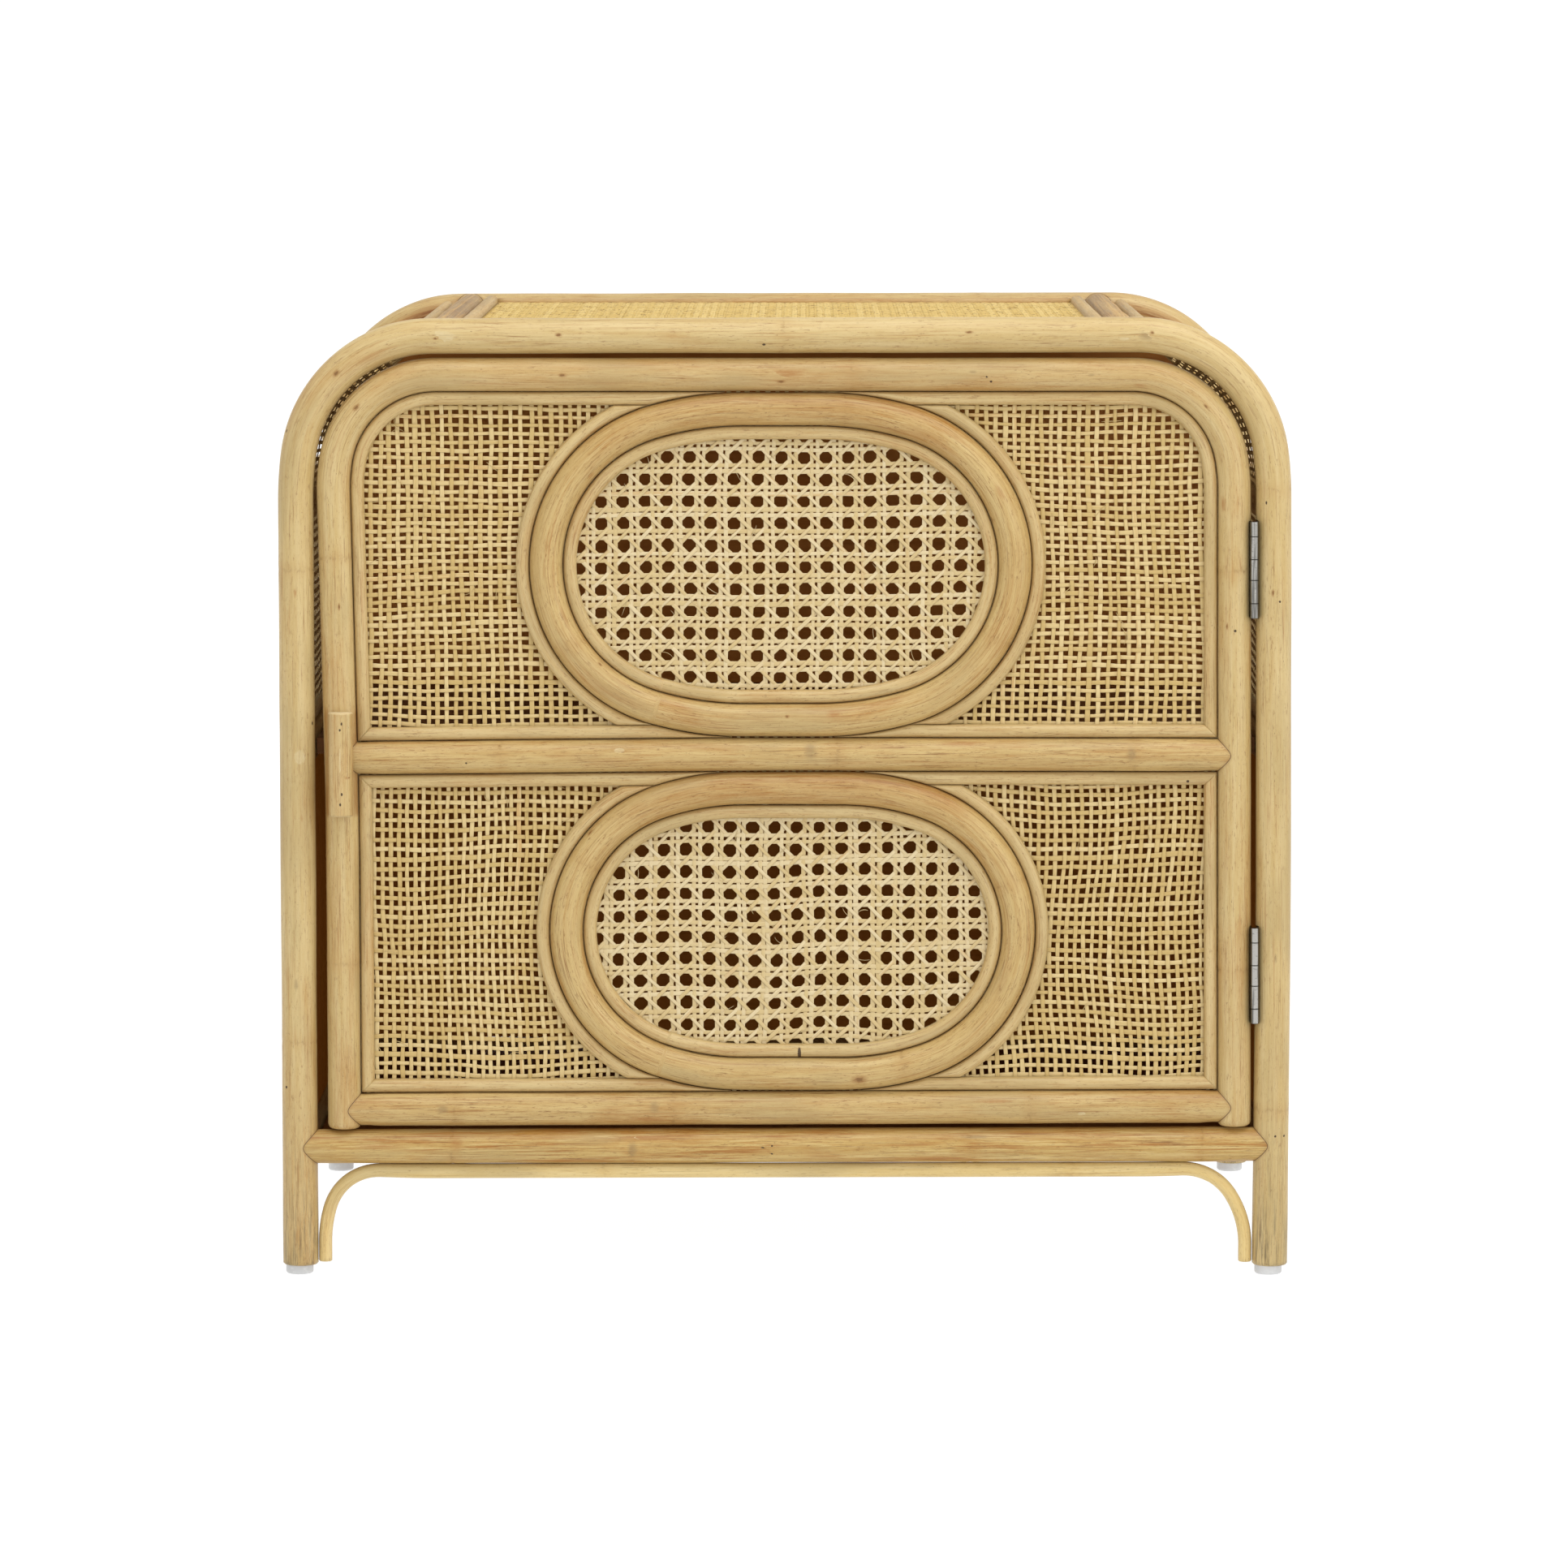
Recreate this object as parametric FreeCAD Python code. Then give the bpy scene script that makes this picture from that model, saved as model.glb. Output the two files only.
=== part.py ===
import FreeCAD, Part
import math
import os

# Rattan side cabinet: two bent-pole arches joined front to back by straight poles, a webbed
# skin, dark plywood boards inside and one inset door on the right-hand arch leg.
# Millimetres. +Z up, front faces -Y, origin at the middle of the footprint on the floor.

V = FreeCAD.Vector

# ---------------------------------------------------------------- driving dimensions
Y_FRONT = -184.5            # centre plane of the front arch and of the closed door
Y_BACK = 194.9              # centre plane of the back arch
R_ARCH = 10.3               # arch poles
R_RAIL = 10.2               # bottom, mid and corner rails of the cabinet
R_TOPRAIL = 9.3             # cross poles at the ends of the table top
R_BRACE = 3.85              # thin bent brace
R_DOOR = 9.75               # bent pole of the door frame
R_DRAIL = 9.7               # door mid rail and rings
R_DBOT = 9.9                # door bottom rail
LEG_FOOT = 5.45             # leg ends stand this high, on the glides
SHEET = 1.2                 # thickness of woven webbing
TRIM_W = 7.6                # width of the half-round trims
TRIM_T = 4.95               # how far a trim stands off the webbing

# arch centreline in the XZ plane: x, z, bend radius, clockwise from the left foot
ARCH = [(-280.1, LEG_FOOT, 0), (-280.1, 460.4, 200), (-268.8, 540.5, 77),
        (268.0, 541.6, 77), (278.6, 461.4, 200), (280.1, 220.0, 3000), (279.3, LEG_FOOT, 0)]
Z_BOT_L, Z_BOT_R = 73.8, 75.4          # bottom rail centre height, left and right
Z_SHELF_RAIL = 301.0                   # side rails that carry the shelf
CORNER_RAIL_L = (-280.0, 447.5)
CORNER_RAIL_R = (278.9, 447.5)
TOP_RAIL_L = (-196.5, 541.7)
TOP_RAIL_R = (193.0, 541.9)

# brace centreline, left foot to right foot
BRACE = [(-265.85, 6.6, 0), (-265.85, 27.4, 72), (-257.2, 59.65, 30.0),
         (247.7, 61.0, 33.0), (265.0, 31.0, 54), (265.0, 6.6, 0)]

# door frame centreline, left stile foot, over the top, to the right stile foot
DOOR = [(-254.3, 84.5, 0), (-254.5, 270.0, 3000), (-258.6, 459.5, 100), (-250.2, 518.7, 58),
        (247.8, 518.9, 58), (256.1, 459.5, 100), (258.4, 86.2, 0)]
MID = [(-255.2, 298.9, 0), (-20.0, 301.2, 6000), (257.2, 301.0, 0)]
BOT = [(-254.3, 95.4, 0), (258.3, 97.5, 0)]
# rings: centre x, centre z, half length, half height, end radius, all on the pole's centreline
RING_U = (-3.0, 410.0, 134.1, 89.15, 85.2, 21.0)
RING_L = (3.8, 198.95, 129.9, 82.7, 78.9, 28.0)

# woven sheets of the door, measured from the door's centre plane towards the back
SHEET_Y0 = 0.6
SKIN_IN = 8.0               # corner webbing lies this far inside the arch centreline

BOARD_T = 8.4               # top board
Z_TOP_SKIN = 546.2          # upper face of the top webbing
PANEL_T = 4.0               # back panel and side liners
SHELF_Z = (300.0, 309.0)
FLOOR_Z = (70.0, 79.0)

HINGE_TOP = (267.385, 407.7)  # middle of the upper hinge barrel, x and z
HINGE_BOT = (269.185, 174.3)  # middle of the lower hinge barrel
HINGE_Y = Y_FRONT - 9.0
HINGE_L = 55.5
R_BARREL = 2.45
R_PIN = 1.0
R_BORE = 1.05
LEAF_T = 1.0
LEAF_OUT = 2.55             # outer face of each leaf from the barrel axis
LEAF_W = 13.5
KNUCKLES = [8.6, 13.3, 11.9, 13.1, 8.6]

HANDLE_X = -254.5
HANDLE_Z = (266.9, 326.3)
R_HANDLE = 7.25
HANDLE_OFF = 13.5           # axis of the handle rod in front of the door's centre plane

GLIDE_R = 7.9
GLIDE_H = 5.4


# ---------------------------------------------------------------- helpers
def fillet_path(pts, closed=False):
    """Lines and tangent arcs through corner points (x, z, radius) in the XZ plane."""
    n = len(pts)
    corner = []
    for i, (x, z, r) in enumerate(pts):
        if (not closed and i in (0, n - 1)) or r <= 0:
            corner.append(((x, z), (x, z), None))
            continue
        px, pz, _ = pts[i - 1]
        nx, nz, _ = pts[(i + 1) % n]
        l1 = math.hypot(x - px, z - pz)
        l2 = math.hypot(nx - x, nz - z)
        d1 = ((x - px) / l1, (z - pz) / l1)
        d2 = ((nx - x) / l2, (nz - z) / l2)
        cross = d1[0] * d2[1] - d1[1] * d2[0]
        turn = math.atan2(cross, d1[0] * d2[0] + d1[1] * d2[1])
        if abs(turn) < 1e-7:
            corner.append(((x, z), (x, z), None))
            continue
        t = r * math.tan(abs(turn) / 2)
        a = (x - d1[0] * t, z - d1[1] * t)
        b = (x + d2[0] * t, z + d2[1] * t)
        s = 1 if turn > 0 else -1
        c = (a[0] - s * d1[1] * r, a[1] + s * d1[0] * r)
        corner.append((a, b, (c, r, turn)))
    for i in range(n if closed else n - 1):
        p, q = pts[i], pts[(i + 1) % n]
        span = math.hypot(q[0] - p[0], q[1] - p[1])
        used = (math.hypot(corner[i][1][0] - p[0], corner[i][1][1] - p[1]) +
                math.hypot(corner[(i + 1) % n][0][0] - q[0], corner[(i + 1) % n][0][1] - q[1]))
        if used > span + 1e-6:
            raise ValueError("bends overlap between %s and %s by %.3f" % (p, q, used - span))
    segs = []
    for i in range(n):
        a, b, arc = corner[i]
        if arc:
            segs.append(("A", a, b, arc[0], arc[1], arc[2]))
        if i == n - 1 and not closed:
            break
        q = corner[(i + 1) % n][0]
        if math.hypot(q[0] - b[0], q[1] - b[1]) > 1e-4:
            segs.append(("L", b, q))
    return segs


def offset_pts(pts, d, closed=False):
    """The same corner points moved to the right of the travel by d, bends keeping their centres."""
    n = len(pts)
    m = n if closed else n - 1
    lines = []
    for i in range(m):
        x0, z0, _ = pts[i]
        x1, z1, _ = pts[(i + 1) % n]
        l = math.hypot(x1 - x0, z1 - z0)
        t = ((x1 - x0) / l, (z1 - z0) / l)
        lines.append(((x0 + t[1] * d, z0 - t[0] * d), t))
    out = []
    for i in range(n):
        x, z, r = pts[i]
        if not closed and i == 0:
            out.append((lines[0][0][0], lines[0][0][1], r))
            continue
        if not closed and i == n - 1:
            t = lines[-1][1]
            out.append((x + t[1] * d, z - t[0] * d, r))
            continue
        (p, t), (q, u) = lines[i - 1], lines[i % m]
        cr = t[0] * u[1] - t[1] * u[0]
        if abs(cr) < 1e-9:
            out.append((q[0], q[1], r))
            continue
        k = ((q[0] - p[0]) * u[1] - (q[1] - p[1]) * u[0]) / cr
        rr = r
        if r > 0:
            rr = r - d if cr < 0 else r + d
        out.append((p[0] + t[0] * k, p[1] + t[1] * k, max(rr, 0)))
    return out


def edges(segs, y):
    out = []
    for s in segs:
        a, b = V(s[1][0], y, s[1][1]), V(s[2][0], y, s[2][1])
        if s[0] == "L":
            out.append(Part.LineSegment(a, b).toShape())
        else:
            c, r, turn = s[3], s[4], s[5]
            v = (s[1][0] - c[0], s[1][1] - c[1])
            h = turn / 2
            m = (c[0] + v[0] * math.cos(h) - v[1] * math.sin(h),
                 c[1] + v[0] * math.sin(h) + v[1] * math.cos(h))
            out.append(Part.Arc(a, V(m[0], y, m[1]), b).toShape())
    return out


def face(pts, y=0.0):
    return Part.Face(Part.Wire(edges(fillet_path(pts, True), y)))


def tube(segs, r, y):
    """Round pole along a path of lines and arcs."""
    parts = []
    for s in segs:
        a, b = V(s[1][0], y, s[1][1]), V(s[2][0], y, s[2][1])
        if s[0] == "L":
            parts.append(Part.makeCylinder(r, (b - a).Length, a, b - a))
        else:
            c, turn = s[3], s[5]
            rad = V(s[1][0] - c[0], 0, s[1][1] - c[1])
            tang = V(-rad.z, 0, rad.x) if turn > 0 else V(rad.z, 0, -rad.x)
            disc = Part.Face(Part.Wire(Part.makeCircle(r, a, tang)))
            axis = V(0, -1, 0) if turn > 0 else V(0, 1, 0)
            parts.append(disc.revolve(V(c[0], y, c[1]), axis, math.degrees(abs(turn))))
    if len(parts) == 1:
        return parts[0]
    return parts[0].multiFuse(parts[1:]).removeSplitter()


def oval_segs(ring, d=0.0):
    """Oval of two end arcs and four flat arcs with a straight middle, clockwise, moved outwards by d."""
    cx, cz, a, b, r, h = ring
    a, b, r = a + d - h, b + d, r + d
    big = ((a - r) ** 2 + b * b - r * r) / (2 * (b - r))
    ang = math.atan2(big - b, a - r)        # slope from a flat arc's centre to the end arc's centre
    jx, jz = h + (a - r) + r * math.cos(ang), r * math.sin(ang)
    end, side = 2 * ang, math.pi / 2 - ang
    ex = h + a - r

    def at(x, z):
        return (cx + x, cz + z)
    return [("A", at(-jx, -jz), at(-jx, jz), at(-ex, 0), r, -end),
            ("A", at(-jx, jz), at(-h, b), at(-h, b - big), big, -side),
            ("L", at(-h, b), at(h, b)),
            ("A", at(h, b), at(jx, jz), at(h, b - big), big, -side),
            ("A", at(jx, jz), at(jx, -jz), at(ex, 0), r, -end),
            ("A", at(jx, -jz), at(h, -b), at(h, big - b), big, -side),
            ("L", at(h, -b), at(-h, -b)),
            ("A", at(-h, -b), at(-jx, -jz), at(-h, big - b), big, -side)]


def oval_face(ring, d, y=0.0):
    return Part.Face(Part.Wire(edges(oval_segs(ring, d), y)))


def poly_face(pts, y=0.0):
    return Part.Face(Part.makePolygon([V(x, y, z) for x, z in pts] + [V(pts[0][0], y, pts[0][1])]))


def ext(f, y0, y1):
    """Planar face drawn at y = 0, moved to y0 and made solid up to y1."""
    g = f.copy()
    g.translate(V(0, y0, 0))
    return g.extrude(V(0, y1 - y0, 0))


def solids(shape):
    return [s for s in shape.Solids if s.Volume > 0.5]


def cyl_y(x, z, r, y0, y1):
    return Part.makeCylinder(r, y1 - y0, V(x, y0, z), V(0, 1, 0))


def box(x0, x1, y0, y1, z0, z1):
    return Part.makeBox(x1 - x0, y1 - y0, z1 - z0, V(x0, y0, z0))


def group(items):
    out = []
    for i in items:
        out.extend(i.Solids)
    return out[0] if len(out) == 1 else Part.makeCompound(out)


def half_round_y(x, z, w, h, y0, y1, ang=0.0):
    """Half-round strip along Y: flat underside w wide centred at (x, z), crown h high."""
    r = (w * w / 4 + h * h) / (2 * h)
    a = V(-w / 2, 0, 0)
    b = V(w / 2, 0, 0)
    arc = Part.Arc(a, V(0, 0, h), b).toShape()
    f = Part.Face(Part.Wire([arc, Part.LineSegment(b, a).toShape()]))
    s = f.extrude(V(0, y1 - y0, 0))
    s.rotate(V(0, 0, 0), V(0, 1, 0), ang)
    s.translate(V(x, y0, z))
    return s


def half_round_x(x0, x1, y, z, w, h):
    a, b = V(0, -w / 2, 0), V(0, w / 2, 0)
    f = Part.Face(Part.Wire([Part.Arc(a, V(0, 0, h), b).toShape(), Part.LineSegment(b, a).toShape()]))
    s = f.extrude(V(x1 - x0, 0, 0))
    s.translate(V(x0, y, z))
    return s


parts = {}

# ---------------------------------------------------------------- bent poles
arch_segs = fillet_path(ARCH)
front_arch = tube(arch_segs, R_ARCH, Y_FRONT)
back_arch = tube(arch_segs, R_ARCH, Y_BACK)
front_rail = tube(fillet_path([(-280.1, Z_BOT_L, 0), (279.8, Z_BOT_R, 0)]), R_RAIL, Y_FRONT)
back_rail = tube(fillet_path([(-280.1, Z_BOT_L, 0), (279.8, Z_BOT_R, 0)]), R_RAIL, Y_BACK)
front_rail = front_rail.cut(front_arch)
back_rail = back_rail.cut(back_arch)


def cross_pole(x, z, r, also=()):
    s = cyl_y(x, z, r, Y_FRONT, Y_BACK)
    return s.cut(front_arch.multiFuse([back_arch] + list(also)))


left_bottom = cross_pole(-280.1, Z_BOT_L, R_RAIL, (front_rail, back_rail))
right_bottom = cross_pole(279.8, Z_BOT_R, R_RAIL, (front_rail, back_rail))
left_mid = cross_pole(-280.1, Z_SHELF_RAIL, R_RAIL)
right_mid = cross_pole(280.0, Z_SHELF_RAIL, R_RAIL)
left_corner = cross_pole(CORNER_RAIL_L[0], CORNER_RAIL_L[1], R_RAIL)
right_corner = cross_pole(CORNER_RAIL_R[0], CORNER_RAIL_R[1], R_RAIL)
left_top = cross_pole(TOP_RAIL_L[0], TOP_RAIL_L[1], R_TOPRAIL)
right_top = cross_pole(TOP_RAIL_R[0], TOP_RAIL_R[1], R_TOPRAIL)

brace_segs = fillet_path(BRACE)
parts["front_brace"] = tube(brace_segs, R_BRACE, Y_FRONT)
parts["back_brace"] = tube(brace_segs, R_BRACE, Y_BACK)

# ---------------------------------------------------------------- door poles
door_frame = tube(fillet_path(DOOR), R_DOOR, Y_FRONT)
feet = [e for e in door_frame.Edges if e.BoundBox.ZMax < 95 and abs(e.Length - 2 * math.pi * R_DOOR) < 0.5]
door_frame = door_frame.makeFillet(3.0, feet)
mid_rail = tube(fillet_path(MID), R_DRAIL, Y_FRONT).cut(door_frame)
bot_rail = tube(fillet_path(BOT), R_DBOT, Y_FRONT).cut(door_frame)
ring_u = tube(oval_segs(RING_U), R_DRAIL, Y_FRONT)
ring_l = tube(oval_segs(RING_L), R_DRAIL, Y_FRONT)
handle = Part.makeCylinder(R_HANDLE, HANDLE_Z[1] - HANDLE_Z[0],
                           V(HANDLE_X, Y_FRONT - HANDLE_OFF, HANDLE_Z[0]), V(0, 0, 1))
handle = handle.cut(door_frame.fuse(mid_rail))
handle = max(handle.Solids, key=lambda s: s.Volume)

# ---------------------------------------------------------------- hinges
lean = math.degrees(math.atan2(HINGE_TOP[0] - HINGE_BOT[0], HINGE_TOP[1] - HINGE_BOT[1]))


def place_hinge(s, at):
    s = s.copy()
    s.rotate(V(0, 0, 0), V(0, 1, 0), lean)
    s.translate(V(at[0], HINGE_Y, at[1]))
    return s


def tube_z(ro, ri, z0, z1):
    s = Part.makeCylinder(ro, z1 - z0, V(0, 0, z0), V(0, 0, 1))
    return s.cut(Part.makeCylinder(ri, z1 - z0 + 2, V(0, 0, z0 - 1), V(0, 0, 1)))


def leaf(side):
    """side -1 is the door's leaf with knuckles 2 and 4, +1 the cabinet's with 1, 3 and 5."""
    z = -HINGE_L / 2
    x0, x1 = (-LEAF_OUT, -LEAF_OUT + LEAF_T) if side < 0 else (LEAF_OUT - LEAF_T, LEAF_OUT)
    plate = box(x0, x1, 0, LEAF_W, -HINGE_L / 2, HINGE_L / 2)
    own = []
    for i, k in enumerate(KNUCKLES):
        mine = (i % 2 == 1) == (side < 0)
        if mine:
            own.append(tube_z(R_BARREL, R_BORE, z + 0.12, z + k - 0.12))
        else:
            plate = plate.cut(Part.makeCylinder(R_BARREL + 0.35, k + 0.24, V(0, 0, z - 0.12), V(0, 0, 1)))
            plate = plate.cut(box(-4, 4, -4, 0.05, z - 0.12, z + k + 0.12))
        z += k
    plate = plate.cut(Part.makeCylinder(R_BORE, HINGE_L + 2, V(0, 0, -HINGE_L / 2 - 1), V(0, 0, 1)))
    s = plate.multiFuse(own)
    for dz in SCREW_DZ:
        s = s.cut(Part.makeCylinder(1.45, 12, V(-6 if side < 0 else -6, SCREW_Y, dz), V(1, 0, 0)))
        s = s.cut(csk(side, dz, 0.03))
    return s


SCREW_DZ = (-20.0, 0.0, 20.0)
SCREW_Y = 8.4


def csk(side, dz, grow=0.0):
    """Countersunk head, its flat face just under the inner face of the leaf."""
    inner = LEAF_OUT - LEAF_T
    s = Part.makeCone(2.45 + grow, 1.3 + grow, 0.95, V(inner - 0.001 if grow else inner + 0.02, SCREW_Y, dz),
                      V(1, 0, 0))
    if side < 0:
        s.rotate(V(0, 0, 0), V(0, 0, 1), 180)
        s.translate(V(0, 2 * SCREW_Y, 0))
    return s


def screw(side, dz, length=14.0):
    inner = LEAF_OUT - LEAF_T
    shank = Part.makeCylinder(1.3, length, V(inner + 0.9, SCREW_Y, dz), V(1, 0, 0))
    tip = Part.makeCone(1.3, 0.3, 2.2, V(inner + 0.9 + length, SCREW_Y, dz), V(1, 0, 0))
    s = shank.fuse(tip)
    if side < 0:
        s.rotate(V(0, 0, 0), V(0, 0, 1), 180)
        s.translate(V(0, 2 * SCREW_Y, 0))
    s = s.fuse(csk(side, dz))
    slot = box(inner - 0.5, inner + 0.45, SCREW_Y - 0.35, SCREW_Y + 0.35, dz - 3, dz + 3)
    if side < 0:
        slot.rotate(V(0, 0, 0), V(0, 0, 1), 180)
        slot.translate(V(0, 2 * SCREW_Y, 0))
    return s.cut(slot)


def screw_hole(side, dz, length=14.0):
    inner = LEAF_OUT - LEAF_T
    s = Part.makeCylinder(1.33, length + 2.4, V(inner + 0.8, SCREW_Y, dz), V(1, 0, 0))
    if side < 0:
        s.rotate(V(0, 0, 0), V(0, 0, 1), 180)
        s.translate(V(0, 2 * SCREW_Y, 0))
    return s


half = HINGE_L / 2 + 0.3
door_flat = box(-LEAF_OUT - 0.05, 8, -8, LEAF_W + 0.3, -half, half)
leg_flat = box(-8, LEAF_OUT + 0.05, -8, LEAF_W + 0.3, -half, half)
door_leaves, cab_leaves, pins, door_screws, cab_screws = [], [], [], [], []
for at in (HINGE_TOP, HINGE_BOT):
    door_frame = door_frame.cut(place_hinge(door_flat, at))
    front_arch = front_arch.cut(place_hinge(leg_flat, at))
    for dz in SCREW_DZ:
        door_frame = door_frame.cut(place_hinge(screw_hole(-1, dz), at))
        front_arch = front_arch.cut(place_hinge(screw_hole(1, dz), at))
        door_screws.append(place_hinge(screw(-1, dz), at))
        cab_screws.append(place_hinge(screw(1, dz), at))
    door_leaves.append(place_hinge(leaf(-1), at))
    cab_leaves.append(place_hinge(leaf(1), at))
    pin = Part.makeCylinder(R_PIN, HINGE_L - 0.2, V(0, 0, -HINGE_L / 2 + 0.1), V(0, 0, 1))
    pins.append(place_hinge(pin, at))

# ---------------------------------------------------------------- frame screws and nails
# Wood screws pass through the arch poles along Y into the ends of the cross poles, and along X
# through the legs into the bottom rails. Their heads sit under filler.
frame_screws = []
SHANK, HEAD = 1.6, 3.2


def y_screw(x, z, front, length=42.0):
    y0 = Y_FRONT - R_ARCH + 2.2 if front else Y_BACK + R_ARCH - 2.2
    d = 1 if front else -1
    s = Part.makeCylinder(SHANK, length, V(x, y0, z), V(0, d, 0))
    h = Part.makeCone(HEAD, SHANK, 2.4, V(x, y0, z), V(0, d, 0))
    bore = Part.makeCylinder(SHANK + 0.04, length + 0.6, V(x, y0, z), V(0, d, 0))
    sink = Part.makeCone(HEAD + 0.05, SHANK + 0.05, 2.42, V(x, y0, z), V(0, d, 0))
    well = Part.makeCylinder(HEAD + 0.05, 1.2, V(x, y0 - d * 1.2, z), V(0, d, 0))
    return s.fuse(h), bore.multiFuse([sink, well])


def x_screw(left, y, z, length=38.0):
    x0 = -280.1 - R_ARCH + 2.2 if left else 279.8 + R_ARCH - 2.2
    d = 1 if left else -1
    s = Part.makeCylinder(SHANK, length, V(x0, y, z), V(d, 0, 0))
    h = Part.makeCone(HEAD, SHANK, 2.4, V(x0, y, z), V(d, 0, 0))
    bore = Part.makeCylinder(SHANK + 0.04, length + 0.6, V(x0, y, z), V(d, 0, 0))
    sink = Part.makeCone(HEAD + 0.05, SHANK + 0.05, 2.42, V(x0, y, z), V(d, 0, 0))
    well = Part.makeCylinder(HEAD + 0.05, 1.2, V(x0 - d * 1.2, y, z), V(d, 0, 0))
    return s.fuse(h), bore.multiFuse([sink, well])


holes_front, holes_back = [], []
rail_holes = {}
for name, x, z in (("lb", -280.1, Z_BOT_L + 4.2), ("rb", 279.8, Z_BOT_R + 4.2),
                   ("lm", -280.1, Z_SHELF_RAIL), ("rm", 280.0, Z_SHELF_RAIL),
                   ("lc", CORNER_RAIL_L[0], CORNER_RAIL_L[1]), ("rc", CORNER_RAIL_R[0], CORNER_RAIL_R[1]),
                   ("lt", TOP_RAIL_L[0], TOP_RAIL_L[1] - 0.6), ("rt", TOP_RAIL_R[0], TOP_RAIL_R[1] - 0.6)):
    for front in (True, False):
        s, h = y_screw(x, z, front)
        frame_screws.append(s)
        rail_holes.setdefault(name, []).append(h)
        (holes_front if front else holes_back).append(h)
side_holes = {"f": [], "b": []}
for left, z in ((True, Z_BOT_L - 4.2), (False, Z_BOT_R - 4.2)):
    for key, y in (("f", Y_FRONT), ("b", Y_BACK)):
        s, h = x_screw(left, y, z)
        frame_screws.append(s)
        side_holes[key].append(h)
        (holes_front if key == "f" else holes_back).append(h)

glides, glide_nails, nail_holes = [], [], []
for x in (-280.8, 278.5):
    for y in (Y_FRONT, Y_BACK):
        g = Part.makeCylinder(GLIDE_R, GLIDE_H, V(x, y, 0), V(0, 0, 1))
        g = g.makeFillet(1.6, [e for e in g.Edges if e.Length > 20 and abs(e.BoundBox.ZMin) < 0.01])
        hole = Part.makeCylinder(1.1, 30, V(x, y, 1.0), V(0, 0, 1))
        g = g.cut(hole)
        n = Part.makeCylinder(1.0, 20, V(x, y, 2.0), V(0, 0, 1))
        n = n.fuse(Part.makeCylinder(1.09, 0.8, V(x, y, 1.6), V(0, 0, 1)))
        glides.append(g)
        glide_nails.append(n)
        nail_holes.append(Part.makeCylinder(1.04, 18, V(x, y, 5.0), V(0, 0, 1)))

front_arch = front_arch.cut(Part.makeCompound(holes_front + nail_holes))
back_arch = back_arch.cut(Part.makeCompound(holes_back + nail_holes))
parts["front_arch"] = front_arch
parts["back_arch"] = back_arch
parts["front_bottom_rail"] = front_rail.cut(Part.makeCompound(side_holes["f"]))
parts["back_bottom_rail"] = back_rail.cut(Part.makeCompound(side_holes["b"]))
parts["left_bottom_rail"] = left_bottom.cut(Part.makeCompound(rail_holes["lb"]))
parts["right_bottom_rail"] = right_bottom.cut(Part.makeCompound(rail_holes["rb"]))
parts["left_mid_rail"] = left_mid.cut(Part.makeCompound(rail_holes["lm"]))
parts["right_mid_rail"] = right_mid.cut(Part.makeCompound(rail_holes["rm"]))
parts["left_corner_rail"] = left_corner.cut(Part.makeCompound(rail_holes["lc"]))
parts["right_corner_rail"] = right_corner.cut(Part.makeCompound(rail_holes["rc"]))
parts["left_top_rail"] = left_top.cut(Part.makeCompound(rail_holes["lt"]))
parts["right_top_rail"] = right_top.cut(Part.makeCompound(rail_holes["rt"]))
parts["frame_screws"] = group(frame_screws)
parts["glides"] = group(glides)
parts["glide_nails"] = group(glide_nails)

# ---------------------------------------------------------------- table top
YI0, YI1 = Y_FRONT + R_ARCH + 0.1, Y_BACK - R_ARCH - 0.1       # clear depth between the arches
TX0 = TOP_RAIL_L[0] + R_TOPRAIL + 0.05
TX1 = TOP_RAIL_R[0] - R_TOPRAIL - 0.05
z1 = Z_TOP_SKIN - SHEET
parts["top_board"] = box(TX0, TX1, YI0, YI1, z1 - BOARD_T, z1 - 0.02)
STRIP_W = 8.0
EDGE_W = 6.2
wx0, wx1 = TX0 + STRIP_W + 0.1, TX1 - STRIP_W - 0.1
wy0, wy1 = YI0 + EDGE_W + 0.1, YI1 - EDGE_W - 0.1
parts["top_webbing"] = box(wx0, wx1, wy0, wy1, z1, Z_TOP_SKIN)
parts["top_edge_trims"] = group([
    half_round_x(wx0, wx1, YI0 + EDGE_W / 2, z1, EDGE_W, 3.5),
    half_round_x(wx0, wx1, YI1 - EDGE_W / 2, z1, EDGE_W, 3.5)])
parts["top_end_strips"] = group([
    half_round_y(TX0 + STRIP_W / 2 - 0.0, z1, STRIP_W, 5.0, YI0, YI1),
    half_round_y(TX1 - STRIP_W / 2 + 0.0, z1, STRIP_W, 5.0, YI0, YI1),
    half_round_y(-210.45, 539.3, 6.0, 7.6, YI0, YI1, -5),
    half_round_y(206.95, 540.3, 6.0, 7.6, YI0, YI1, 5)])

# ---------------------------------------------------------------- skins of the corners and sides
full = ARCH
outer = face(offset_pts(full, SKIN_IN))
inner = face(offset_pts(full, SKIN_IN + SHEET))
skin = outer.cut(inner)
trim_out = face(offset_pts(full, SKIN_IN - 0.05 - TRIM_T + 0.9)).cut(face(offset_pts(full, SKIN_IN - 0.05)))


def corner_cut(f, left, zlow, gap_rail, gap_top):
    cx, cz = CORNER_RAIL_L if left else CORNER_RAIL_R
    tx, tz = TOP_RAIL_L if left else TOP_RAIL_R
    if left:
        zone = poly_face([(-320, zlow), (tx, zlow), (tx, 600), (-320, 600)])
    else:
        zone = poly_face([(tx, zlow), (320, zlow), (320, 600), (tx, 600)])
    f = f.common(zone)
    for (x, z, r) in ((cx, cz, R_RAIL + gap_rail), (tx, tz, R_TOPRAIL + gap_top)):
        f = f.cut(Part.Face(Part.Wire(Part.makeCircle(r, V(x, 0, z), V(0, 1, 0)))))
    return f


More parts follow.
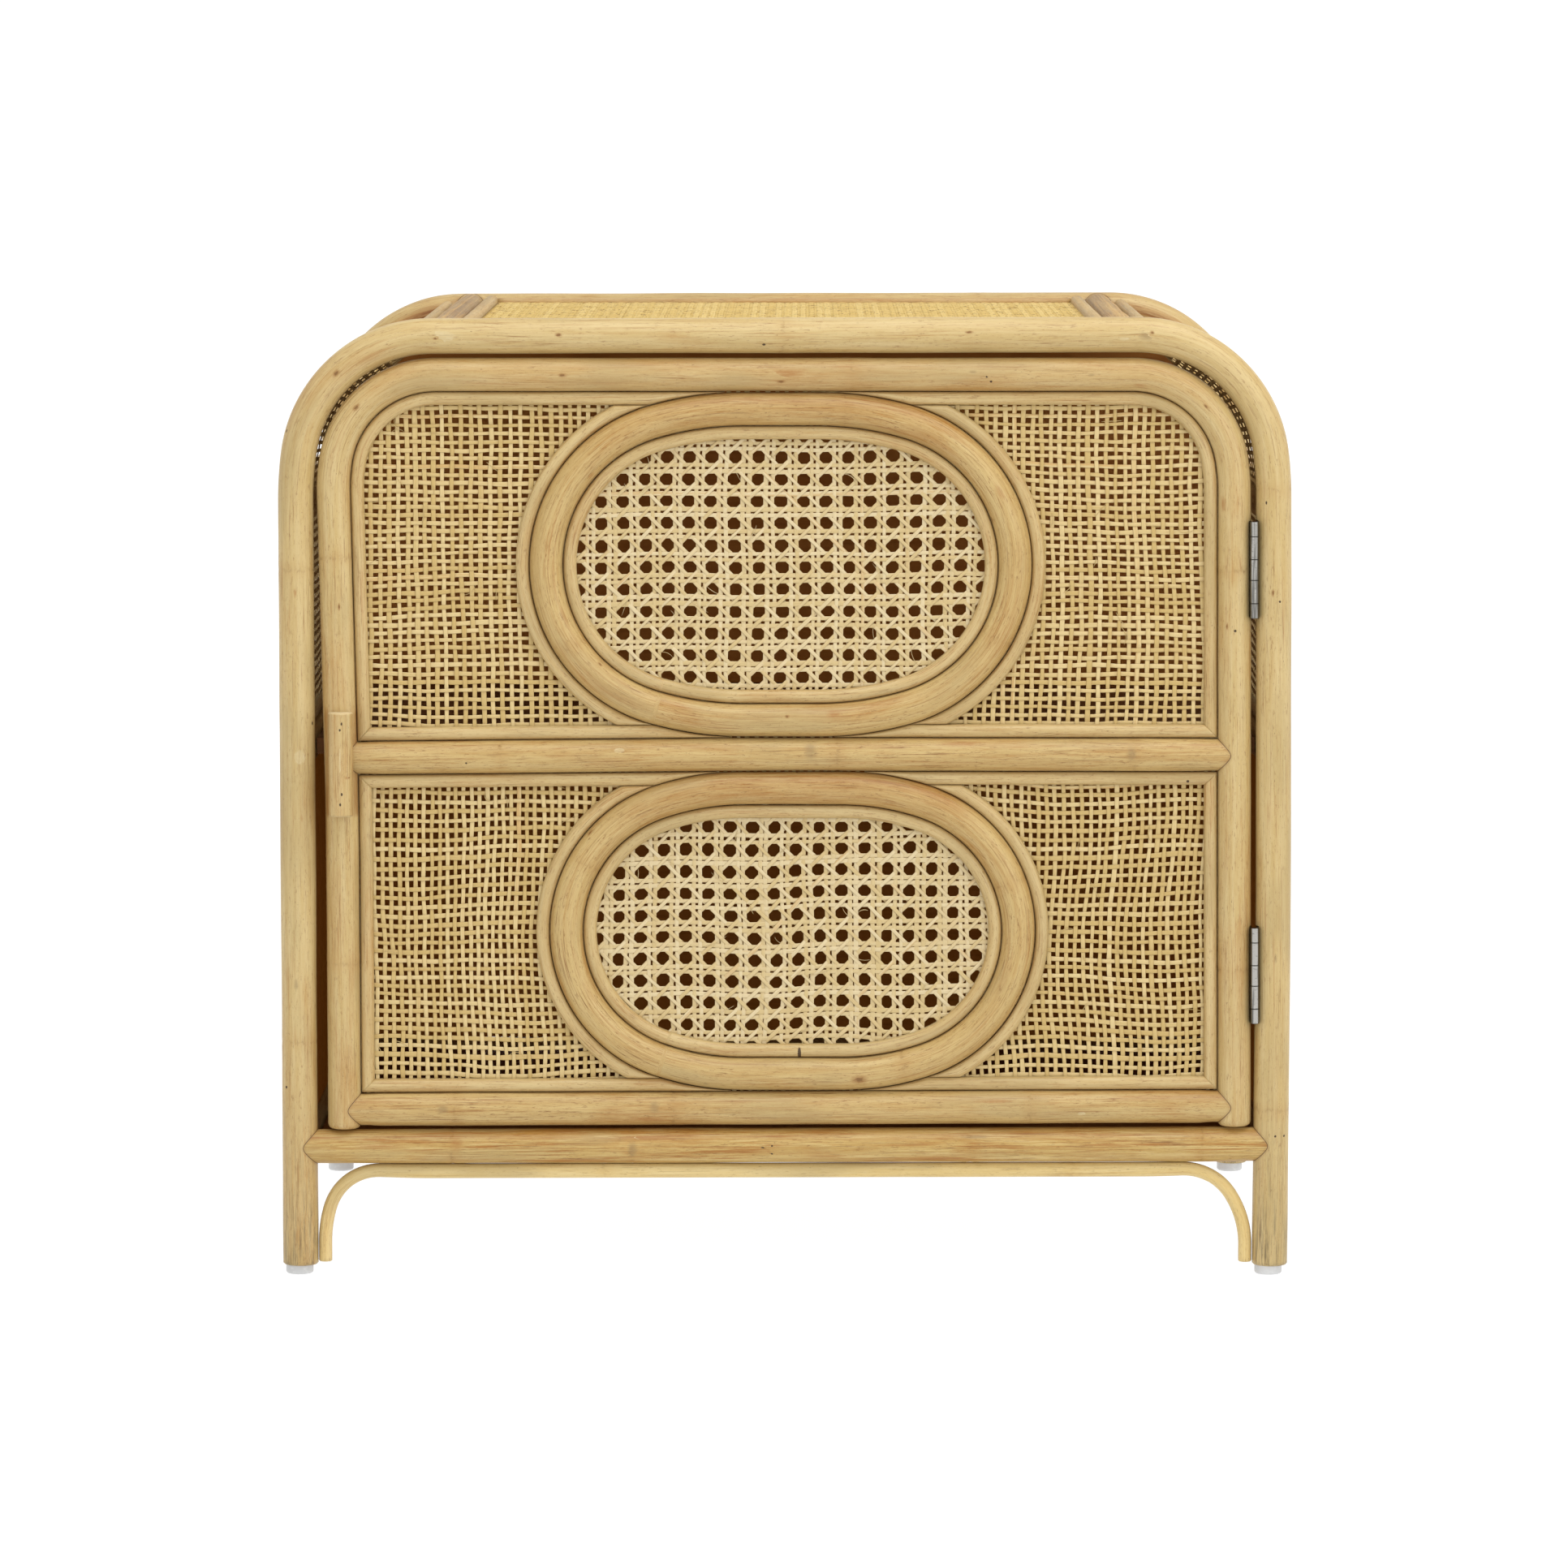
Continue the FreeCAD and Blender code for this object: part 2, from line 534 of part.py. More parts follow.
left_corner_f = corner_cut(skin, True, CORNER_RAIL_L[1], 0.06, 0.06)
right_corner_f = corner_cut(skin, False, CORNER_RAIL_R[1], 0.06, 0.06)
parts["left_corner_webbing"] = group(solids(ext(left_corner_f, YI0, YI1)))
parts["right_corner_webbing"] = group(solids(ext(right_corner_f, YI0, YI1)))


def side_x(z):
    """Leg centreline x on the right at height z, straight between its bends."""
    if z < 220:
        return 279.3 + (280.1 - 279.3) * (z - LEG_FOOT) / (220 - LEG_FOOT)
    return 280.1 + (278.6 - 280.1) * (z - 220) / (461.3 - 220)


def bay(left, z0, z1_, x_in, x_out):
    """Flat slab in a side bay, x measured outwards from the leg centreline."""
    s = -1 if left else 1
    a = 280.1 if left else (side_x(z0) + side_x(z1_)) / 2
    lo, hi = sorted((s * (a + x_in), s * (a + x_out)))
    return box(lo, hi, YI0, YI1, z0, z1_)


LOW = (Z_BOT_R + R_RAIL + 0.1, Z_SHELF_RAIL - R_RAIL - 0.1)
UPP = (Z_SHELF_RAIL + R_RAIL + 0.1, CORNER_RAIL_L[1] - R_RAIL - 0.1)
for side, left in (("left", True), ("right", False)):
    parts[side + "_side_webbing"] = group([bay(left, LOW[0], LOW[1], -SHEET / 2, SHEET / 2),
                                           bay(left, UPP[0], UPP[1], -SHEET / 2, SHEET / 2)])
    parts[side + "_liner"] = bay(left, LOW[0], LOW[1], -SHEET / 2 - 0.05 - PANEL_T, -SHEET / 2 - 0.05)


def strip_frame(x0, x1, z0, z1_, w, y0=YI0, y1=YI1):
    """Four mitred strips round a rectangle in the YZ plane, from x0 to x1."""
    c = [(y0, z0), (y1, z0), (y1, z1_), (y0, z1_)]
    i = [(y0 + w, z0 + w), (y1 - w, z0 + w), (y1 - w, z1_ - w), (y0 + w, z1_ - w)]
    out = []
    for k in range(4):
        q = [c[k], c[(k + 1) % 4], i[(k + 1) % 4], i[k]]
        f = Part.Face(Part.makePolygon([V(x0, y, z) for y, z in q] + [V(x0, q[0][0], q[0][1])]))
        out.append(f.extrude(V(x1 - x0, 0, 0)))
    return out


TRIM_S = TRIM_T - 0.9
for side, left in (("left", True), ("right", False)):
    s = -1 if left else 1
    strips = []
    for (z0, z1_) in (LOW, UPP):
        a = 280.1 if left else (side_x(z0) + side_x(z1_)) / 2
        lo, hi = sorted((s * (a + SHEET / 2 + 0.05), s * (a + SHEET / 2 + 0.05 + TRIM_S)))
        strips += strip_frame(lo, hi, z0, z1_, TRIM_W)
    z0, z1_ = UPP
    a = 280.1 if left else (side_x(z0) + side_x(z1_)) / 2
    lo, hi = sorted((s * (a - SHEET / 2 - 0.05), s * (a - SHEET / 2 - 0.05 - TRIM_S)))
    strips += strip_frame(lo, hi, z0, z1_, TRIM_W)
    band = corner_cut(trim_out, left, (CORNER_RAIL_L if left else CORNER_RAIL_R)[1] + 2, 0.08, 45.0)
    strips += solids(ext(band, YI0, YI0 + TRIM_W))
    strips += solids(ext(band, YI1 - TRIM_W, YI1))
    cx, cz = CORNER_RAIL_L if left else CORNER_RAIL_R
    ring_zone = Part.Face(Part.Wire(Part.makeCircle(R_RAIL + 8.2, V(cx, 0, cz), V(0, 1, 0))))
    strips += solids(ext(band.common(ring_zone), YI0 + TRIM_W + 0.05, YI1 - TRIM_W - 0.05))
    parts[side + "_side_trims"] = group(strips)

# ---------------------------------------------------------------- back, shelf, floor
BK = Y_BACK - 9.0
inside = offset_pts(full, 10.4)
room = poly_face([(-400, Z_BOT_R + R_RAIL + 0.1), (400, Z_BOT_R + R_RAIL + 0.1), (400, 700), (-400, 700)])
back_face = face(inside).common(room)
parts["back_panel"] = group(solids(ext(back_face, BK, BK + PANEL_T)))
back_skin_face = face(offset_pts(full, 10.45)).common(room)
parts["back_webbing"] = group(solids(ext(back_skin_face, BK + PANEL_T + 0.05, BK + PANEL_T + 0.05 + SHEET)))
room_in = poly_face([(-400, Z_BOT_R + R_RAIL + 0.1 + TRIM_W), (400, Z_BOT_R + R_RAIL + 0.1 + TRIM_W),
                     (400, 700), (-400, 700)])
inner_zone = face(offset_pts(full, 10.5 + TRIM_W)).common(room_in)
trim_band = face(offset_pts(full, 10.5)).common(room).cut(inner_zone)
zb = Z_BOT_R + R_RAIL + 0.1
for sx, xc in ((1, -280.1 + 10.4), (-1, 279.5 - 10.4)):
    m = poly_face([(xc - sx * 3, zb - 3), (xc - sx * 3 + 0.12, zb - 3), (xc + sx * 12 + 0.12, zb + 12), (xc + sx * 12, zb + 12)])
    trim_band = trim_band.cut(m)
parts["back_trims"] = group(solids(ext(trim_band, BK + PANEL_T + SHEET + 0.1, BK + PANEL_T + SHEET + 0.1 + TRIM_S)))

parts["shelf"] = box(-269.8, 269.7, Y_FRONT + 13.7, BK - 0.1, SHELF_Z[0], SHELF_Z[1])
parts["floor_board"] = box(-269.6, 269.2, Y_FRONT + 10.4, Y_BACK - 10.4, FLOOR_Z[0], FLOOR_Z[1])

# ---------------------------------------------------------------- magnetic catch under the shelf
CX0, CX1 = -262.0, -222.0
CY0, CY1 = Y_FRONT + 11.5, Y_FRONT + 25.5
CZ0, CZ1 = 287.6, SHELF_Z[0] - 0.02
house = box(CX0, CX1, CY0, CY1, CZ0, CZ1)
pocket = box(CX0 + 10, CX1 - 10, CY0 - 1, CY0 + 9, CZ0 + 2.2, CZ1 - 2.6)
house = house.cut(pocket)
for cx in (CX0 + 5, CX1 - 5):
    house = house.cut(Part.makeCylinder(1.7, 30, V(cx, CY0 + 7, CZ0 - 1), V(0, 0, 1)))
    house = house.cut(Part.makeCylinder(3.3, 2.4, V(cx, CY0 + 7, CZ0 - 0.001), V(0, 0, 1)))
parts["catch_housing"] = house
mz0, mz1 = CZ0 + 2.25, CZ1 - 2.65
parts["catch_magnet"] = group([
    box(CX0 + 10.1, CX1 - 10.1, CY0 + 0.4, CY0 + 8.9, mz0 + 1.3, mz1 - 1.3),
    box(CX0 + 10.1, CX1 - 10.1, CY0 + 0.0, CY0 + 8.9, mz0, mz0 + 1.25),
    box(CX0 + 10.1, CX1 - 10.1, CY0 + 0.0, CY0 + 8.9, mz1 - 1.25, mz1)])
catch_screws, shelf_holes = [], []
for cx in (CX0 + 5, CX1 - 5):
    s = Part.makeCylinder(1.5, 17.0, V(cx, CY0 + 7, CZ0 + 1.0), V(0, 0, 1))
    h = Part.makeCone(3.1, 1.5, 1.4, V(cx, CY0 + 7, CZ0 + 1.0), V(0, 0, 1))
    catch_screws.append(s.fuse(h).cut(box(cx - 3, cx + 3, CY0 + 6.6, CY0 + 7.4, CZ0 + 0.5, CZ0 + 1.6)))
    shelf_holes.append(Part.makeCylinder(1.54, 7.0, V(cx, CY0 + 7, SHELF_Z[0] - 0.5), V(0, 0, 1)))
    house = house.cut(Part.makeCone(3.15, 1.5, 1.5, V(cx, CY0 + 7, CZ0 + 1.0), V(0, 0, 1)))
parts["catch_housing"] = house
parts["catch_screws"] = group(catch_screws)
parts["shelf"] = parts["shelf"].cut(Part.makeCompound(shelf_holes))

# ---------------------------------------------------------------- cabinet side of the hinges
parts["cabinet_hinge_leaves"] = group(cab_leaves)
parts["hinge_pins"] = group(pins)
parts["cabinet_hinge_screws"] = group(cab_screws)

# ---------------------------------------------------------------- door: sheets and trims
upper_line = [(-255.15, 298.9, 0), (-258.6, 459.5, 100), (-250.2, 518.7, 58),
              (247.8, 518.9, 58), (256.1, 459.5, 100), (257.1, 301.0, 0), (-20.0, 301.2, 6000)]
lower_line = [(-254.3, 95.4, 0), (-254.46, 240.0, 0), (-255.12, 298.9, 0), (-20.0, 301.2, 6000), (257.1, 301.0, 0), (258.35, 97.5, 0)]


def panel(line, d):
    pts = offset_pts(line, d, closed=True)
    return face(pts)


D0 = R_DOOR + 0.03
up_out, up_in = panel(upper_line, D0), panel(upper_line, D0 + TRIM_W)
lo_out, lo_in = panel(lower_line, D0 + 0.15), panel(lower_line, D0 + 0.15 + TRIM_W)
fy0 = Y_FRONT + SHEET_Y0
for name, out_f, ring in (("upper_mesh_panel", up_out, RING_U), ("lower_mesh_panel", lo_out, RING_L)):
    f = out_f.cut(oval_face(ring, R_DRAIL + 0.03))
    parts[name] = group(solids(ext(f, fy0, fy0 + SHEET)))
parts["upper_cane"] = ext(oval_face(RING_U, -R_DRAIL - 0.03), fy0, fy0 + SHEET)
parts["lower_cane"] = ext(oval_face(RING_L, -R_DRAIL - 0.03), fy0, fy0 + SHEET)


def front_and_rear(f):
    """A trim on the front of the sheet and its twin on the back."""
    return solids(ext(f, fy0 - 0.05 - TRIM_T, fy0 - 0.05)) + solids(ext(f, fy0 + SHEET + 0.05, fy0 + SHEET + 0.05 + TRIM_S))


inner_trims, outer_trims = [], []
for ring, zone in ((RING_U, up_in), (RING_L, lo_in)):
    band = oval_face(ring, -R_DRAIL - 0.05).cut(oval_face(ring, -R_DRAIL - 0.05 - TRIM_W))
    inner_trims += front_and_rear(band)
    band = oval_face(ring, R_DRAIL + 0.05 + TRIM_W).cut(oval_face(ring, R_DRAIL + 0.05))
    band = band.common(panel(upper_line if ring is RING_U else lower_line, D0 + TRIM_W + 0.2))
    outer_trims += front_and_rear(band)
parts["ring_inner_trims"] = group(inner_trims)
parts["ring_outer_trims"] = group(outer_trims)


def mitre(x, z, sx, sz):
    """Thin cut on the diagonal of a square corner at (x, z), running inwards."""
    return poly_face([(x - sx * 4 - 0.06, z - sz * 4), (x - sx * 4 + 0.06, z - sz * 4),
                      (x + sx * 14 + 0.06, z + sz * 14), (x + sx * 14 - 0.06, z + sz * 14)])


up_band = up_out.cut(up_in).cut(oval_face(RING_U, R_DRAIL + 0.05))
q = offset_pts(upper_line, D0, closed=True)
up_band = up_band.cut(mitre(q[0][0], q[0][1], 1, 1)).cut(mitre(q[5][0], q[5][1], -1, 1))
parts["upper_panel_trims"] = group(front_and_rear(up_band))
lo_band = lo_out.cut(lo_in).cut(oval_face(RING_L, R_DRAIL + 0.05))
q = offset_pts(lower_line, D0 + 0.15, closed=True)
lo_band = lo_band.cut(mitre(q[0][0], q[0][1], 1, 1)).cut(mitre(q[2][0], q[2][1], 1, -1))
lo_band = lo_band.cut(mitre(q[4][0], q[4][1], -1, -1)).cut(mitre(q[5][0], q[5][1], -1, 1))
parts["lower_panel_trims"] = group(front_and_rear(lo_band))

# ---------------------------------------------------------------- door: handle, nails, strike, screws
nails, nail_bores = [], []
for z in (HANDLE_Z[0] + 6.7, HANDLE_Z[0] + 13.3, HANDLE_Z[1] - 9.8, HANDLE_Z[1] - 6.0):
    y0 = Y_FRONT - HANDLE_OFF - R_HANDLE + 0.5
    nails.append(Part.makeCylinder(0.8, 24, V(HANDLE_X, y0, z), V(0, 1, 0)))
    nail_bores.append(Part.makeCylinder(0.83, 25.0, V(HANDLE_X, y0 - 0.8, z), V(0, 1, 0)))
door_frame = door_frame.cut(Part.makeCompound(nail_bores))
parts["handle"] = handle.cut(Part.makeCompound(nail_bores))
parts["handle_nails"] = group(nails)

joint_screws, bores_mid, bores_bot = [], [], []
for left, z, bag in ((True, 299.0, bores_mid), (False, 301.0, bores_mid), (True, 95.4, bores_bot), (False, 97.5, bores_bot)):
    xo = (-255.2 if z > 200 else -254.3) - R_DOOR + 1.8 if left else (257.1 if z > 200 else 258.35) + R_DOOR - 1.8
    d = 1 if left else -1
    s = Part.makeCylinder(1.5, 40, V(xo, Y_FRONT, z), V(d, 0, 0)).fuse(
        Part.makeCone(3.0, 1.5, 2.2, V(xo, Y_FRONT, z), V(d, 0, 0)))
    b = Part.makeCylinder(1.54, 40.5, V(xo, Y_FRONT, z), V(d, 0, 0)).multiFuse([
        Part.makeCone(3.05, 1.55, 2.22, V(xo, Y_FRONT, z), V(d, 0, 0)),
        Part.makeCylinder(3.05, 0.8, V(xo - d * 0.8, Y_FRONT, z), V(d, 0, 0))])
    joint_screws.append(s)
    bag.append(b)
door_frame = door_frame.cut(Part.makeCompound(bores_mid + bores_bot))
parts["door_frame"] = door_frame
parts["door_mid_rail"] = mid_rail.cut(Part.makeCompound(bores_mid))
parts["door_bottom_rail"] = bot_rail.cut(Part.makeCompound(bores_bot))
parts["upper_ring"] = ring_u
parts["lower_ring"] = ring_l
parts["door_joint_screws"] = group(joint_screws)
parts["door_hinge_leaves"] = group(door_leaves)
parts["door_hinge_screws"] = group(door_screws)

sx0 = -242.0
sy = Y_FRONT + R_DRAIL + 0.05
plate = box(sx0 - 15, sx0 + 15, sy, sy + 1.2, 289.8, 301.8)
plate = plate.cut(Part.makeCylinder(1.6, 5, V(sx0, sy - 1, 299.0), V(0, 1, 0)))
plate = plate.cut(Part.makeCone(1.6, 3.0, 1.0, V(sx0, sy + 0.21, 299.0), V(0, 1, 0)))
screw_s = Part.makeCylinder(1.5, 8, V(sx0, sy + 0.9 - 8, 299.0), V(0, 1, 0)).fuse(
    Part.makeCone(1.5, 2.8, 0.9, V(sx0, sy + 0.25, 299.0), V(0, 1, 0)))
screw_s = screw_s.cut(box(sx0 - 3, sx0 + 3, sy + 0.75, sy + 2, 298.65, 299.35))
parts["catch_strike"] = group([plate, screw_s])
parts["door_mid_rail"] = parts["door_mid_rail"].cut(
    Part.makeCylinder(1.54, 10, V(sx0, sy + 0.9 - 8.5, 299.0), V(0, 1, 0)))

# ---------------------------------------------------------------- write
os.makedirs("parts", exist_ok=True)
for name in sorted(parts):
    shape = parts[name]
    shape.exportStep("parts/%s.step" % name)
    bb = shape.BoundBox
    print("%-22s solids %2d valid %s vol %9.1f  x %.1f..%.1f y %.1f..%.1f z %.1f..%.1f" % (
        name, len(shape.Solids), shape.isValid(), shape.Volume, bb.XMin, bb.XMax, bb.YMin, bb.YMax, bb.ZMin, bb.ZMax))
print(len(parts), "nodes")
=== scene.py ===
import math
import bpy
import numpy as np
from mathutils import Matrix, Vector


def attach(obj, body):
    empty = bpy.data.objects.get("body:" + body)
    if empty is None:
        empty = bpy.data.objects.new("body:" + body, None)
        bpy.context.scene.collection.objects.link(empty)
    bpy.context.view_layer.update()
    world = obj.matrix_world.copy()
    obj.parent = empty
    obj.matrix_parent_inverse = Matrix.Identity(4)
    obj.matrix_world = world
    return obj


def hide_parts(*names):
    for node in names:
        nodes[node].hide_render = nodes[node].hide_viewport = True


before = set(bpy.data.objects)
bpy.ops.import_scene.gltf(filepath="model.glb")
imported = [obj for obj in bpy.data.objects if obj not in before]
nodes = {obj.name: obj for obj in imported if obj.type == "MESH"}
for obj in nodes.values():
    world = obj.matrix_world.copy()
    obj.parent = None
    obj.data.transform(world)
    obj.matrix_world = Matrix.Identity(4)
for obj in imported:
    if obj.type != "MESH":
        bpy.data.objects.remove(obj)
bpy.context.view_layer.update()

scene = bpy.context.scene

# ------------------------------------------------------------------ numbers shared with the CAD model, mm
Y_FRONT, Y_BACK = -184.5, 194.9
R_ARCH, R_RAIL, R_TOPRAIL, R_BRACE = 10.3, 10.2, 9.3, 3.85
R_DOOR, R_DRAIL, R_DBOT = 9.75, 9.7, 9.9
LEG_FOOT = 5.45
TRIM_W, TRIM_T = 7.6, 4.95
SHEET, SHEET_Y0, SKIN_IN = 1.2, 0.6, 8.0
ARCH = [(-280.1, LEG_FOOT, 0), (-280.1, 460.4, 200), (-268.8, 540.5, 77),
        (268.0, 541.6, 77), (278.6, 461.4, 200), (280.1, 220.0, 3000), (279.3, LEG_FOOT, 0)]
Z_BOT_L, Z_BOT_R, Z_SHELF_RAIL = 73.8, 75.4, 301.0
CORNER_RAIL_L, CORNER_RAIL_R = (-280.0, 447.5), (278.9, 447.5)
TOP_RAIL_L, TOP_RAIL_R = (-196.5, 541.7), (193.0, 541.9)
BRACE = [(-265.85, 6.6, 0), (-265.85, 27.4, 72), (-257.2, 59.65, 30.0),
         (247.7, 61.0, 33.0), (265.0, 31.0, 54), (265.0, 6.6, 0)]
DOOR = [(-254.3, 84.5, 0), (-254.5, 270.0, 3000), (-258.6, 459.5, 100), (-250.2, 518.7, 58),
        (247.8, 518.9, 58), (256.1, 459.5, 100), (258.4, 86.2, 0)]
MID = [(-255.2, 298.9, 0), (-20.0, 301.2, 6000), (257.2, 301.0, 0)]
BOT = [(-254.3, 95.4, 0), (258.3, 97.5, 0)]
RING_U = (-3.0, 410.0, 134.1, 89.15, 85.2, 21.0)
RING_L = (3.8, 198.95, 129.9, 82.7, 78.9, 28.0)
UPPER = [(-255.15, 298.9, 0), (-258.6, 459.5, 100), (-250.2, 518.7, 58),
         (247.8, 518.9, 58), (256.1, 459.5, 100), (257.1, 301.0, 0), (-20.0, 301.2, 6000)]
LOWER = [(-254.3, 95.4, 0), (-254.46, 240.0, 0), (-255.12, 298.9, 0), (-20.0, 301.2, 6000), (257.1, 301.0, 0),
         (258.35, 97.5, 0)]
Z_TOP_SKIN = 546.2
HINGE_TOP, HINGE_BOT, HINGE_Y, HINGE_L, LEAF_OUT, LEAF_W = (267.385, 407.7), (269.185, 174.3), Y_FRONT - 9.0, 55.5, 2.55, 13.5
HANDLE_X, HANDLE_Z, R_HANDLE, HANDLE_OFF = -254.5, (266.9, 326.3), 7.25, 13.5
YI0, YI1 = Y_FRONT + R_ARCH + 0.1, Y_BACK - R_ARCH - 0.1
LOW = (Z_BOT_R + R_RAIL + 0.1, Z_SHELF_RAIL - R_RAIL - 0.1)
UPP = (Z_SHELF_RAIL + R_RAIL + 0.1, CORNER_RAIL_L[1] - R_RAIL - 0.1)
BK = Y_BACK - 9.0


# ------------------------------------------------------------------ paths in the XZ plane
def fillet_path(pts, closed=False):
    n = len(pts)
    corner = []
    for i, (x, z, r) in enumerate(pts):
        if (not closed and i in (0, n - 1)) or r <= 0:
            corner.append(((x, z), (x, z), None))
            continue
        px, pz, _ = pts[i - 1]
        nx, nz, _ = pts[(i + 1) % n]
        l1, l2 = math.hypot(x - px, z - pz), math.hypot(nx - x, nz - z)
        d1, d2 = ((x - px) / l1, (z - pz) / l1), ((nx - x) / l2, (nz - z) / l2)
        turn = math.atan2(d1[0] * d2[1] - d1[1] * d2[0], d1[0] * d2[0] + d1[1] * d2[1])
        if abs(turn) < 1e-7:
            corner.append(((x, z), (x, z), None))
            continue
        t = r * math.tan(abs(turn) / 2)
        a, b = (x - d1[0] * t, z - d1[1] * t), (x + d2[0] * t, z + d2[1] * t)
        s = 1 if turn > 0 else -1
        corner.append((a, b, ((a[0] - s * d1[1] * r, a[1] + s * d1[0] * r), r, turn)))
    segs = []
    for i in range(n):
        a, b, arc = corner[i]
        if arc:
            segs.append(("A", a, b, arc[0], arc[1], arc[2]))
        if i == n - 1 and not closed:
            break
        q = corner[(i + 1) % n][0]
        if math.hypot(q[0] - b[0], q[1] - b[1]) > 1e-4:
            segs.append(("L", b, q))
    return segs


def offset_pts(pts, d, closed=False):
    n = len(pts)
    m = n if closed else n - 1
    lines = []
    for i in range(m):
        x0, z0, _ = pts[i]
        x1, z1, _ = pts[(i + 1) % n]
        l = math.hypot(x1 - x0, z1 - z0)
        t = ((x1 - x0) / l, (z1 - z0) / l)
        lines.append(((x0 + t[1] * d, z0 - t[0] * d), t))
    out = []
    for i in range(n):
        x, z, r = pts[i]
        if not closed and i == 0:
            out.append((lines[0][0][0], lines[0][0][1], r))
            continue
        if not closed and i == n - 1:
            t = lines[-1][1]
            out.append((x + t[1] * d, z - t[0] * d, r))
            continue
        (p, t), (q, u) = lines[i - 1], lines[i % m]
        cr = t[0] * u[1] - t[1] * u[0]
        if abs(cr) < 1e-9:
            out.append((q[0], q[1], r))
            continue
        k = ((q[0] - p[0]) * u[1] - (q[1] - p[1]) * u[0]) / cr
        rr = r
        if r > 0:
            rr = r - d if cr < 0 else r + d
        out.append((p[0] + t[0] * k, p[1] + t[1] * k, max(rr, 0)))
    return out


def oval_segs(ring, d=0.0):
    """Oval of two end arcs and four flat arcs with a straight middle, clockwise, moved outwards by d."""
    cx, cz, a, b, r, h = ring
    a, b, r = a + d - h, b + d, r + d
    big = ((a - r) ** 2 + b * b - r * r) / (2 * (b - r))
    ang = math.atan2(big - b, a - r)        # slope from a flat arc's centre to the end arc's centre
    jx, jz = h + (a - r) + r * math.cos(ang), r * math.sin(ang)
    end, side = 2 * ang, math.pi / 2 - ang
    ex = h + a - r

    def at(x, z):
        return (cx + x, cz + z)
    return [("A", at(-jx, -jz), at(-jx, jz), at(-ex, 0), r, -end),
            ("A", at(-jx, jz), at(-h, b), at(-h, b - big), big, -side),
            ("L", at(-h, b), at(h, b)),
            ("A", at(h, b), at(jx, jz), at(h, b - big), big, -side),
            ("A", at(jx, jz), at(jx, -jz), at(ex, 0), r, -end),
            ("A", at(jx, -jz), at(h, -b), at(h, big - b), big, -side),
            ("L", at(h, -b), at(-h, -b)),
            ("A", at(-h, -b), at(-jx, -jz), at(-h, big - b), big, -side)]


def oval_sd(ring, x, z):
    """Signed distance to the ring's centreline, negative inside."""
    cx, cz, a, b, r, h = ring
    a = a - h
    big = ((a - r) ** 2 + b * b - r * r) / (2 * (b - r))
    ang = math.atan2(big - b, a - r)
    qx, qz = np.maximum(np.abs(x - cx) - h, 0.0), np.abs(z - cz)
    cross = math.cos(ang) * (qz + big - b) - math.sin(ang) * qx
    return np.where(cross < 0, np.hypot(qx - (a - r), qz) - r, np.hypot(qx, qz + big - b) - big)


def sample(segs, step):
    """Points (x, z), tangents and lengths along a path of lines and arcs."""
    P, T, S, s0 = [], [], [], 0.0
    for g in segs:
        if g[0] == "L":
            L = math.hypot(g[2][0] - g[1][0], g[2][1] - g[1][1])
            k = max(1, int(math.ceil(L / step)))
            t = np.arange(k + 1) / k
            p = np.outer(1 - t, g[1]) + np.outer(t, g[2])
            d = np.tile(((g[2][0] - g[1][0]) / L, (g[2][1] - g[1][1]) / L), (k + 1, 1))
        else:
            _, a, b, c, r, turn = g
            L = r * abs(turn)
            k = max(2, int(math.ceil(L / step)))
            t = np.arange(k + 1) / k
            a0 = math.atan2(a[1] - c[1], a[0] - c[0])
            ph = a0 + turn * t
            p = np.stack([c[0] + r * np.cos(ph), c[1] + r * np.sin(ph)], 1)
            sg = 1 if turn > 0 else -1
            d = np.stack([-np.sin(ph) * sg, np.cos(ph) * sg], 1)
        if P:
            p, d, t = p[1:], d[1:], t[1:]
        P.append(p)
        T.append(d)
        S.append(s0 + t * L)
        s0 += L
    return np.concatenate(P), np.concatenate(T), np.concatenate(S)


def rng_for(*key):
    h = 0
    for c in "".join(map(str, key)):
        h = (h * 131 + ord(c)) % 2147483647
    return np.random.default_rng(h)


def wander(s, rng, length, amp, terms=6):
    """Smooth random curve along s, of about the given wavelength and size."""
    out = np.zeros_like(s, float)
    for i in range(terms):
        k = (0.5 + 1.6 * i / terms) / length
        out += math.sqrt(2.0 / terms) * amp * np.sin(2 * math.pi * k * s + rng.uniform(0, 2 * math.pi))
    return out


# ------------------------------------------------------------------ meshes
def make(name, co, quads, body, replaced, slot, mat, tris=None, flat=None, **attrs):
    """Mesh object from millimetre points; attrs are per-point vectors."""
    me = bpy.data.meshes.new(name)
    co = np.asarray(co, float)
    quads = np.asarray(quads, np.int32).reshape(-1, 4)
    tris = np.zeros((0, 3), np.int32) if tris is None else np.asarray(tris, np.int32).reshape(-1, 3)
    me.vertices.add(len(co))
    me.vertices.foreach_set("co", (co * 0.001).astype(np.float32).ravel())
    loops = np.concatenate([quads.ravel(), tris.ravel()]).astype(np.int32)
    me.loops.add(len(loops))
    me.loops.foreach_set("vertex_index", loops)
    starts = np.concatenate([np.arange(len(quads)) * 4, len(quads) * 4 + np.arange(len(tris)) * 3]).astype(np.int32)
    me.polygons.add(len(starts))
    me.polygons.foreach_set("loop_start", starts)
    smooth = np.ones(len(starts), bool)
    if flat is not None:
        smooth[:len(flat)] = ~flat
    me.polygons.foreach_set("use_smooth", smooth)
    me.update(calc_edges=True)
    for key, val in attrs.items():
        a = me.attributes.new(key, "FLOAT_VECTOR", "POINT")
        a.data.foreach_set("vector", np.asarray(val, np.float32).ravel())
    me.materials.append(mat)
    o = bpy.data.objects.new(name, me)
    scene.collection.objects.link(o)
    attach(o, body)
    if replaced:
        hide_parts(*replaced)
    return o


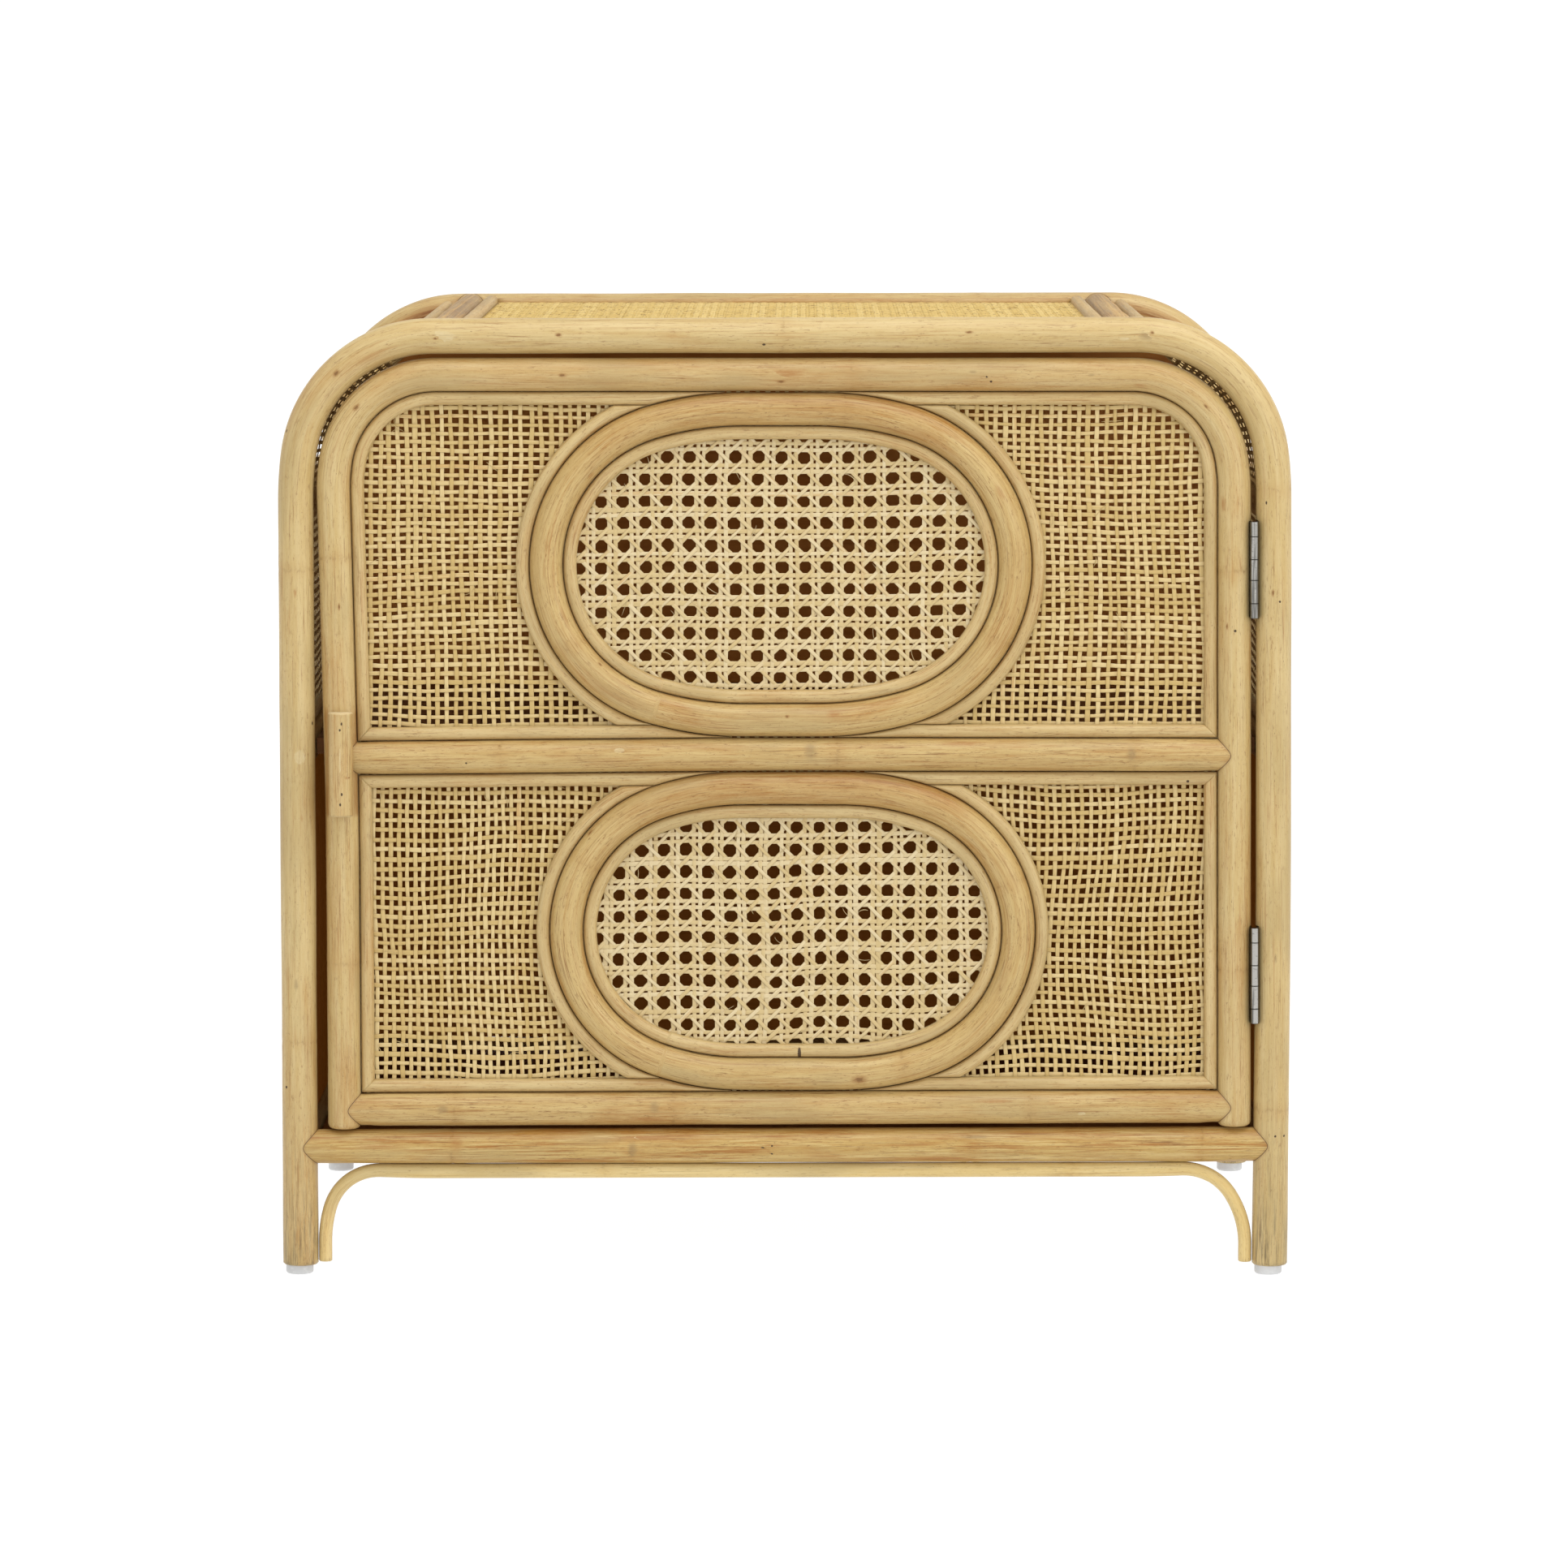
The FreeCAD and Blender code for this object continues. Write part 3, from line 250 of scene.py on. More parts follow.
def line_points(segs, y, step=1.0):
    p, _, _ = sample(segs, step)
    return np.stack([p[:, 0], np.full(len(p), y), p[:, 1]], 1)


def y_line(x, z, y0=None, y1=None):
    y0, y1 = Y_FRONT if y0 is None else y0, Y_BACK if y1 is None else y1
    yy = np.arange(y0, y1, 1.0)
    return np.stack([np.full(len(yy), x), yy, np.full(len(yy), z)], 1)


def near(co, pts, r, nrm=None):
    """Seam distance from each point to a pole's surface, the pole given by points on its centreline. Where two poles
    run into each other it's measured along the surface, and it grows behind the end of the other pole."""
    lo, hi = co.min(0) - 30, co.max(0) + 30
    keep = ((pts > lo) & (pts < hi)).all(1)
    out = np.full(len(co), 99.0)
    if not keep.any():
        return out
    ends = [(pts[0], pts[0] - pts[3]), (pts[-1], pts[-1] - pts[-4])]
    pts = pts[keep]
    p2 = (pts ** 2).sum(1)
    for i in range(0, len(co), 4000):
        b = co[i:i + 4000]
        d2 = (b ** 2).sum(1)[:, None] + p2[None] - 2 * b @ pts.T
        k = d2.argmin(1)
        rel = b - pts[k]
        dist = np.sqrt((rel ** 2).sum(1))
        f = dist - r
        if nrm is not None:
            c = (rel * nrm[i:i + 4000]).sum(1) / np.maximum(dist, 1e-6)
            f = np.where(c > -0.3, f / np.sqrt(np.maximum(1 - c * c, 0.02)), f)
        for q, t in ends:
            t = t / np.linalg.norm(t)
            over = ((b - q) * t).sum(1)
            at_end = (np.abs(pts[k] - q).sum(1) < 1.5) & (over > 0)
            f = np.where(at_end, np.abs(f) + 3.0 * over, f)
        out[i:i + 4000] = f
    return out


def closer(a, b):
    return np.where(np.abs(b) < np.abs(a), b, a)


def spots_attr(co, gs, across, spots):
    """Distance along and across from the nearest spot, in spot sizes. spots: (x, y, z, half length, half width, kind)."""
    out = np.zeros((len(co), 3), np.float32)
    out[:, :2] = 50.0
    best = np.full(len(co), 1e9)
    for (x, y, z, la, lw, kind) in spots:
        dist = np.sqrt(((co - np.array([x, y, z])) ** 2).sum(1))
        k = int(np.argmin(dist))
        ok = dist < best
        best = np.where(ok, dist, best)
        out[ok, 0] = np.abs(gs - gs[k])[ok] / la
        out[ok, 1] = np.abs(across - across[k])[ok] / lw
        out[ok, 2] = kind
    return out


SPOTS = {}


def pole(name, segs, y, R, body, replaced, mat, slot="rattan_pole", closed=False, neigh=(), step=2.6, ring=64, knots=(),
         tone=(0.5, 0.0, 0.0), tone_fn=None, grime_fn=None, bevel=0.9, round_end=0.0, insert=(), shape=None, wob=0.12, spin=0.0,
         axis="xz", y_span=None, slack=0.0, dense=(), ends=None):
    """Bent or straight round pole with a slightly uneven surface."""
    rng = rng_for(name)
    if axis == "xz":
        P, T, S = sample(segs, step)
        P3 = np.stack([P[:, 0], np.full(len(P), y), P[:, 1]], 1)
        T3 = np.stack([T[:, 0], np.zeros(len(P)), T[:, 1]], 1)
        N1 = np.stack([-T[:, 1], np.zeros(len(P)), T[:, 0]], 1)      # left of the travel
        N2 = np.tile((0.0, -1.0, 0.0), (len(P), 1))                   # towards the front
    elif axis == "z":
        x, z0, z1 = segs
        k = int(math.ceil((z1 - z0) / step))
        S = np.linspace(0, z1 - z0, k + 1)
        P3 = np.stack([np.full(k + 1, x), np.full(k + 1, y), z0 + S], 1)
        T3, N1, N2 = (np.tile(v, (k + 1, 1)) for v in ((0.0, 0, 1), (-1.0, 0, 0), (0.0, -1, 0)))
    else:
        x, z = segs
        y0, y1 = y_span
        k = int(math.ceil((y1 - y0) / step))
        S = np.linspace(0, y1 - y0, k + 1)
        P3 = np.stack([np.full(k + 1, x), y0 + S, np.full(k + 1, z)], 1)
        T3, N1, N2 = (np.tile(v, (k + 1, 1)) for v in ((0.0, 1, 0), (1.0, 0, 0), (0.0, 0, 1)))
    more = [np.asarray(sorted(insert), float)] if len(insert) else []
    more += [np.arange(max(a, 0.0) + 0.35, min(b, S[-1]), 0.7) for a, b in dense]
    if more:
        S2 = np.unique(np.round(np.concatenate([S] + more), 3))
        f = lambda A: np.stack([np.interp(S2, S, A[:, i]) for i in range(3)], 1)
        P3, T3, N1, N2 = f(P3), f(T3), f(N1), f(N2)
        S = S2
    if closed:
        P3, T3, N1, N2, Sx = P3[:-1], T3[:-1], N1[:-1], N2[:-1], S[:-1]
    else:
        clear = (round_end if round_end else bevel) + 0.25
        k = (np.minimum(S, S[-1] - S) > clear) | (S == 0) | (S == S[-1])
        P3, T3, N1, N2, S = P3[k], T3[k], N1[k], N2[k], S[k]
        Sx = S
    n = len(P3)
    L = S[-1]
    base = R - max(wob, 0.10) * 1.6 - slack
    if closed:
        w = np.zeros(n)
        for k in range(1, 9):
            w += wob * 0.35 * np.sin(2 * math.pi * k * Sx / L + rng.uniform(0, 6.28))
    else:
        w = wander(Sx, rng, 140.0, wob * 0.55)
    r = base + w
    kd = np.full(n, 99.0)
    for k in knots:
        d = Sx - k
        if closed:
            d = (d + L / 2) % L - L / 2
        kd = np.where(np.abs(d) < np.abs(kd), d, kd)
    r = r + wob * (1.1 * np.exp(-(kd / 7.0) ** 2) - 1.5 * np.exp(-(kd / 1.1) ** 2))
    r = np.minimum(r, R - 0.01)
    if ends is not None:
        e = np.clip((22.0 - np.minimum(Sx, L - Sx)) / 10.0, 0, 1)
        r = r + (np.minimum(ends, R) - r) * e * e * (3 - 2 * e)
    for a, b in dense:
        if ends is None:
            e = np.clip(1 - (np.abs(Sx - (a + b) / 2) - (b - a) / 2) / 10.0, 0, 1)
            r = r + (base - r) * e * e * (3 - 2 * e)
    ph = 2 * math.pi * np.arange(ring) / ring
    oval = 0.35 * wob * np.cos(2 * ph + rng.uniform(0, 6.28))[None] * np.cos(2 * math.pi * Sx / 310.0 + rng.uniform(0, 6.28))[:, None]
    if ends is not None:
        oval = oval * (1 - np.clip((22.0 - np.minimum(Sx, L - Sx)) / 10.0, 0, 1))[:, None]
    for a, b in dense:
        if ends is None:
            oval = oval * np.clip((np.abs(Sx - (a + b) / 2) - (b - a) / 2) / 10.0, 0, 1)[:, None]
    rr = np.minimum(r[:, None] + oval, R)
    co = P3[:, None] + rr[..., None] * (np.cos(ph)[None, :, None] * N1[:, None] + np.sin(ph)[None, :, None] * N2[:, None])
    twist = spin + 0.15 * np.sin(Sx / 260.0 + rng.uniform(0, 6))
    gs = np.repeat(Sx[:, None], ring, 1) + rng.uniform(0, 4000)
    ga = R * np.cos(ph[None] + twist[:, None]) + 37.0 * rng.integers(0, 40)
    gb = R * np.sin(ph[None] + twist[:, None]) + 31.0 * rng.integers(0, 40)
    if closed:       # closed loops: the grain coordinates are left as they are
        ga = ga + 0 * gs
    gco = np.stack([gs, ga, gb], -1)
    i0 = np.arange(n - (0 if closed else 1))
    i1 = (i0 + 1) % n
    j0, j1 = np.arange(ring), (np.arange(ring) + 1) % ring
    q = np.stack([i0[:, None] * ring + j0[None], i0[:, None] * ring + j1[None], i1[:, None] * ring + j1[None],
                  i1[:, None] * ring + j0[None]], -1).reshape(-1, 4)
    co, gco = co.reshape(-1, 3), gco.reshape(-1, 3)
    arc_pos = np.tile(R * ph, n)
    tris = []
    flat = np.zeros(len(q), bool)
    kdv = np.repeat(kd, ring)
    gsx = np.repeat(Sx, ring)
    endm = np.zeros(len(co))
    if not closed:
        q = list(map(tuple, q))
        for e, (ii, sgn) in enumerate(((0, -1), (n - 1, 1))):
            # pull the last ring in for a small bevel, then close with an inner ring and a centre
            b = round_end if round_end else bevel
            ringv = co[ii * ring:(ii + 1) * ring].copy()
            c = P3[ii]
            stages = [(1.0 - b * 0.3 / R, 0.12 * b), (1.0 - b / R, b)] if not round_end else \
                [(1 - b * (1 - math.cos(a)) / R, b * math.sin(a)) for a in (0.4, 0.8, 1.2, 1.57)]
            tdir = T3[ii] * sgn
            # the ring itself moves inwards by b, the new rings come out to the true end
            co[ii * ring:(ii + 1) * ring] -= tdir * b
            prev = ii * ring
            for (sc, out) in stages:
                new = c + (ringv - c) * sc - tdir * (b - out)
                k0 = len(co)
                co = np.vstack([co, new])
                gm = gco[ii * ring:(ii + 1) * ring].mean(0)
                gco = np.vstack([gco, gm + (gco[ii * ring:(ii + 1) * ring] - gm) * sc])
                kdv = np.concatenate([kdv, np.full(ring, kd[ii])])
                arc_pos = np.concatenate([arc_pos, R * ph])
                gsx = np.concatenate([gsx, np.full(ring, Sx[ii])])
                endm = np.concatenate([endm, np.zeros(ring)])
                for j in range(ring):
                    jn = (j + 1) % ring
                    f = (prev + j, prev + jn, k0 + jn, k0 + j)
                    q.append(f if sgn > 0 else f[::-1])
                prev = k0
            k0 = len(co)
            inner = c + (ringv - c) * 0.45 + 0 * tdir
            co = np.vstack([co, c + (co[prev:prev + ring] - c - 0) * 1.0, inner, c[None]])
            gp = gco[prev:prev + ring]
            gm = gp.mean(0)
            gco = np.vstack([gco, gp, gm + (gp - gm) * 0.45, gm[None]])
            kdv = np.concatenate([kdv, np.full(2 * ring + 1, kd[ii])])
            arc_pos = np.concatenate([arc_pos, R * ph, R * ph, [0]])
            gsx = np.concatenate([gsx, np.full(2 * ring + 1, Sx[ii])])
            endm = np.concatenate([endm, np.ones(2 * ring + 1)])
            for j in range(ring):
                jn = (j + 1) % ring
                f = (prev + j, prev + jn, k0 + ring + jn, k0 + ring + j)
                q.append(f if sgn > 0 else f[::-1])
                t = (k0 + ring + j, k0 + ring + jn, k0 + 2 * ring)
                tris.append(t if sgn > 0 else t[::-1])
            # the duplicated rim is dropped below
        q = np.array(q, np.int32)
        tris = np.array(tris, np.int32)
        used = np.zeros(len(co), bool)
        used[q.ravel()] = True
        used[tris.ravel()] = True
        remap = np.cumsum(used) - 1
        co, gco, kdv, arc_pos, gsx, endm = co[used], gco[used], kdv[used], arc_pos[used], gsx[used], endm[used]
        q, tris = remap[q], remap[tris]
    if shape is not None:
        co = shape(co)
    seam = np.full(len(co), 99.0)
    axis_n = co - np.stack([np.interp(gsx, Sx, P3[:, i]) for i in range(3)], 1)
    axis_n /= np.maximum(np.sqrt((axis_n ** 2).sum(1)), 1e-6)[:, None]
    for pts, rad in neigh:
        seam = closer(seam, near(co, pts, rad, axis_n))
    tn = np.tile(np.array(tone, float), (len(co), 1))
    if tone_fn is not None:
        tn = tn + tone_fn(co)
    gr = np.zeros(len(co)) if grime_fn is None else grime_fn(co)
    fx = np.stack([seam, kdv, gr], 1)
    sp = spots_attr(co, gsx, arc_pos, SPOTS.get(name, ()))
    tn[:, 2] = np.where(endm > 0, np.maximum(tn[:, 2], endm), tn[:, 2])
    return make(name, co, q, body, replaced, slot, mat, tris=tris if len(tris) else None, gco=gco, fx=fx, spot=sp, tone=tn)


def d_section(w, h, k=9, wall=0.22):
    """Half-round section: across 0..w from the pole side, up 0..h."""
    up = h * wall
    a = np.linspace(math.pi, 0, k)
    n = w / 2 + w / 2 * np.cos(a)
    d = up + (h - up) * np.sin(a) ** 0.8
    return np.concatenate([[0.0], n, [w]]), np.concatenate([[0.0], d, [0.0]])


def strip(name_key, P, T, S, side, w, h, base, up, mitre0=0.0, mitre1=0.0, wvar=None, y_dir=-1.0, seed=0, closed=False, mit_len=40.0):
    """Half-round strip along samples P (x, z). side +1 lays it to the right of the travel. Returns co, quads, gco, fx.
    base is the y of its flat underside and up its height, towards the front when y_dir is -1."""
    rng = rng_for(name_key, seed)
    n = len(P)
    width = np.full(n, w) if wvar is None else wvar
    ratio = np.clip(width / w, 0.02, 1)
    hs = up * np.clip(ratio * 1.9, 0.12, 1.0) ** 0.5
    sec_n, sec_d = d_section(1.0, 1.0)
    m = len(sec_n)
    nrm = np.stack([T[:, 1], -T[:, 0]], 1) * side
    along = S[:, None] * np.ones(m)[None]
    nn = sec_n[None] * width[:, None]
    wv = wander(S, rng, 120.0, 0.06)
    L = S[-1]
    shift = np.zeros_like(nn)
    if mitre0:
        shift += mitre0 * nn * np.clip(1 - S / mit_len, 0, 1)[:, None]
    if mitre1:
        shift -= mitre1 * nn * np.clip(1 - (L - S) / mit_len, 0, 1)[:, None]
    X = P[:, None, 0] + nrm[:, None, 0] * nn + T[:, None, 0] * shift
    Z = P[:, None, 1] + nrm[:, None, 1] * nn + T[:, None, 1] * shift
    Y = base + y_dir * (sec_d[None] * (hs + wv)[:, None])
    co = np.stack([X, Y, Z], -1)
    off = rng.uniform(0, 3000)
    gco = np.stack([along + shift + off, (sec_n[None] - 0.5) * w * np.ones(n)[:, None] + 17.0 * rng.integers(0, 60),
                    sec_d[None] * up * np.ones(n)[:, None] + 13.0 * rng.integers(0, 60)], -1)
    i0 = np.arange(n if closed else n - 1)
    i1 = (i0 + 1) % n
    j0, j1 = np.arange(m), (np.arange(m) + 1) % m
    q = np.stack([i0[:, None] * m + j0[None], i1[:, None] * m + j0[None], i1[:, None] * m + j1[None],
                  i0[:, None] * m + j1[None]], -1).reshape(-1, 4)
    flat = np.tile((j0 == m - 1) | (j0 == m - 2) | (j0 == 0), len(i0))
    edge = np.minimum(sec_n, 1 - sec_n)[None] * width[:, None]
    if (side * y_dir) > 0:
        q = q[:, ::-1]
    capt = []
    if not closed:
        for row, fl in ((0, False), (n - 1, True)):
            b = row * m
            for j in range(1, m - 1):
                t = (b, b + j, b + j + 1)
                if fl != ((side * y_dir) > 0):
                    t = t[::-1]
                capt.append(t)
    fx = np.stack([np.full(n * m, 99.0), np.full(n * m, 99.0), np.zeros(n * m)], 1)
    return co.reshape(-1, 3), q, np.array(capt, np.int32).reshape(-1, 3), gco.reshape(-1, 3), fx, flat


def join(parts):
    co, q, t, g, f, fl = [], [], [], [], [], []
    k = 0
    for (c, qq, tt, gg, ff, ll) in parts:
        co.append(c)
        q.append(qq + k)
        t.append(tt + k)
        g.append(gg)
        f.append(ff)
        fl.append(ll)
        k += len(c)
    return np.concatenate(co), np.concatenate(q), np.concatenate(t), np.concatenate(g), np.concatenate(f), np.concatenate(fl)


def strips_piece(name, parts, body, replaced, mat, slot="rattan_strip", neigh=(), tone=(0.5, 0, 0), spots=()):
    co, q, t, g, f, fl = join(parts)
    for pts, rad in neigh:
        f[:, 0] = closer(f[:, 0], near(co, pts, rad))
    tn = np.tile(np.array(tone, float), (len(co), 1))
    sp = spots_attr(co, g[:, 0], g[:, 1], spots)
    return make(name, co, q, body, replaced, slot, mat, tris=t, flat=fl, gco=g, fx=f, spot=sp, tone=tn)


def inside_poly(poly, u, v):
    x0, z0 = poly[:, 0], poly[:, 1]
    x1, z1 = np.roll(x0, -1), np.roll(z0, -1)
    hit = np.zeros(u.shape, bool)
    for a, b, c, d in zip(x0, z0, x1, z1):
        if b == d:
            continue
        cond = ((b > v) != (d > v)) & (u < (c - a) * (v - b) / (d - b) + a)
        hit ^= cond
    return hit


def ribbons(C, H, A, mask, w, t, place, ids, rng, swell=0.0, crown=0.32):
    """Flat woven strands. C (strands, samples, 2) centre lines, H heights, A (2,) direction across."""
    ns, nk = mask.shape
    left = np.zeros_like(mask)
    right = np.zeros_like(mask)
    left[:, 1:] = mask[:, :-1]
    right[:, :-1] = mask[:, 1:]
    mask = mask & (left | right)
    sec = np.array([[-0.5, -0.5], [-0.5, 0.5 - crown], [-0.33, 0.5], [0.33, 0.5], [0.5, 0.5 - crown], [0.5, -0.5]])
    ww = np.asarray(w)
    ww = ww if ww.ndim == 2 else np.broadcast_to(np.asarray(ww).reshape(-1, 1), (ns, nk))
    A = np.asarray(A, float)
    U = C[..., 0, None] + A[0] * sec[None, None, :, 0] * ww[..., None]
    Vv = C[..., 1, None] + A[1] * sec[None, None, :, 0] * ww[..., None]
    Hh = H[..., None] + sec[None, None, :, 1] * t
    co = place(U, Vv, Hh)
    along = np.concatenate([np.zeros((ns, 1)), np.cumsum(np.hypot(*(np.diff(C, axis=1)).transpose(2, 0, 1)), 1)], 1)
    g = np.stack([np.repeat((along + ids[:, None] * 57.3)[..., None], 6, 2), np.broadcast_to(sec[:, 0] * 2.4, (ns, nk, 6)) + ids[:, None, None] * 3.1,
                  np.broadcast_to(ids[:, None, None] * 1.7, (ns, nk, 6))], -1)
    tone = np.broadcast_to(rng.uniform(0, 1, ns)[:, None, None], (ns, nk, 6))
    tone2 = np.broadcast_to(np.abs(sec[:, 0]) * 2, (ns, nk, 6))
    low = np.broadcast_to(H[..., None], (ns, nk, 6))
    tn = np.stack([tone, tone2, low], -1)
    idx = (np.cumsum(mask.ravel()) - 1).reshape(ns, nk) * 6
    both = mask[:, :-1] & mask[:, 1:]
    b0, b1 = idx[:, :-1][both], idx[:, 1:][both]
    qs, fl = [], []
    for k in range(6):
        kn = (k + 1) % 6
        qs.append(np.stack([b0 + k, b1 + k, b1 + kn, b0 + kn], 1))
        fl.append(np.full(len(b0), k in (0, 4, 5)))
    prev = np.zeros_like(mask)
    prev[:, 1:] = mask[:, :-1]
    nxt = np.zeros_like(mask)
    nxt[:, :-1] = mask[:, 1:]
    st, en = idx[mask & ~prev], idx[mask & ~nxt]
    for b, rev in ((st, False), (en, True)):
        for f in ((0, 1, 4, 5), (1, 2, 3, 4)):
            a = np.stack([b + f[0], b + f[1], b + f[2], b + f[3]], 1)
            qs.append(a[:, ::-1] if rev else a)
            fl.append(np.ones(len(b), bool))
    return co[mask].reshape(-1, 3), np.concatenate(qs), np.concatenate(fl), g[mask].reshape(-1, 3), tn[mask].reshape(-1, 3)


def put_ribbons(name, r, body, replaced, slot, mat, flip=False):
    co, q, fl, g, tn = r
    if flip:
        q = q[:, ::-1]
    return make(name, co, q, body, replaced, slot, mat, flat=fl, gco=g, tone=tn)


def weave(name, us, vs, inside, place, body, replaced, mat, w=(2.5, 2.5), t=0.36, amp=0.21, fine=True, warp=None, seed=0, flip=False,
          slot="square_webbing", jit=0.15):
    rng = rng_for(name, seed)
    us, vs = np.sort(np.asarray(us)), np.sort(np.asarray(vs))
    out = []
    for fam, (a, b, ww) in enumerate(((us, vs, w[0]), (vs, us, w[1]))):
        p = np.diff(b).mean()
        offs, hts = ((-0.5, -0.27, 0.0, 0.27), (0.0, 0.78, 1.0, 0.78)) if fine else ((-0.5, 0.0), (0.0, 1.0))
        k = np.arange(len(b))
        s = np.concatenate([(b[:, None] + np.array(offs)[None] * p).ravel(), [b[-1] + p / 2]])
        hh = np.concatenate([(((-1.0) ** k)[:, None] * np.array(hts)[None]).ravel(), [0.0]])
        ns, nk = len(a), len(s)
        sg = ((-1.0) ** np.arange(ns)) * (1 if fam == 0 else -1)
        H = amp * sg[:, None] * hh[None]
        wob = np.stack([wander(s, rng, 55.0, jit, 4) for _ in range(ns)])
        own = a[:, None] + wob
        al = np.broadcast_to(s[None], (ns, nk))
        C = np.stack([own, al], -1) if fam == 0 else np.stack([al, own], -1)
        if warp is not None:
            du, dv = warp(C[..., 0], C[..., 1])
            C = C + np.stack([du, dv], -1)
        mask = inside(C[..., 0], C[..., 1])
        wid = ww * (1 + 0.09 * rng.standard_normal((ns, 1))) * (1 + 0.05 * np.stack([wander(s, rng, 30.0, 1.0, 3) for _ in range(ns)]))
        wid = np.clip(wid, 0.6 * ww, 1.35 * ww)
        A = (1.0, 0.0) if fam == 0 else (0.0, 1.0)
        r = ribbons(C, H, A, mask, wid, t, place, rng.permutation(ns).astype(float) + 1, rng)
        fl = flip if fam == 0 else not flip
        out.append(put_ribbons(name + ("_uprights" if fam == 0 else "_crossings"), r, body, replaced, slot, mat, flip=fl))
    return out


def grid(lo, hi, p, rng, jit):
    n = int(math.ceil((hi - lo) / p)) + 2
    a = lo - p + p * np.arange(n + 1) + rng.uniform(-0.4, 0.4) * p
    return a + rng.normal(0, jit, len(a))


# ------------------------------------------------------------------ materials
def new_mat(name):
    m = bpy.data.materials.new(name)
    m.use_nodes = True
    nt = m.node_tree
    nt.nodes.clear()
    out = nt.nodes.new("ShaderNodeOutputMaterial")
    b = nt.nodes.new("ShaderNodeBsdfPrincipled")
    nt.links.new(b.outputs[0], out.inputs[0])
    return m, nt, b


class G:
    """Short calls for building node graphs."""

    def __init__(self, nt):
        self.nt = nt

    def n(self, kind, **kw):
        x = self.nt.nodes.new(kind)
        for k, v in kw.items():
            setattr(x, k, v)
        return x

    def put(self, sock, v):
        if isinstance(v, bpy.types.NodeSocket):
            self.nt.links.new(v, sock)
        elif v is not None:
            sock.default_value = v

    def attr(self, name, which="Vector"):
        x = self.n("ShaderNodeAttribute", attribute_name=name)
        return x.outputs[which]

    def math(self, op, a, b=None, c=None, clamp=False):
        x = self.n("ShaderNodeMath", operation=op, use_clamp=clamp)
        for i, v in enumerate((a, b, c)):
            if v is not None:
                self.put(x.inputs[i], v)
        return x.outputs[0]

    def vmul(self, v, s):
        x = self.n("ShaderNodeVectorMath", operation="MULTIPLY")
        self.put(x.inputs[0], v)
        x.inputs[1].default_value = s
        return x.outputs[0]

    def vadd(self, v, w):
        x = self.n("ShaderNodeVectorMath", operation="ADD")
        self.put(x.inputs[0], v)
        self.put(x.inputs[1], w)
        return x.outputs[0]

    def sep(self, v):
        x = self.n("ShaderNodeSeparateXYZ")
        self.put(x.inputs[0], v)
        return x.outputs

    def comb(self, a, b, c):
        x = self.n("ShaderNodeCombineXYZ")
        for i, v in enumerate((a, b, c)):
            self.put(x.inputs[i], v)
        return x.outputs[0]

    def noise(self, v, scale=1.0, detail=3.0, rough=0.55, dist=0.0):
        x = self.n("ShaderNodeTexNoise")
        self.put(x.inputs["Vector"], v)
        x.inputs["Scale"].default_value = scale
        x.inputs["Detail"].default_value = detail
        x.inputs["Roughness"].default_value = rough
        x.inputs["Distortion"].default_value = dist
        return x.outputs["Fac"]

    def remap(self, v, a, b, c=0.0, d=1.0, smooth=True):
        x = self.n("ShaderNodeMapRange", interpolation_type="SMOOTHSTEP" if smooth else "LINEAR", clamp=True)
        self.put(x.inputs[0], v)
        for i, val in enumerate((a, b, c, d)):
            x.inputs[1 + i].default_value = val
        return x.outputs[0]

    def mix(self, f, a, b, mode="MIX"):
        x = self.n("ShaderNodeMix", data_type="RGBA", blend_type=mode, clamp_factor=True)
        self.put(x.inputs[0], f)
        for sock, v in ((x.inputs[6], a), (x.inputs[7], b)):
            self.put(sock, v if isinstance(v, bpy.types.NodeSocket) else (*v, 1.0))
        return x.outputs[2]

    def bump(self, h, strength, dist):
        x = self.n("ShaderNodeBump")
        x.inputs["Strength"].default_value = strength
        x.inputs["Distance"].default_value = dist
        self.put(x.inputs["Height"], h)
        return x.outputs[0]


ALBEDO = 0.80


def srgb(r, g, b):
    f = lambda c: ALBEDO * (c / 255) / 12.92 if c / 255 <= 0.04045 else ALBEDO * ((c / 255 + 0.055) / 1.055) ** 2.4
    return (f(r), f(g), f(b))


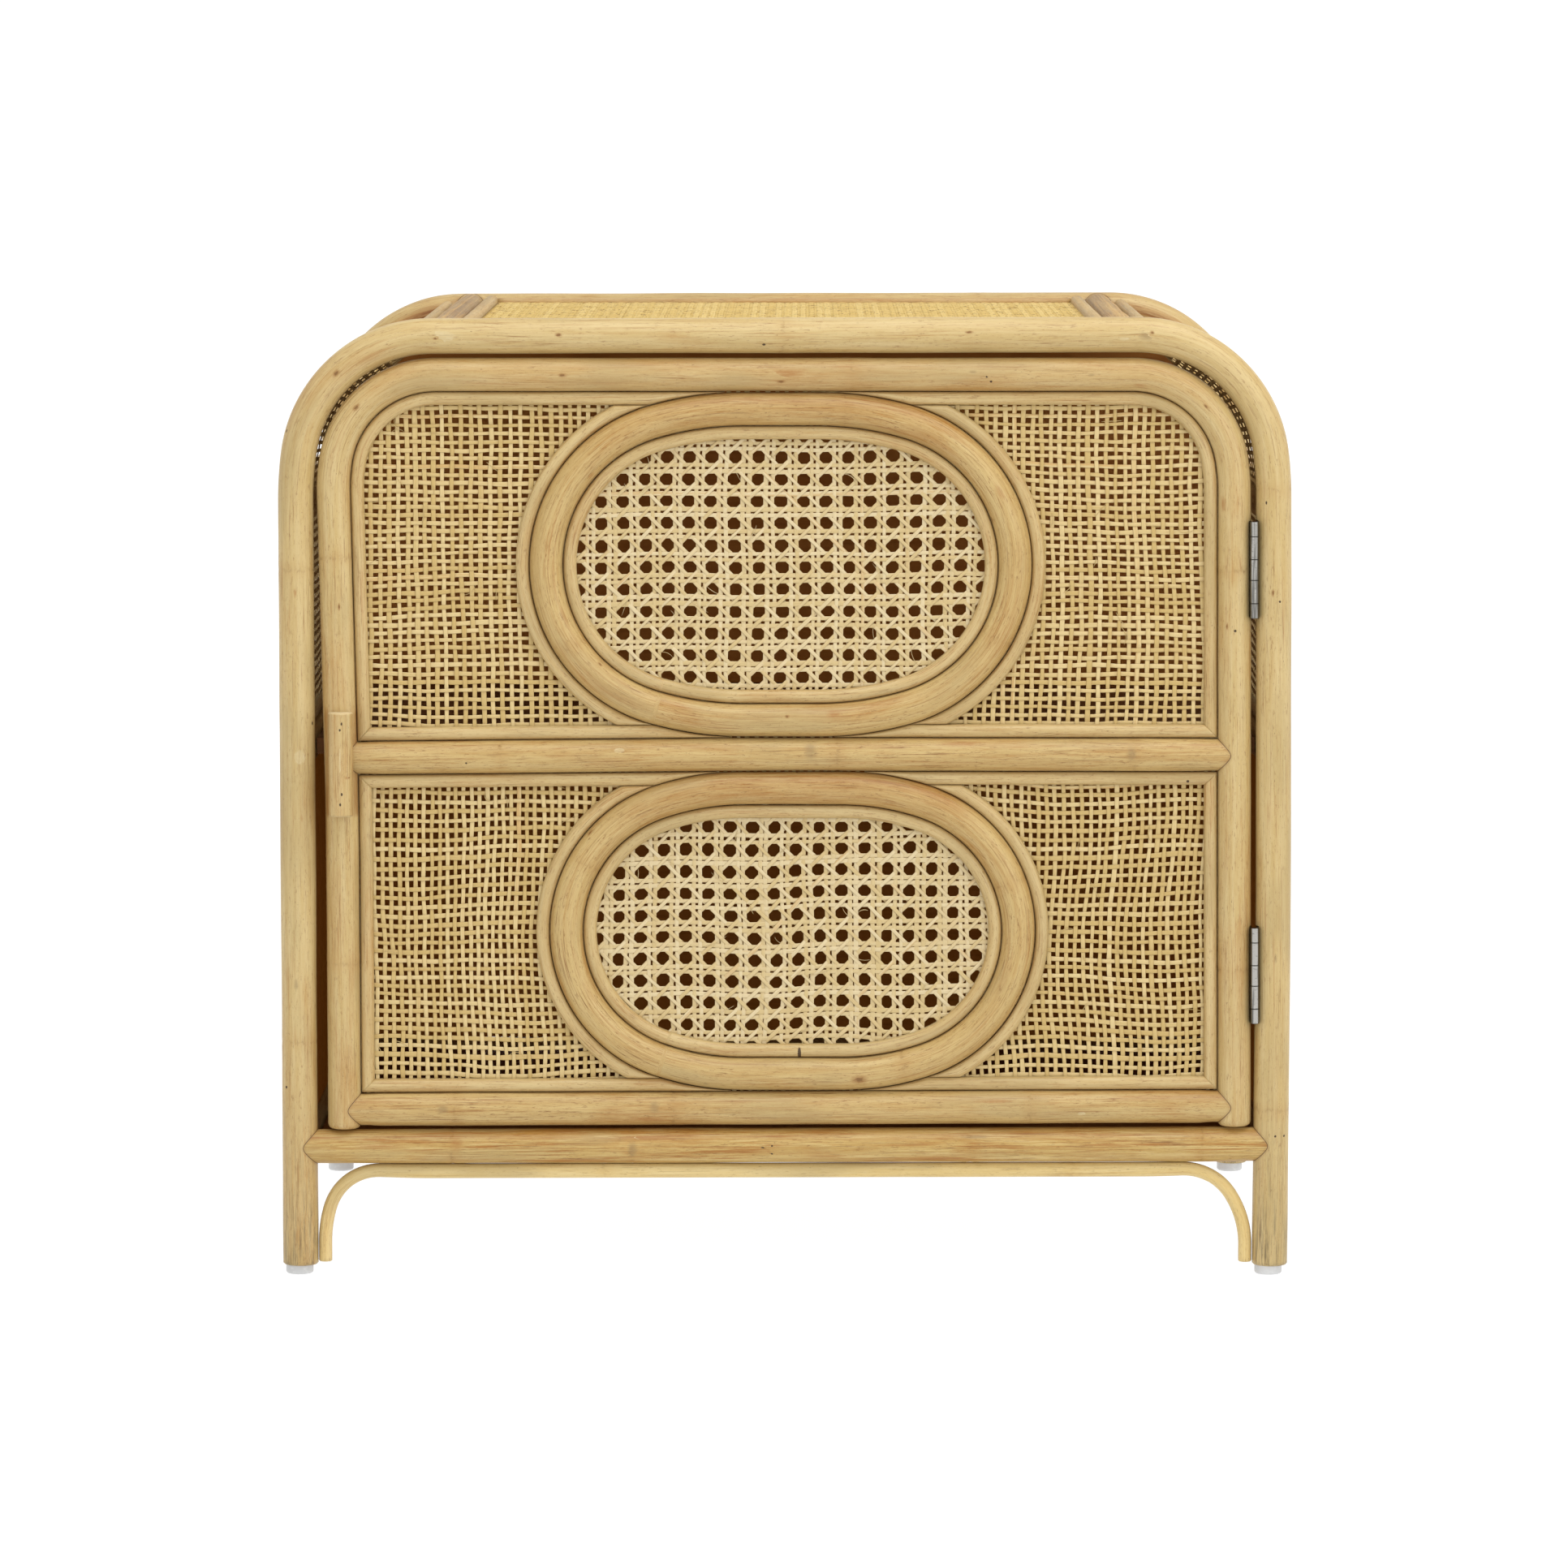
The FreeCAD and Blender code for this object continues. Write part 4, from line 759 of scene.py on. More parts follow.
def rattan(name, base, warm, pale, dark, rough=0.42, streak=1.0, fine=1.0, blotch=1.0, end=(0.72, 0.60, 0.36), grey=0.0, bold=0.0):
    """Lacquered rattan core: short fine fibres, soft warm and pale zones, pores, knots, and seam dirt with painted
    shade in the seams.
    """
    m, nt, b = new_mat(name)
    g = G(nt)
    co = g.attr("gco")
    fx = g.sep(g.attr("fx"))
    tn = g.sep(g.attr("tone"))
    sp = g.sep(g.attr("spot"))
    long_ = g.noise(g.vmul(co, (0.014, 0.26, 0.26)), 1.0, 4.0, 0.62, 0.3)
    fibre = g.noise(g.vmul(co, (0.055, 0.80, 0.80)), 1.0, 5.0, 0.72)
    short = g.noise(g.vadd(g.vmul(co, (0.22, 1.25, 1.25)), (4.4, 1.7, 6.1)), 1.0, 4.0, 0.72)
    hair = g.noise(g.vmul(co, (0.028, 1.10, 1.10)), 1.0, 4.0, 0.75)
    zone = g.noise(g.vmul(co, (0.013, 0.06, 0.06)), 1.0, 2.0, 0.5, 0.4)
    zone2 = g.noise(g.vadd(g.vmul(co, (0.024, 0.10, 0.10)), (9.1, 3.3, 5.7)), 1.0, 3.0, 0.55, 0.5)
    mottle = g.noise(g.vadd(g.vmul(co, (0.10, 0.24, 0.24)), (1.3, 7.7, 2.2)), 1.0, 4.0, 0.6, 0.6)
    col = g.mix(g.remap(long_, 0.34, 0.68, 0.0, 0.8), base, pale)
    col = g.mix(g.remap(mottle, 0.52, 0.74, 0.0, 0.35), col, pale)
    warmth = g.math("ADD", g.remap(zone, 0.48, 0.74, 0.0, 0.42 * blotch), g.remap(fibre, 0.50, 0.70, 0.0, 0.42 * streak))
    # tone x shifts the warmth: each piece's tone, and also painted shade on the back arch and a paler painted highlight
    # on the front arch's top
    warmth = g.math("ADD", warmth, g.math("SUBTRACT", tn[0], 0.5))
    warmth = g.math("MULTIPLY", warmth, g.remap(long_, 0.30, 0.72, 1.2, 0.7), clamp=True)
    col = g.mix(warmth, col, warm)
    # dark fibre lines, long and short
    lines = g.math("MULTIPLY", g.remap(hair, 0.55, 0.635), g.remap(zone2, 0.34, 0.66, 0.30, 1.0))
    col = g.mix(g.math("MULTIPLY", lines, 0.46 * fine), col, dark)
    dash = g.math("MULTIPLY", g.remap(short, 0.56, 0.645), g.remap(mottle, 0.36, 0.60, 0.3, 1.0))
    col = g.mix(g.math("MULTIPLY", dash, 0.42 * fine), col, dark)
    glow = g.remap(short, 0.44, 0.30, 0.0, 0.45)
    col = g.mix(glow, col, pale)
    veins = g.noise(g.vadd(g.vmul(co, (0.018, 1.0, 1.0)), (6.6, 2.2, 9.4)), 1.0, 4.0, 0.75, 0.15)
    vm = g.math("MULTIPLY", g.remap(veins, 0.52, 0.64), g.remap(zone, 0.36, 0.62, 0.15, 1.0))
    vm = g.math("MULTIPLY", vm, g.math("ADD", g.math("MULTIPLY", tn[1], 1.4), 0.50 * streak), clamp=True)
    col = g.mix(g.math("MULTIPLY", vm, 0.80), col, srgb(170, 112, 50))
    olive = g.noise(g.vadd(g.vmul(co, (0.011, 0.05, 0.05)), (8.6, 1.2, 3.4)), 1.0, 2.0, 0.5, 0.3)
    col = g.mix(g.remap(olive, 0.50, 0.68, 0.0, 0.42), col, srgb(184, 160, 108))
    # pores: small dark specks
    pores = g.noise(g.vmul(co, (0.45, 1.3, 1.3)), 1.0, 2.0, 0.5)
    gate = g.noise(g.vadd(g.vmul(co, (0.04, 0.14, 0.14)), (2.7, 8.8, 1.2)), 1.0, 2.0, 0.5)
    pm = g.math("MULTIPLY", g.remap(pores, 0.69, 0.75), g.remap(gate, 0.44, 0.60, 0.10, 1.0))
    col = g.mix(g.math("MULTIPLY", pm, 0.62), col, srgb(112, 78, 42))
    if bold:
        bn = g.noise(g.vadd(g.vmul(co, (0.020, 0.62, 0.62)), (5.5, 3.9, 1.1)), 1.0, 5.0, 0.68, 0.4)
        bz = g.noise(g.vadd(g.vmul(co, (0.012, 0.09, 0.09)), (0.6, 4.8, 7.3)), 1.0, 2.0, 0.5, 0.3)
        bm = g.math("MULTIPLY", g.remap(bn, 0.50, 0.60), g.remap(bz, 0.40, 0.60, 0.15, 1.0))
        col = g.mix(g.math("MULTIPLY", bm, 0.85 * bold), col, srgb(172, 114, 46))
        col = g.mix(g.math("MULTIPLY", g.remap(bn, 0.46, 0.38), 0.6 * bold), col, srgb(224, 196, 132))
        bd = g.noise(g.vadd(g.vmul(co, (0.035, 1.15, 1.15)), (2.2, 7.1, 3.7)), 1.0, 5.0, 0.75)
        col = g.mix(g.math("MULTIPLY", g.math("MULTIPLY", g.remap(bd, 0.56, 0.63), g.remap(bz, 0.36, 0.60, 0.3, 1.0)), 0.75 * bold), col, srgb(122, 74, 30))
    # faint ring where the pole had a leaf joint
    kn = g.math("ABSOLUTE", g.math("ADD", fx[1], g.math("ADD", g.math("MULTIPLY", g.math("SUBTRACT", fibre, 0.5), 9.0), g.math("MULTIPLY", g.math("SUBTRACT", mottle, 0.5), 6.0))))
    ringl = g.math("MULTIPLY", g.remap(kn, 1.0, 0.2), g.remap(mottle, 0.42, 0.62, 0.0, 1.0))
    ringw = g.remap(kn, 8.0, 0.5, 0.0, 0.16)
    col = g.mix(ringw, col, warm)
    col = g.mix(g.math("MULTIPLY", ringl, 0.20), col, dark)
    # grey worn dirt
    gm = g.math("MULTIPLY", fx[2], g.remap(g.noise(g.vmul(co, (0.05, 1.0, 1.0)), 1.0, 5.0, 0.7), 0.44, 0.66), clamp=True)
    col = g.mix(g.math("MULTIPLY", gm, 0.8), col, srgb(112, 98, 68))
    # stain, its amount in tone y; on the back arch tone y also carries painted shade and a painted shadow wedge
    col = g.mix(g.math("MULTIPLY", tn[1], g.remap(fibre, 0.36, 0.62, 0.25, 1.0), clamp=True), col, srgb(150, 98, 48))
    # small marks
    sr = g.math("SQRT", g.math("ADD", g.math("POWER", sp[0], 2.0), g.math("POWER", sp[1], 2.0)))
    sr = g.math("ADD", sr, g.math("MULTIPLY", g.math("SUBTRACT", g.noise(g.vmul(co, (0.5, 1.2, 1.2)), 1.0, 3.0, 0.6), 0.5), 0.9))
    kind = sp[2]

    def is_kind(k):
        return g.remap(g.math("ABSOLUTE", g.math("SUBTRACT", kind, float(k))), 0.6, 0.3)
    m1 = g.math("MULTIPLY", g.remap(sr, 1.1, 0.8), is_kind(1))            # pit
    col = g.mix(g.math("MULTIPLY", m1, 0.92), col, srgb(60, 38, 20))
    m2 = g.math("MULTIPLY", g.remap(sr, 1.25, 0.3), is_kind(2))           # brown knot
    col = g.mix(g.math("MULTIPLY", m2, 0.75), col, srgb(158, 108, 52))
    m2b = g.math("MULTIPLY", g.remap(sr, 0.6, 0.25), is_kind(2))
    col = g.mix(g.math("MULTIPLY", m2b, 0.6), col, srgb(112, 74, 36))
    m3 = g.math("MULTIPLY", g.remap(sr, 1.3, 0.1), is_kind(3))            # soft orange stain
    col = g.mix(g.math("MULTIPLY", m3, g.remap(fibre, 0.35, 0.6, 0.30, 0.75)), col, srgb(176, 122, 62))
    m4 = g.math("MULTIPLY", g.remap(sr, 1.1, 0.75), is_kind(4))           # pale filler
    col = g.mix(g.math("MULTIPLY", m4, g.remap(short, 0.3, 0.55, 0.85, 0.35)), col, srgb(224, 206, 160))
    m5 = g.math("MULTIPLY", g.remap(sr, 1.3, 0.2), is_kind(5))            # grey bruise
    col = g.mix(g.math("MULTIPLY", m5, 0.5), col, srgb(150, 124, 82))
    # pale cut ends
    col = g.mix(g.math("MULTIPLY", g.remap(tn[2], 0.4, 0.8), 0.75), col, end)
    # dirt along the seams to the neighbouring poles as a brown halo, and a thin dark line in the crease that is painted
    # shade
    sd = g.math("ADD", g.math("ABSOLUTE", fx[0]), g.math("MULTIPLY", g.math("SUBTRACT", short, 0.5), 0.22))
    col = g.mix(g.remap(sd, 1.9, 0.2, 0.0, 0.30), col, srgb(158, 112, 60))
    col = g.mix(g.remap(sd, 0.30, 0.10, 0.0, 0.82), col, srgb(66, 44, 24))
    if grey:
        gn = g.noise(g.vmul(co, (0.002, 0.16, 0.16)), 1.0, 3.0, 0.6)
        gf = g.noise(g.vadd(g.vmul(co, (0.005, 0.6, 0.6)), (3.1, 5.2, 0.4)), 1.0, 4.0, 0.7)
        gcol = g.mix(g.remap(gn, 0.38, 0.60), srgb(196, 148, 70), srgb(160, 124, 74))
        gcol = g.mix(g.math("MULTIPLY", g.remap(gf, 0.48, 0.62), 0.75), gcol, srgb(112, 74, 34))
        gcol = g.mix(g.math("MULTIPLY", g.remap(gf, 0.44, 0.34), 0.6), gcol, srgb(214, 177, 102))
        gcol = g.mix(g.math("MULTIPLY", g.remap(fibre, 0.54, 0.70), 0.35), gcol, srgb(120, 90, 58))
        col = g.mix(grey, col, gcol)
    g.put(b.inputs["Base Color"], col)
    rr = g.math("ADD", g.remap(fibre, 0.3, 0.7, -0.05, 0.07, False), rough)
    rr = g.math("ADD", rr, g.math("MULTIPLY", g.math("ADD", m1, m2), 0.2))
    g.put(b.inputs["Roughness"], rr)
    b.inputs["Specular IOR Level"].default_value = 0.40
    hgt = g.math("ADD", g.math("MULTIPLY", fibre, 0.5), g.math("MULTIPLY", short, 0.2))
    hgt = g.math("ADD", hgt, g.math("MULTIPLY", long_, 0.6))
    hgt = g.math("SUBTRACT", hgt, g.math("MULTIPLY", pm, 0.5))
    hgt = g.math("SUBTRACT", hgt, g.math("MULTIPLY", m1, 2.2))
    hgt = g.math("SUBTRACT", hgt, g.math("MULTIPLY", ringl, 0.7))
    g.put(b.inputs["Normal"], g.bump(hgt, 0.6, 0.00025))
    return m


def cane_mat(name, base, pale, warm, dark, rough=0.34, spec=0.55, speck=0.45):
    """Split rattan skin strands: each strand its own tone, fine long lines, painted shade where it dips under."""
    m, nt, b = new_mat(name)
    g = G(nt)
    co = g.attr("gco")
    tn = g.sep(g.attr("tone"))
    lon = g.noise(g.vmul(co, (0.018, 0.8, 0.8)), 1.0, 3.0, 0.6)
    fib = g.noise(g.vmul(co, (0.06, 3.4, 3.4)), 1.0, 3.0, 0.6)
    hair = g.noise(g.vmul(co, (0.15, 8.0, 8.0)), 1.0, 2.0, 0.5)
    col = g.mix(g.remap(g.math("ADD", g.math("MULTIPLY", tn[0], 0.55), g.math("MULTIPLY", lon, 0.6)), 0.30, 0.85), base, pale)
    col = g.mix(g.remap(lon, 0.56, 0.76, 0.0, 0.55), col, warm)
    col = g.mix(g.remap(fib, 0.56, 0.74, 0.0, 0.30), col, dark)
    odd = g.math("MULTIPLY", g.remap(tn[0], 0.955, 0.97), g.remap(lon, 0.42, 0.58))
    col = g.mix(g.math("MULTIPLY", odd, 0.6), col, warm)
    spk = g.noise(g.vmul(co, (0.11, 0.6, 0.6)), 1.0, 3.0, 0.6)
    col = g.mix(g.remap(spk, 0.80 - speck * 0.27, 0.90 - speck * 0.27, 0.0, min(speck, 1.0)), col, srgb(150, 96, 48) if speck < 0.6 else srgb(104, 64, 26))
    # the side faces and the hidden underside are raw, duller fibre; the dips under crossing strands are darker as
    # painted shade
    col = g.mix(g.remap(tn[2], 0.05, -0.42, 0.0, 0.38), col, srgb(150, 108, 56))
    col = g.mix(g.remap(tn[1], 0.86, 1.0, 0.0, 0.28), col, srgb(150, 112, 64))
    g.put(b.inputs["Base Color"], col)
    g.put(b.inputs["Roughness"], g.math("ADD", g.remap(fib, 0.3, 0.7, -0.06, 0.10, False), rough))
    b.inputs["Specular IOR Level"].default_value = spec
    g.put(b.inputs["Normal"], g.bump(g.math("ADD", g.math("MULTIPLY", fib, 0.7), g.math("MULTIPLY", hair, 0.3)), 0.5, 0.00012))
    return m


def steel_mat(name, bright, dull, dark):
    """Brushed steel of the hinges: bright at the front of the barrel, darker towards the back where it sits between the
    poles, which is painted shade.
    """
    m, nt, b = new_mat(name)
    g = G(nt)
    tc = g.n("ShaderNodeTexCoord").outputs["Object"]
    y = g.sep(tc)[1]
    n1 = g.noise(g.vmul(tc, (620.0, 620.0, 26.0)), 1.0, 3.0, 0.6)
    n2 = g.noise(g.vmul(tc, (300.0, 300.0, 900.0)), 1.0, 2.0, 0.6)
    y0 = (HINGE_Y - 2.45) / 1000.0
    f = g.math("ADD", y, g.math("MULTIPLY", g.math("SUBTRACT", n1, 0.5), 0.0006))
    col = g.mix(g.remap(n1, 0.44, 0.60), bright, dull)
    # painted shade: duller, then dark, deeper back into the mortise between the poles
    col = g.mix(g.remap(f, y0 + 0.0003, y0 + 0.0010), col, dull)
    col = g.mix(g.remap(f, y0 + 0.0012, y0 + 0.0022), col, dark)
    col = g.mix(g.remap(n2, 0.56, 0.72, 0.0, 0.5), col, dull)
    z = g.sep(tc)[2]
    for hz in (HINGE_TOP[1], HINGE_BOT[1]):
        for dz in (-HINGE_L / 2, -19.15, -5.85, 6.05, 19.15, HINGE_L / 2):
            near_z = g.math("ABSOLUTE", g.math("SUBTRACT", z, (hz + dz) / 1000.0))
            col = g.mix(g.remap(near_z, 0.00046, 0.00016, 0.0, 0.85), col, dark)
    g.put(b.inputs["Base Color"], col)
    g.put(b.inputs["Roughness"], g.remap(n1, 0.3, 0.7, 0.20, 0.34, False))
    b.inputs["Metallic"].default_value = 1.0
    g.put(b.inputs["Normal"], g.bump(n1, 0.3, 0.00003))
    return m


def obj_mat(name, col_a, col_b, scale, rough, metallic=0.0, bump=0.0001, detail=4.0, spec=0.5, col_c=None, fine=40.0, glow=None):
    """Material in object coordinates for CAD pieces: two tones, fine grain along one axis."""
    m, nt, b = new_mat(name)
    g = G(nt)
    tc = g.n("ShaderNodeTexCoord").outputs["Object"]
    n1 = g.noise(g.vmul(tc, scale), 1.0, detail, 0.6, 0.2)
    n2 = g.noise(g.vmul(tc, tuple(s * fine / 10 for s in scale)), 1.0, 2.0, 0.6)
    col = g.mix(g.remap(n1, 0.35, 0.68), col_a, col_b)
    if col_c:
        col = g.mix(g.remap(n2, 0.5, 0.72, 0.0, 0.6), col, col_c)
    g.put(b.inputs["Base Color"], col)
    g.put(b.inputs["Roughness"], g.remap(n2, 0.3, 0.7, rough - 0.06, rough + 0.08, False))
    b.inputs["Metallic"].default_value = metallic
    b.inputs["Specular IOR Level"].default_value = spec
    g.put(b.inputs["Normal"], g.bump(g.math("ADD", n1, n2), 0.4, bump))
    if glow:
        b.inputs["Emission Color"].default_value = (*glow, 1.0)
        b.inputs["Emission Strength"].default_value = 1.0
    return m


BASE, WARM, PALE, DARK = srgb(208, 179, 118), srgb(190, 144, 80), srgb(221, 197, 142), srgb(140, 94, 44)
M_POLE = rattan("rattan_pole", BASE, WARM, PALE, DARK, fine=1.25, bold=0.10)
M_RAIL = rattan("rattan_rail", srgb(202, 169, 106), srgb(178, 126, 56), srgb(216, 188, 127), srgb(130, 82, 33), streak=1.4, fine=1.6, blotch=1.2, bold=0.32)
M_FRAIL = rattan("rattan_front_rail", srgb(202, 169, 98), srgb(182, 126, 50), srgb(217, 188, 120), srgb(132, 84, 34), streak=1.2, fine=1.3, blotch=1.2, bold=1.0)
M_STRIP = rattan("rattan_strip", srgb(207, 177, 118), srgb(192, 146, 82), srgb(220, 195, 140), DARK, streak=1.2, fine=1.4, blotch=0.8)
# The braces get a paler, yellower copy of the rattan: painted light over the shade that the rail above casts on them.
M_BRACE_LIT = rattan("rattan_brace", srgb(232, 202, 132), srgb(218, 174, 98), srgb(240, 216, 156), DARK, streak=0.9, fine=0.9, blotch=0.6)
M_WORN = rattan("weathered_rattan", BASE, WARM, PALE, DARK, grey=0.74, rough=0.6)
M_WORNPALE = rattan("weathered_rattan_pale", BASE, WARM, PALE, DARK, grey=0.36, rough=0.6)
M_MESH = cane_mat("square_webbing", srgb(206, 175, 105), srgb(227, 201, 141), srgb(201, 154, 79), srgb(166, 126, 70))
M_TOPWEB = cane_mat("top_webbing", srgb(217, 184, 109), srgb(233, 205, 136), srgb(207, 162, 84), srgb(130, 84, 34), rough=0.7, spec=0.06, speck=0.85)
# The corner webbing is a redder, darker copy of the door webbing: painted shade for its inside, seen in the gaps beside
# the door.
M_SKIN_SHADED = cane_mat("corner_webbing", srgb(208, 170, 102), srgb(226, 196, 136), srgb(200, 152, 80), srgb(132, 88, 40), rough=0.6, spec=0.12)
M_CANE = cane_mat("six_way_cane", srgb(216, 190, 132), srgb(230, 210, 164), srgb(210, 170, 104), srgb(172, 134, 80))
# The plywood's colour is a light orange and it glows faintly orange: painted light that brightens the inside of the
# cabinet seen through the webbing.
M_PLY_GLOW = obj_mat("dark_plywood", srgb(192, 128, 60), srgb(178, 112, 50), (5.0, 40.0, 40.0), 0.6, bump=0.0001, col_c=srgb(152, 92, 40), fine=60, spec=0.3, glow=(0.029, 0.0083, 0.0004))
# The shelf and boards get a darker copy of the plywood: painted shade, mostly for the shelf's front edge.
M_SHELF_SHADED = obj_mat("dark_plywood_boards", srgb(150, 96, 44), srgb(132, 80, 34), (5.0, 40.0, 40.0), 0.6, bump=0.0001, col_c=srgb(112, 66, 28), fine=60, spec=0.25)
M_STEEL = steel_mat("hinge_steel", (0.44, 0.425, 0.395), (0.17, 0.163, 0.148), (0.042, 0.037, 0.029))
M_PLATE = obj_mat("strike_steel", (0.42, 0.41, 0.39), (0.27, 0.26, 0.25), (260.0, 260.0, 14.0), 0.3, 1.0, 0.00003, col_c=(0.56, 0.54, 0.51), fine=22)
M_SCREW = obj_mat("screw_steel", (0.40, 0.38, 0.35), (0.28, 0.26, 0.22), (90.0, 90.0, 90.0), 0.4, 1.0, 0.00004, col_c=(0.5, 0.46, 0.4))
M_GLIDE = obj_mat("white_glide", srgb(228, 228, 227), srgb(214, 214, 213), (60.0, 60.0, 60.0), 0.42, bump=0.00003, col_c=srgb(240, 240, 238))
M_CATCH = obj_mat("catch_plastic", srgb(122, 80, 48), srgb(104, 66, 38), (50.0, 50.0, 50.0), 0.45, bump=0.00004, col_c=srgb(90, 56, 32))
M_MAGNET = obj_mat("magnet", (0.10, 0.10, 0.10), (0.06, 0.06, 0.06), (90.0, 90.0, 90.0), 0.5, 0.6, 0.00005, col_c=(0.14, 0.14, 0.14))


def paint(names, mat):
    for n in names:
        o = nodes[n]
        o.data.materials.clear()
        o.data.materials.append(mat)


paint(["back_panel", "left_liner", "right_liner"], M_PLY_GLOW)
paint(["shelf", "floor_board", "top_board"], M_SHELF_SHADED)
paint(["cabinet_hinge_leaves", "door_hinge_leaves", "hinge_pins"], M_STEEL)
paint(["catch_strike"], M_PLATE)
paint(["cabinet_hinge_screws", "door_hinge_screws", "catch_screws", "frame_screws", "glide_nails", "handle_nails", "door_joint_screws"], M_SCREW)
paint(["glides"], M_GLIDE)
paint(["catch_housing"], M_CATCH)
paint(["catch_magnet"], M_MAGNET)

# ------------------------------------------------------------------ pole centre lines for the seams
arch_segs, door_segs, mid_segs, bot_segs = (fillet_path(p) for p in (ARCH, DOOR, MID, BOT))
rail_segs = fillet_path([(-280.1, Z_BOT_L, 0), (279.8, Z_BOT_R, 0)])
L_ARCH_F, L_ARCH_B = line_points(arch_segs, Y_FRONT), line_points(arch_segs, Y_BACK)
L_DOOR, L_MID, L_BOT = (line_points(s, Y_FRONT) for s in (door_segs, mid_segs, bot_segs))
L_RU, L_RL = line_points(oval_segs(RING_U), Y_FRONT), line_points(oval_segs(RING_L), Y_FRONT)
RA, RD = R_ARCH - 0.16, R_DOOR - 0.16      # radius of the poles where rails run into them
RAE, RDE = RA - 0.28, RD - 0.32           # radius of the rails' ends in these fish-mouth joints
L_RAIL_F, L_RAIL_B = line_points(rail_segs, Y_FRONT), line_points(rail_segs, Y_BACK)

HALF = HINGE_L / 2 + 0.3
lean = (HINGE_TOP[0] - HINGE_BOT[0]) / (HINGE_TOP[1] - HINGE_BOT[1])


def mortise(side):
    """side +1 flattens the leg's inner face at the hinges, -1 the door stile's outer face."""
    def f(co):
        co = co.copy()
        for hx, hz in (HINGE_TOP, HINGE_BOT):
            dz = co[:, 2] - hz
            ax = hx + lean * dz
            zone = (np.abs(dz) <= HALF) & (co[:, 1] > HINGE_Y - 8) & (co[:, 1] < HINGE_Y + LEAF_W + 0.3) & (co[:, 0] > 200)
            if side > 0:
                co[:, 0] = np.where(zone, np.maximum(co[:, 0], ax + LEAF_OUT + 0.05), co[:, 0])
            else:
                co[:, 0] = np.where(zone, np.minimum(co[:, 0], ax - LEAF_OUT - 0.05), co[:, 0])
        return co
    return f


def s_at(segs, zs, xside):
    P, T, S = sample(segs, 0.5)
    out = []
    ok = P[:, 0] * xside > 150
    for z in zs:
        k = np.where(ok, np.abs(P[:, 1] - z), 1e9).argmin()
        out.append(S[k])
    return out


MZ = [h[1] + s * (HALF + e) for h in (HINGE_TOP, HINGE_BOT) for s in (-1, 1) for e in (-0.02, 0.02)]


def ramp(v, a, b):
    t = np.clip((v - a) / (b - a), 0, 1)
    return t * t * (3 - 2 * t)


# ------------------------------------------------------------------ small marks, by piece: x, y, z, half length, half width, kind
def on_front(x, z, y0, R, cx=None, cz=None):
    """Point on the front of a pole whose centre is (cx, cz) at this spot."""
    d = math.hypot(x - (cx if cx is not None else x), z - (cz if cz is not None else z))
    return y0 - math.sqrt(max(R * R - d * d, 0.0))


def X(px):
    return (px - 968.3) * 0.4663


def Z(py):
    return (1571.5 - py) * 0.4663


def marks(kindlist, y0, R, centre):
    out = []
    for (px, py, la, lw, kind) in kindlist:
        x = X(px) * float(np.interp(py, [400, 1000, 1400], [0.990, 0.995, 1.0]))
        z = Z(py - float(np.interp(py, [400, 500, 740, 950, 1370, 1500], [3.0, 4.2, 6.0, 5.5, 1.5, 1.0])))
        c = centre(x, z)
        d = min(abs(c), R * 0.98)
        out.append((x, y0 - math.sqrt(R * R - d * d), z, la, lw, kind))
    return out


def dist2(segs):
    P, T, S = sample(segs, 1.0)
    return lambda x, z: float(np.hypot(P[:, 0] - x, P[:, 1] - z).min())


SPOTS["front_arch"] = marks([
    (540, 415, 9, 3.6, 4), (538, 417, 1.6, 0.9, 2), (686, 412, 2.4, 1.4, 2), (412, 461, 3.0, 1.9, 2), (1413, 413, 5.0, 3.0, 5), (1417, 409, 1.5, 1.2, 2), (1384, 417, 3.0, 1.0, 4), (368, 934, 4.2, 3.4, 4),
    (1573, 1399, 0.7, 0.7, 1), (1583, 1399, 0.7, 0.7, 1), (1577, 740, 0.7, 0.7, 1), (943, 424, 1.0, 0.8, 1), (1194, 410, 2.6, 1.1, 2),
    (364, 731, 3.0, 1.0, 3), (384, 895, 1.2, 0.6, 1), (365, 1212, 3.4, 1.4, 5), (352, 533, 0.9, 0.6, 1), (380, 600, 1.4, 0.6, 5),
    (1568, 730, 2.4, 1.0, 2), (372, 1006, 2.2, 0.9, 3), (352, 1340, 0.8, 0.8, 1), (1560, 620, 1.0, 0.5, 1), (1572, 1180, 3.0, 1.0, 5)],
    Y_FRONT, R_ARCH, dist2(arch_segs))
SPOTS["door_frame"] = marks([
    (440, 502, 2.6, 1.7, 2), (692, 462, 2.8, 1.4, 2), (1513, 774, 2.2, 0.8, 2), (1523, 778, 0.8, 0.8, 1), (418, 749, 2.2, 0.9, 2),
    (1508, 622, 5.0, 2.4, 3), (1486, 500, 2.2, 1.0, 2), (1343, 462, 2.2, 0.8, 5), (1196, 459, 2.6, 1.0, 5), (433, 957, 2.6, 1.6, 3),
    (967, 461, 14, 4.0, 3), (962, 470, 3.0, 1.2, 2), (1221, 471, 0.7, 0.7, 1), (1214, 464, 0.6, 0.6, 1), (1405, 476, 5, 1.8, 3)],
    Y_FRONT, R_DOOR, dist2(door_segs))
SPOTS["upper_ring"] = marks([
    (1030, 880, 5.0, 3.4, 3), (972, 883, 1.6, 1.2, 2), (727, 588, 3.0, 1.6, 3), (715, 690, 6.0, 1.8, 3), (1234, 610, 6.0, 2.0, 3),
    (1222, 640, 2.6, 1.0, 2), (740, 820, 2.2, 1.0, 2)], Y_FRONT, R_DRAIL, dist2(oval_segs(RING_U)))
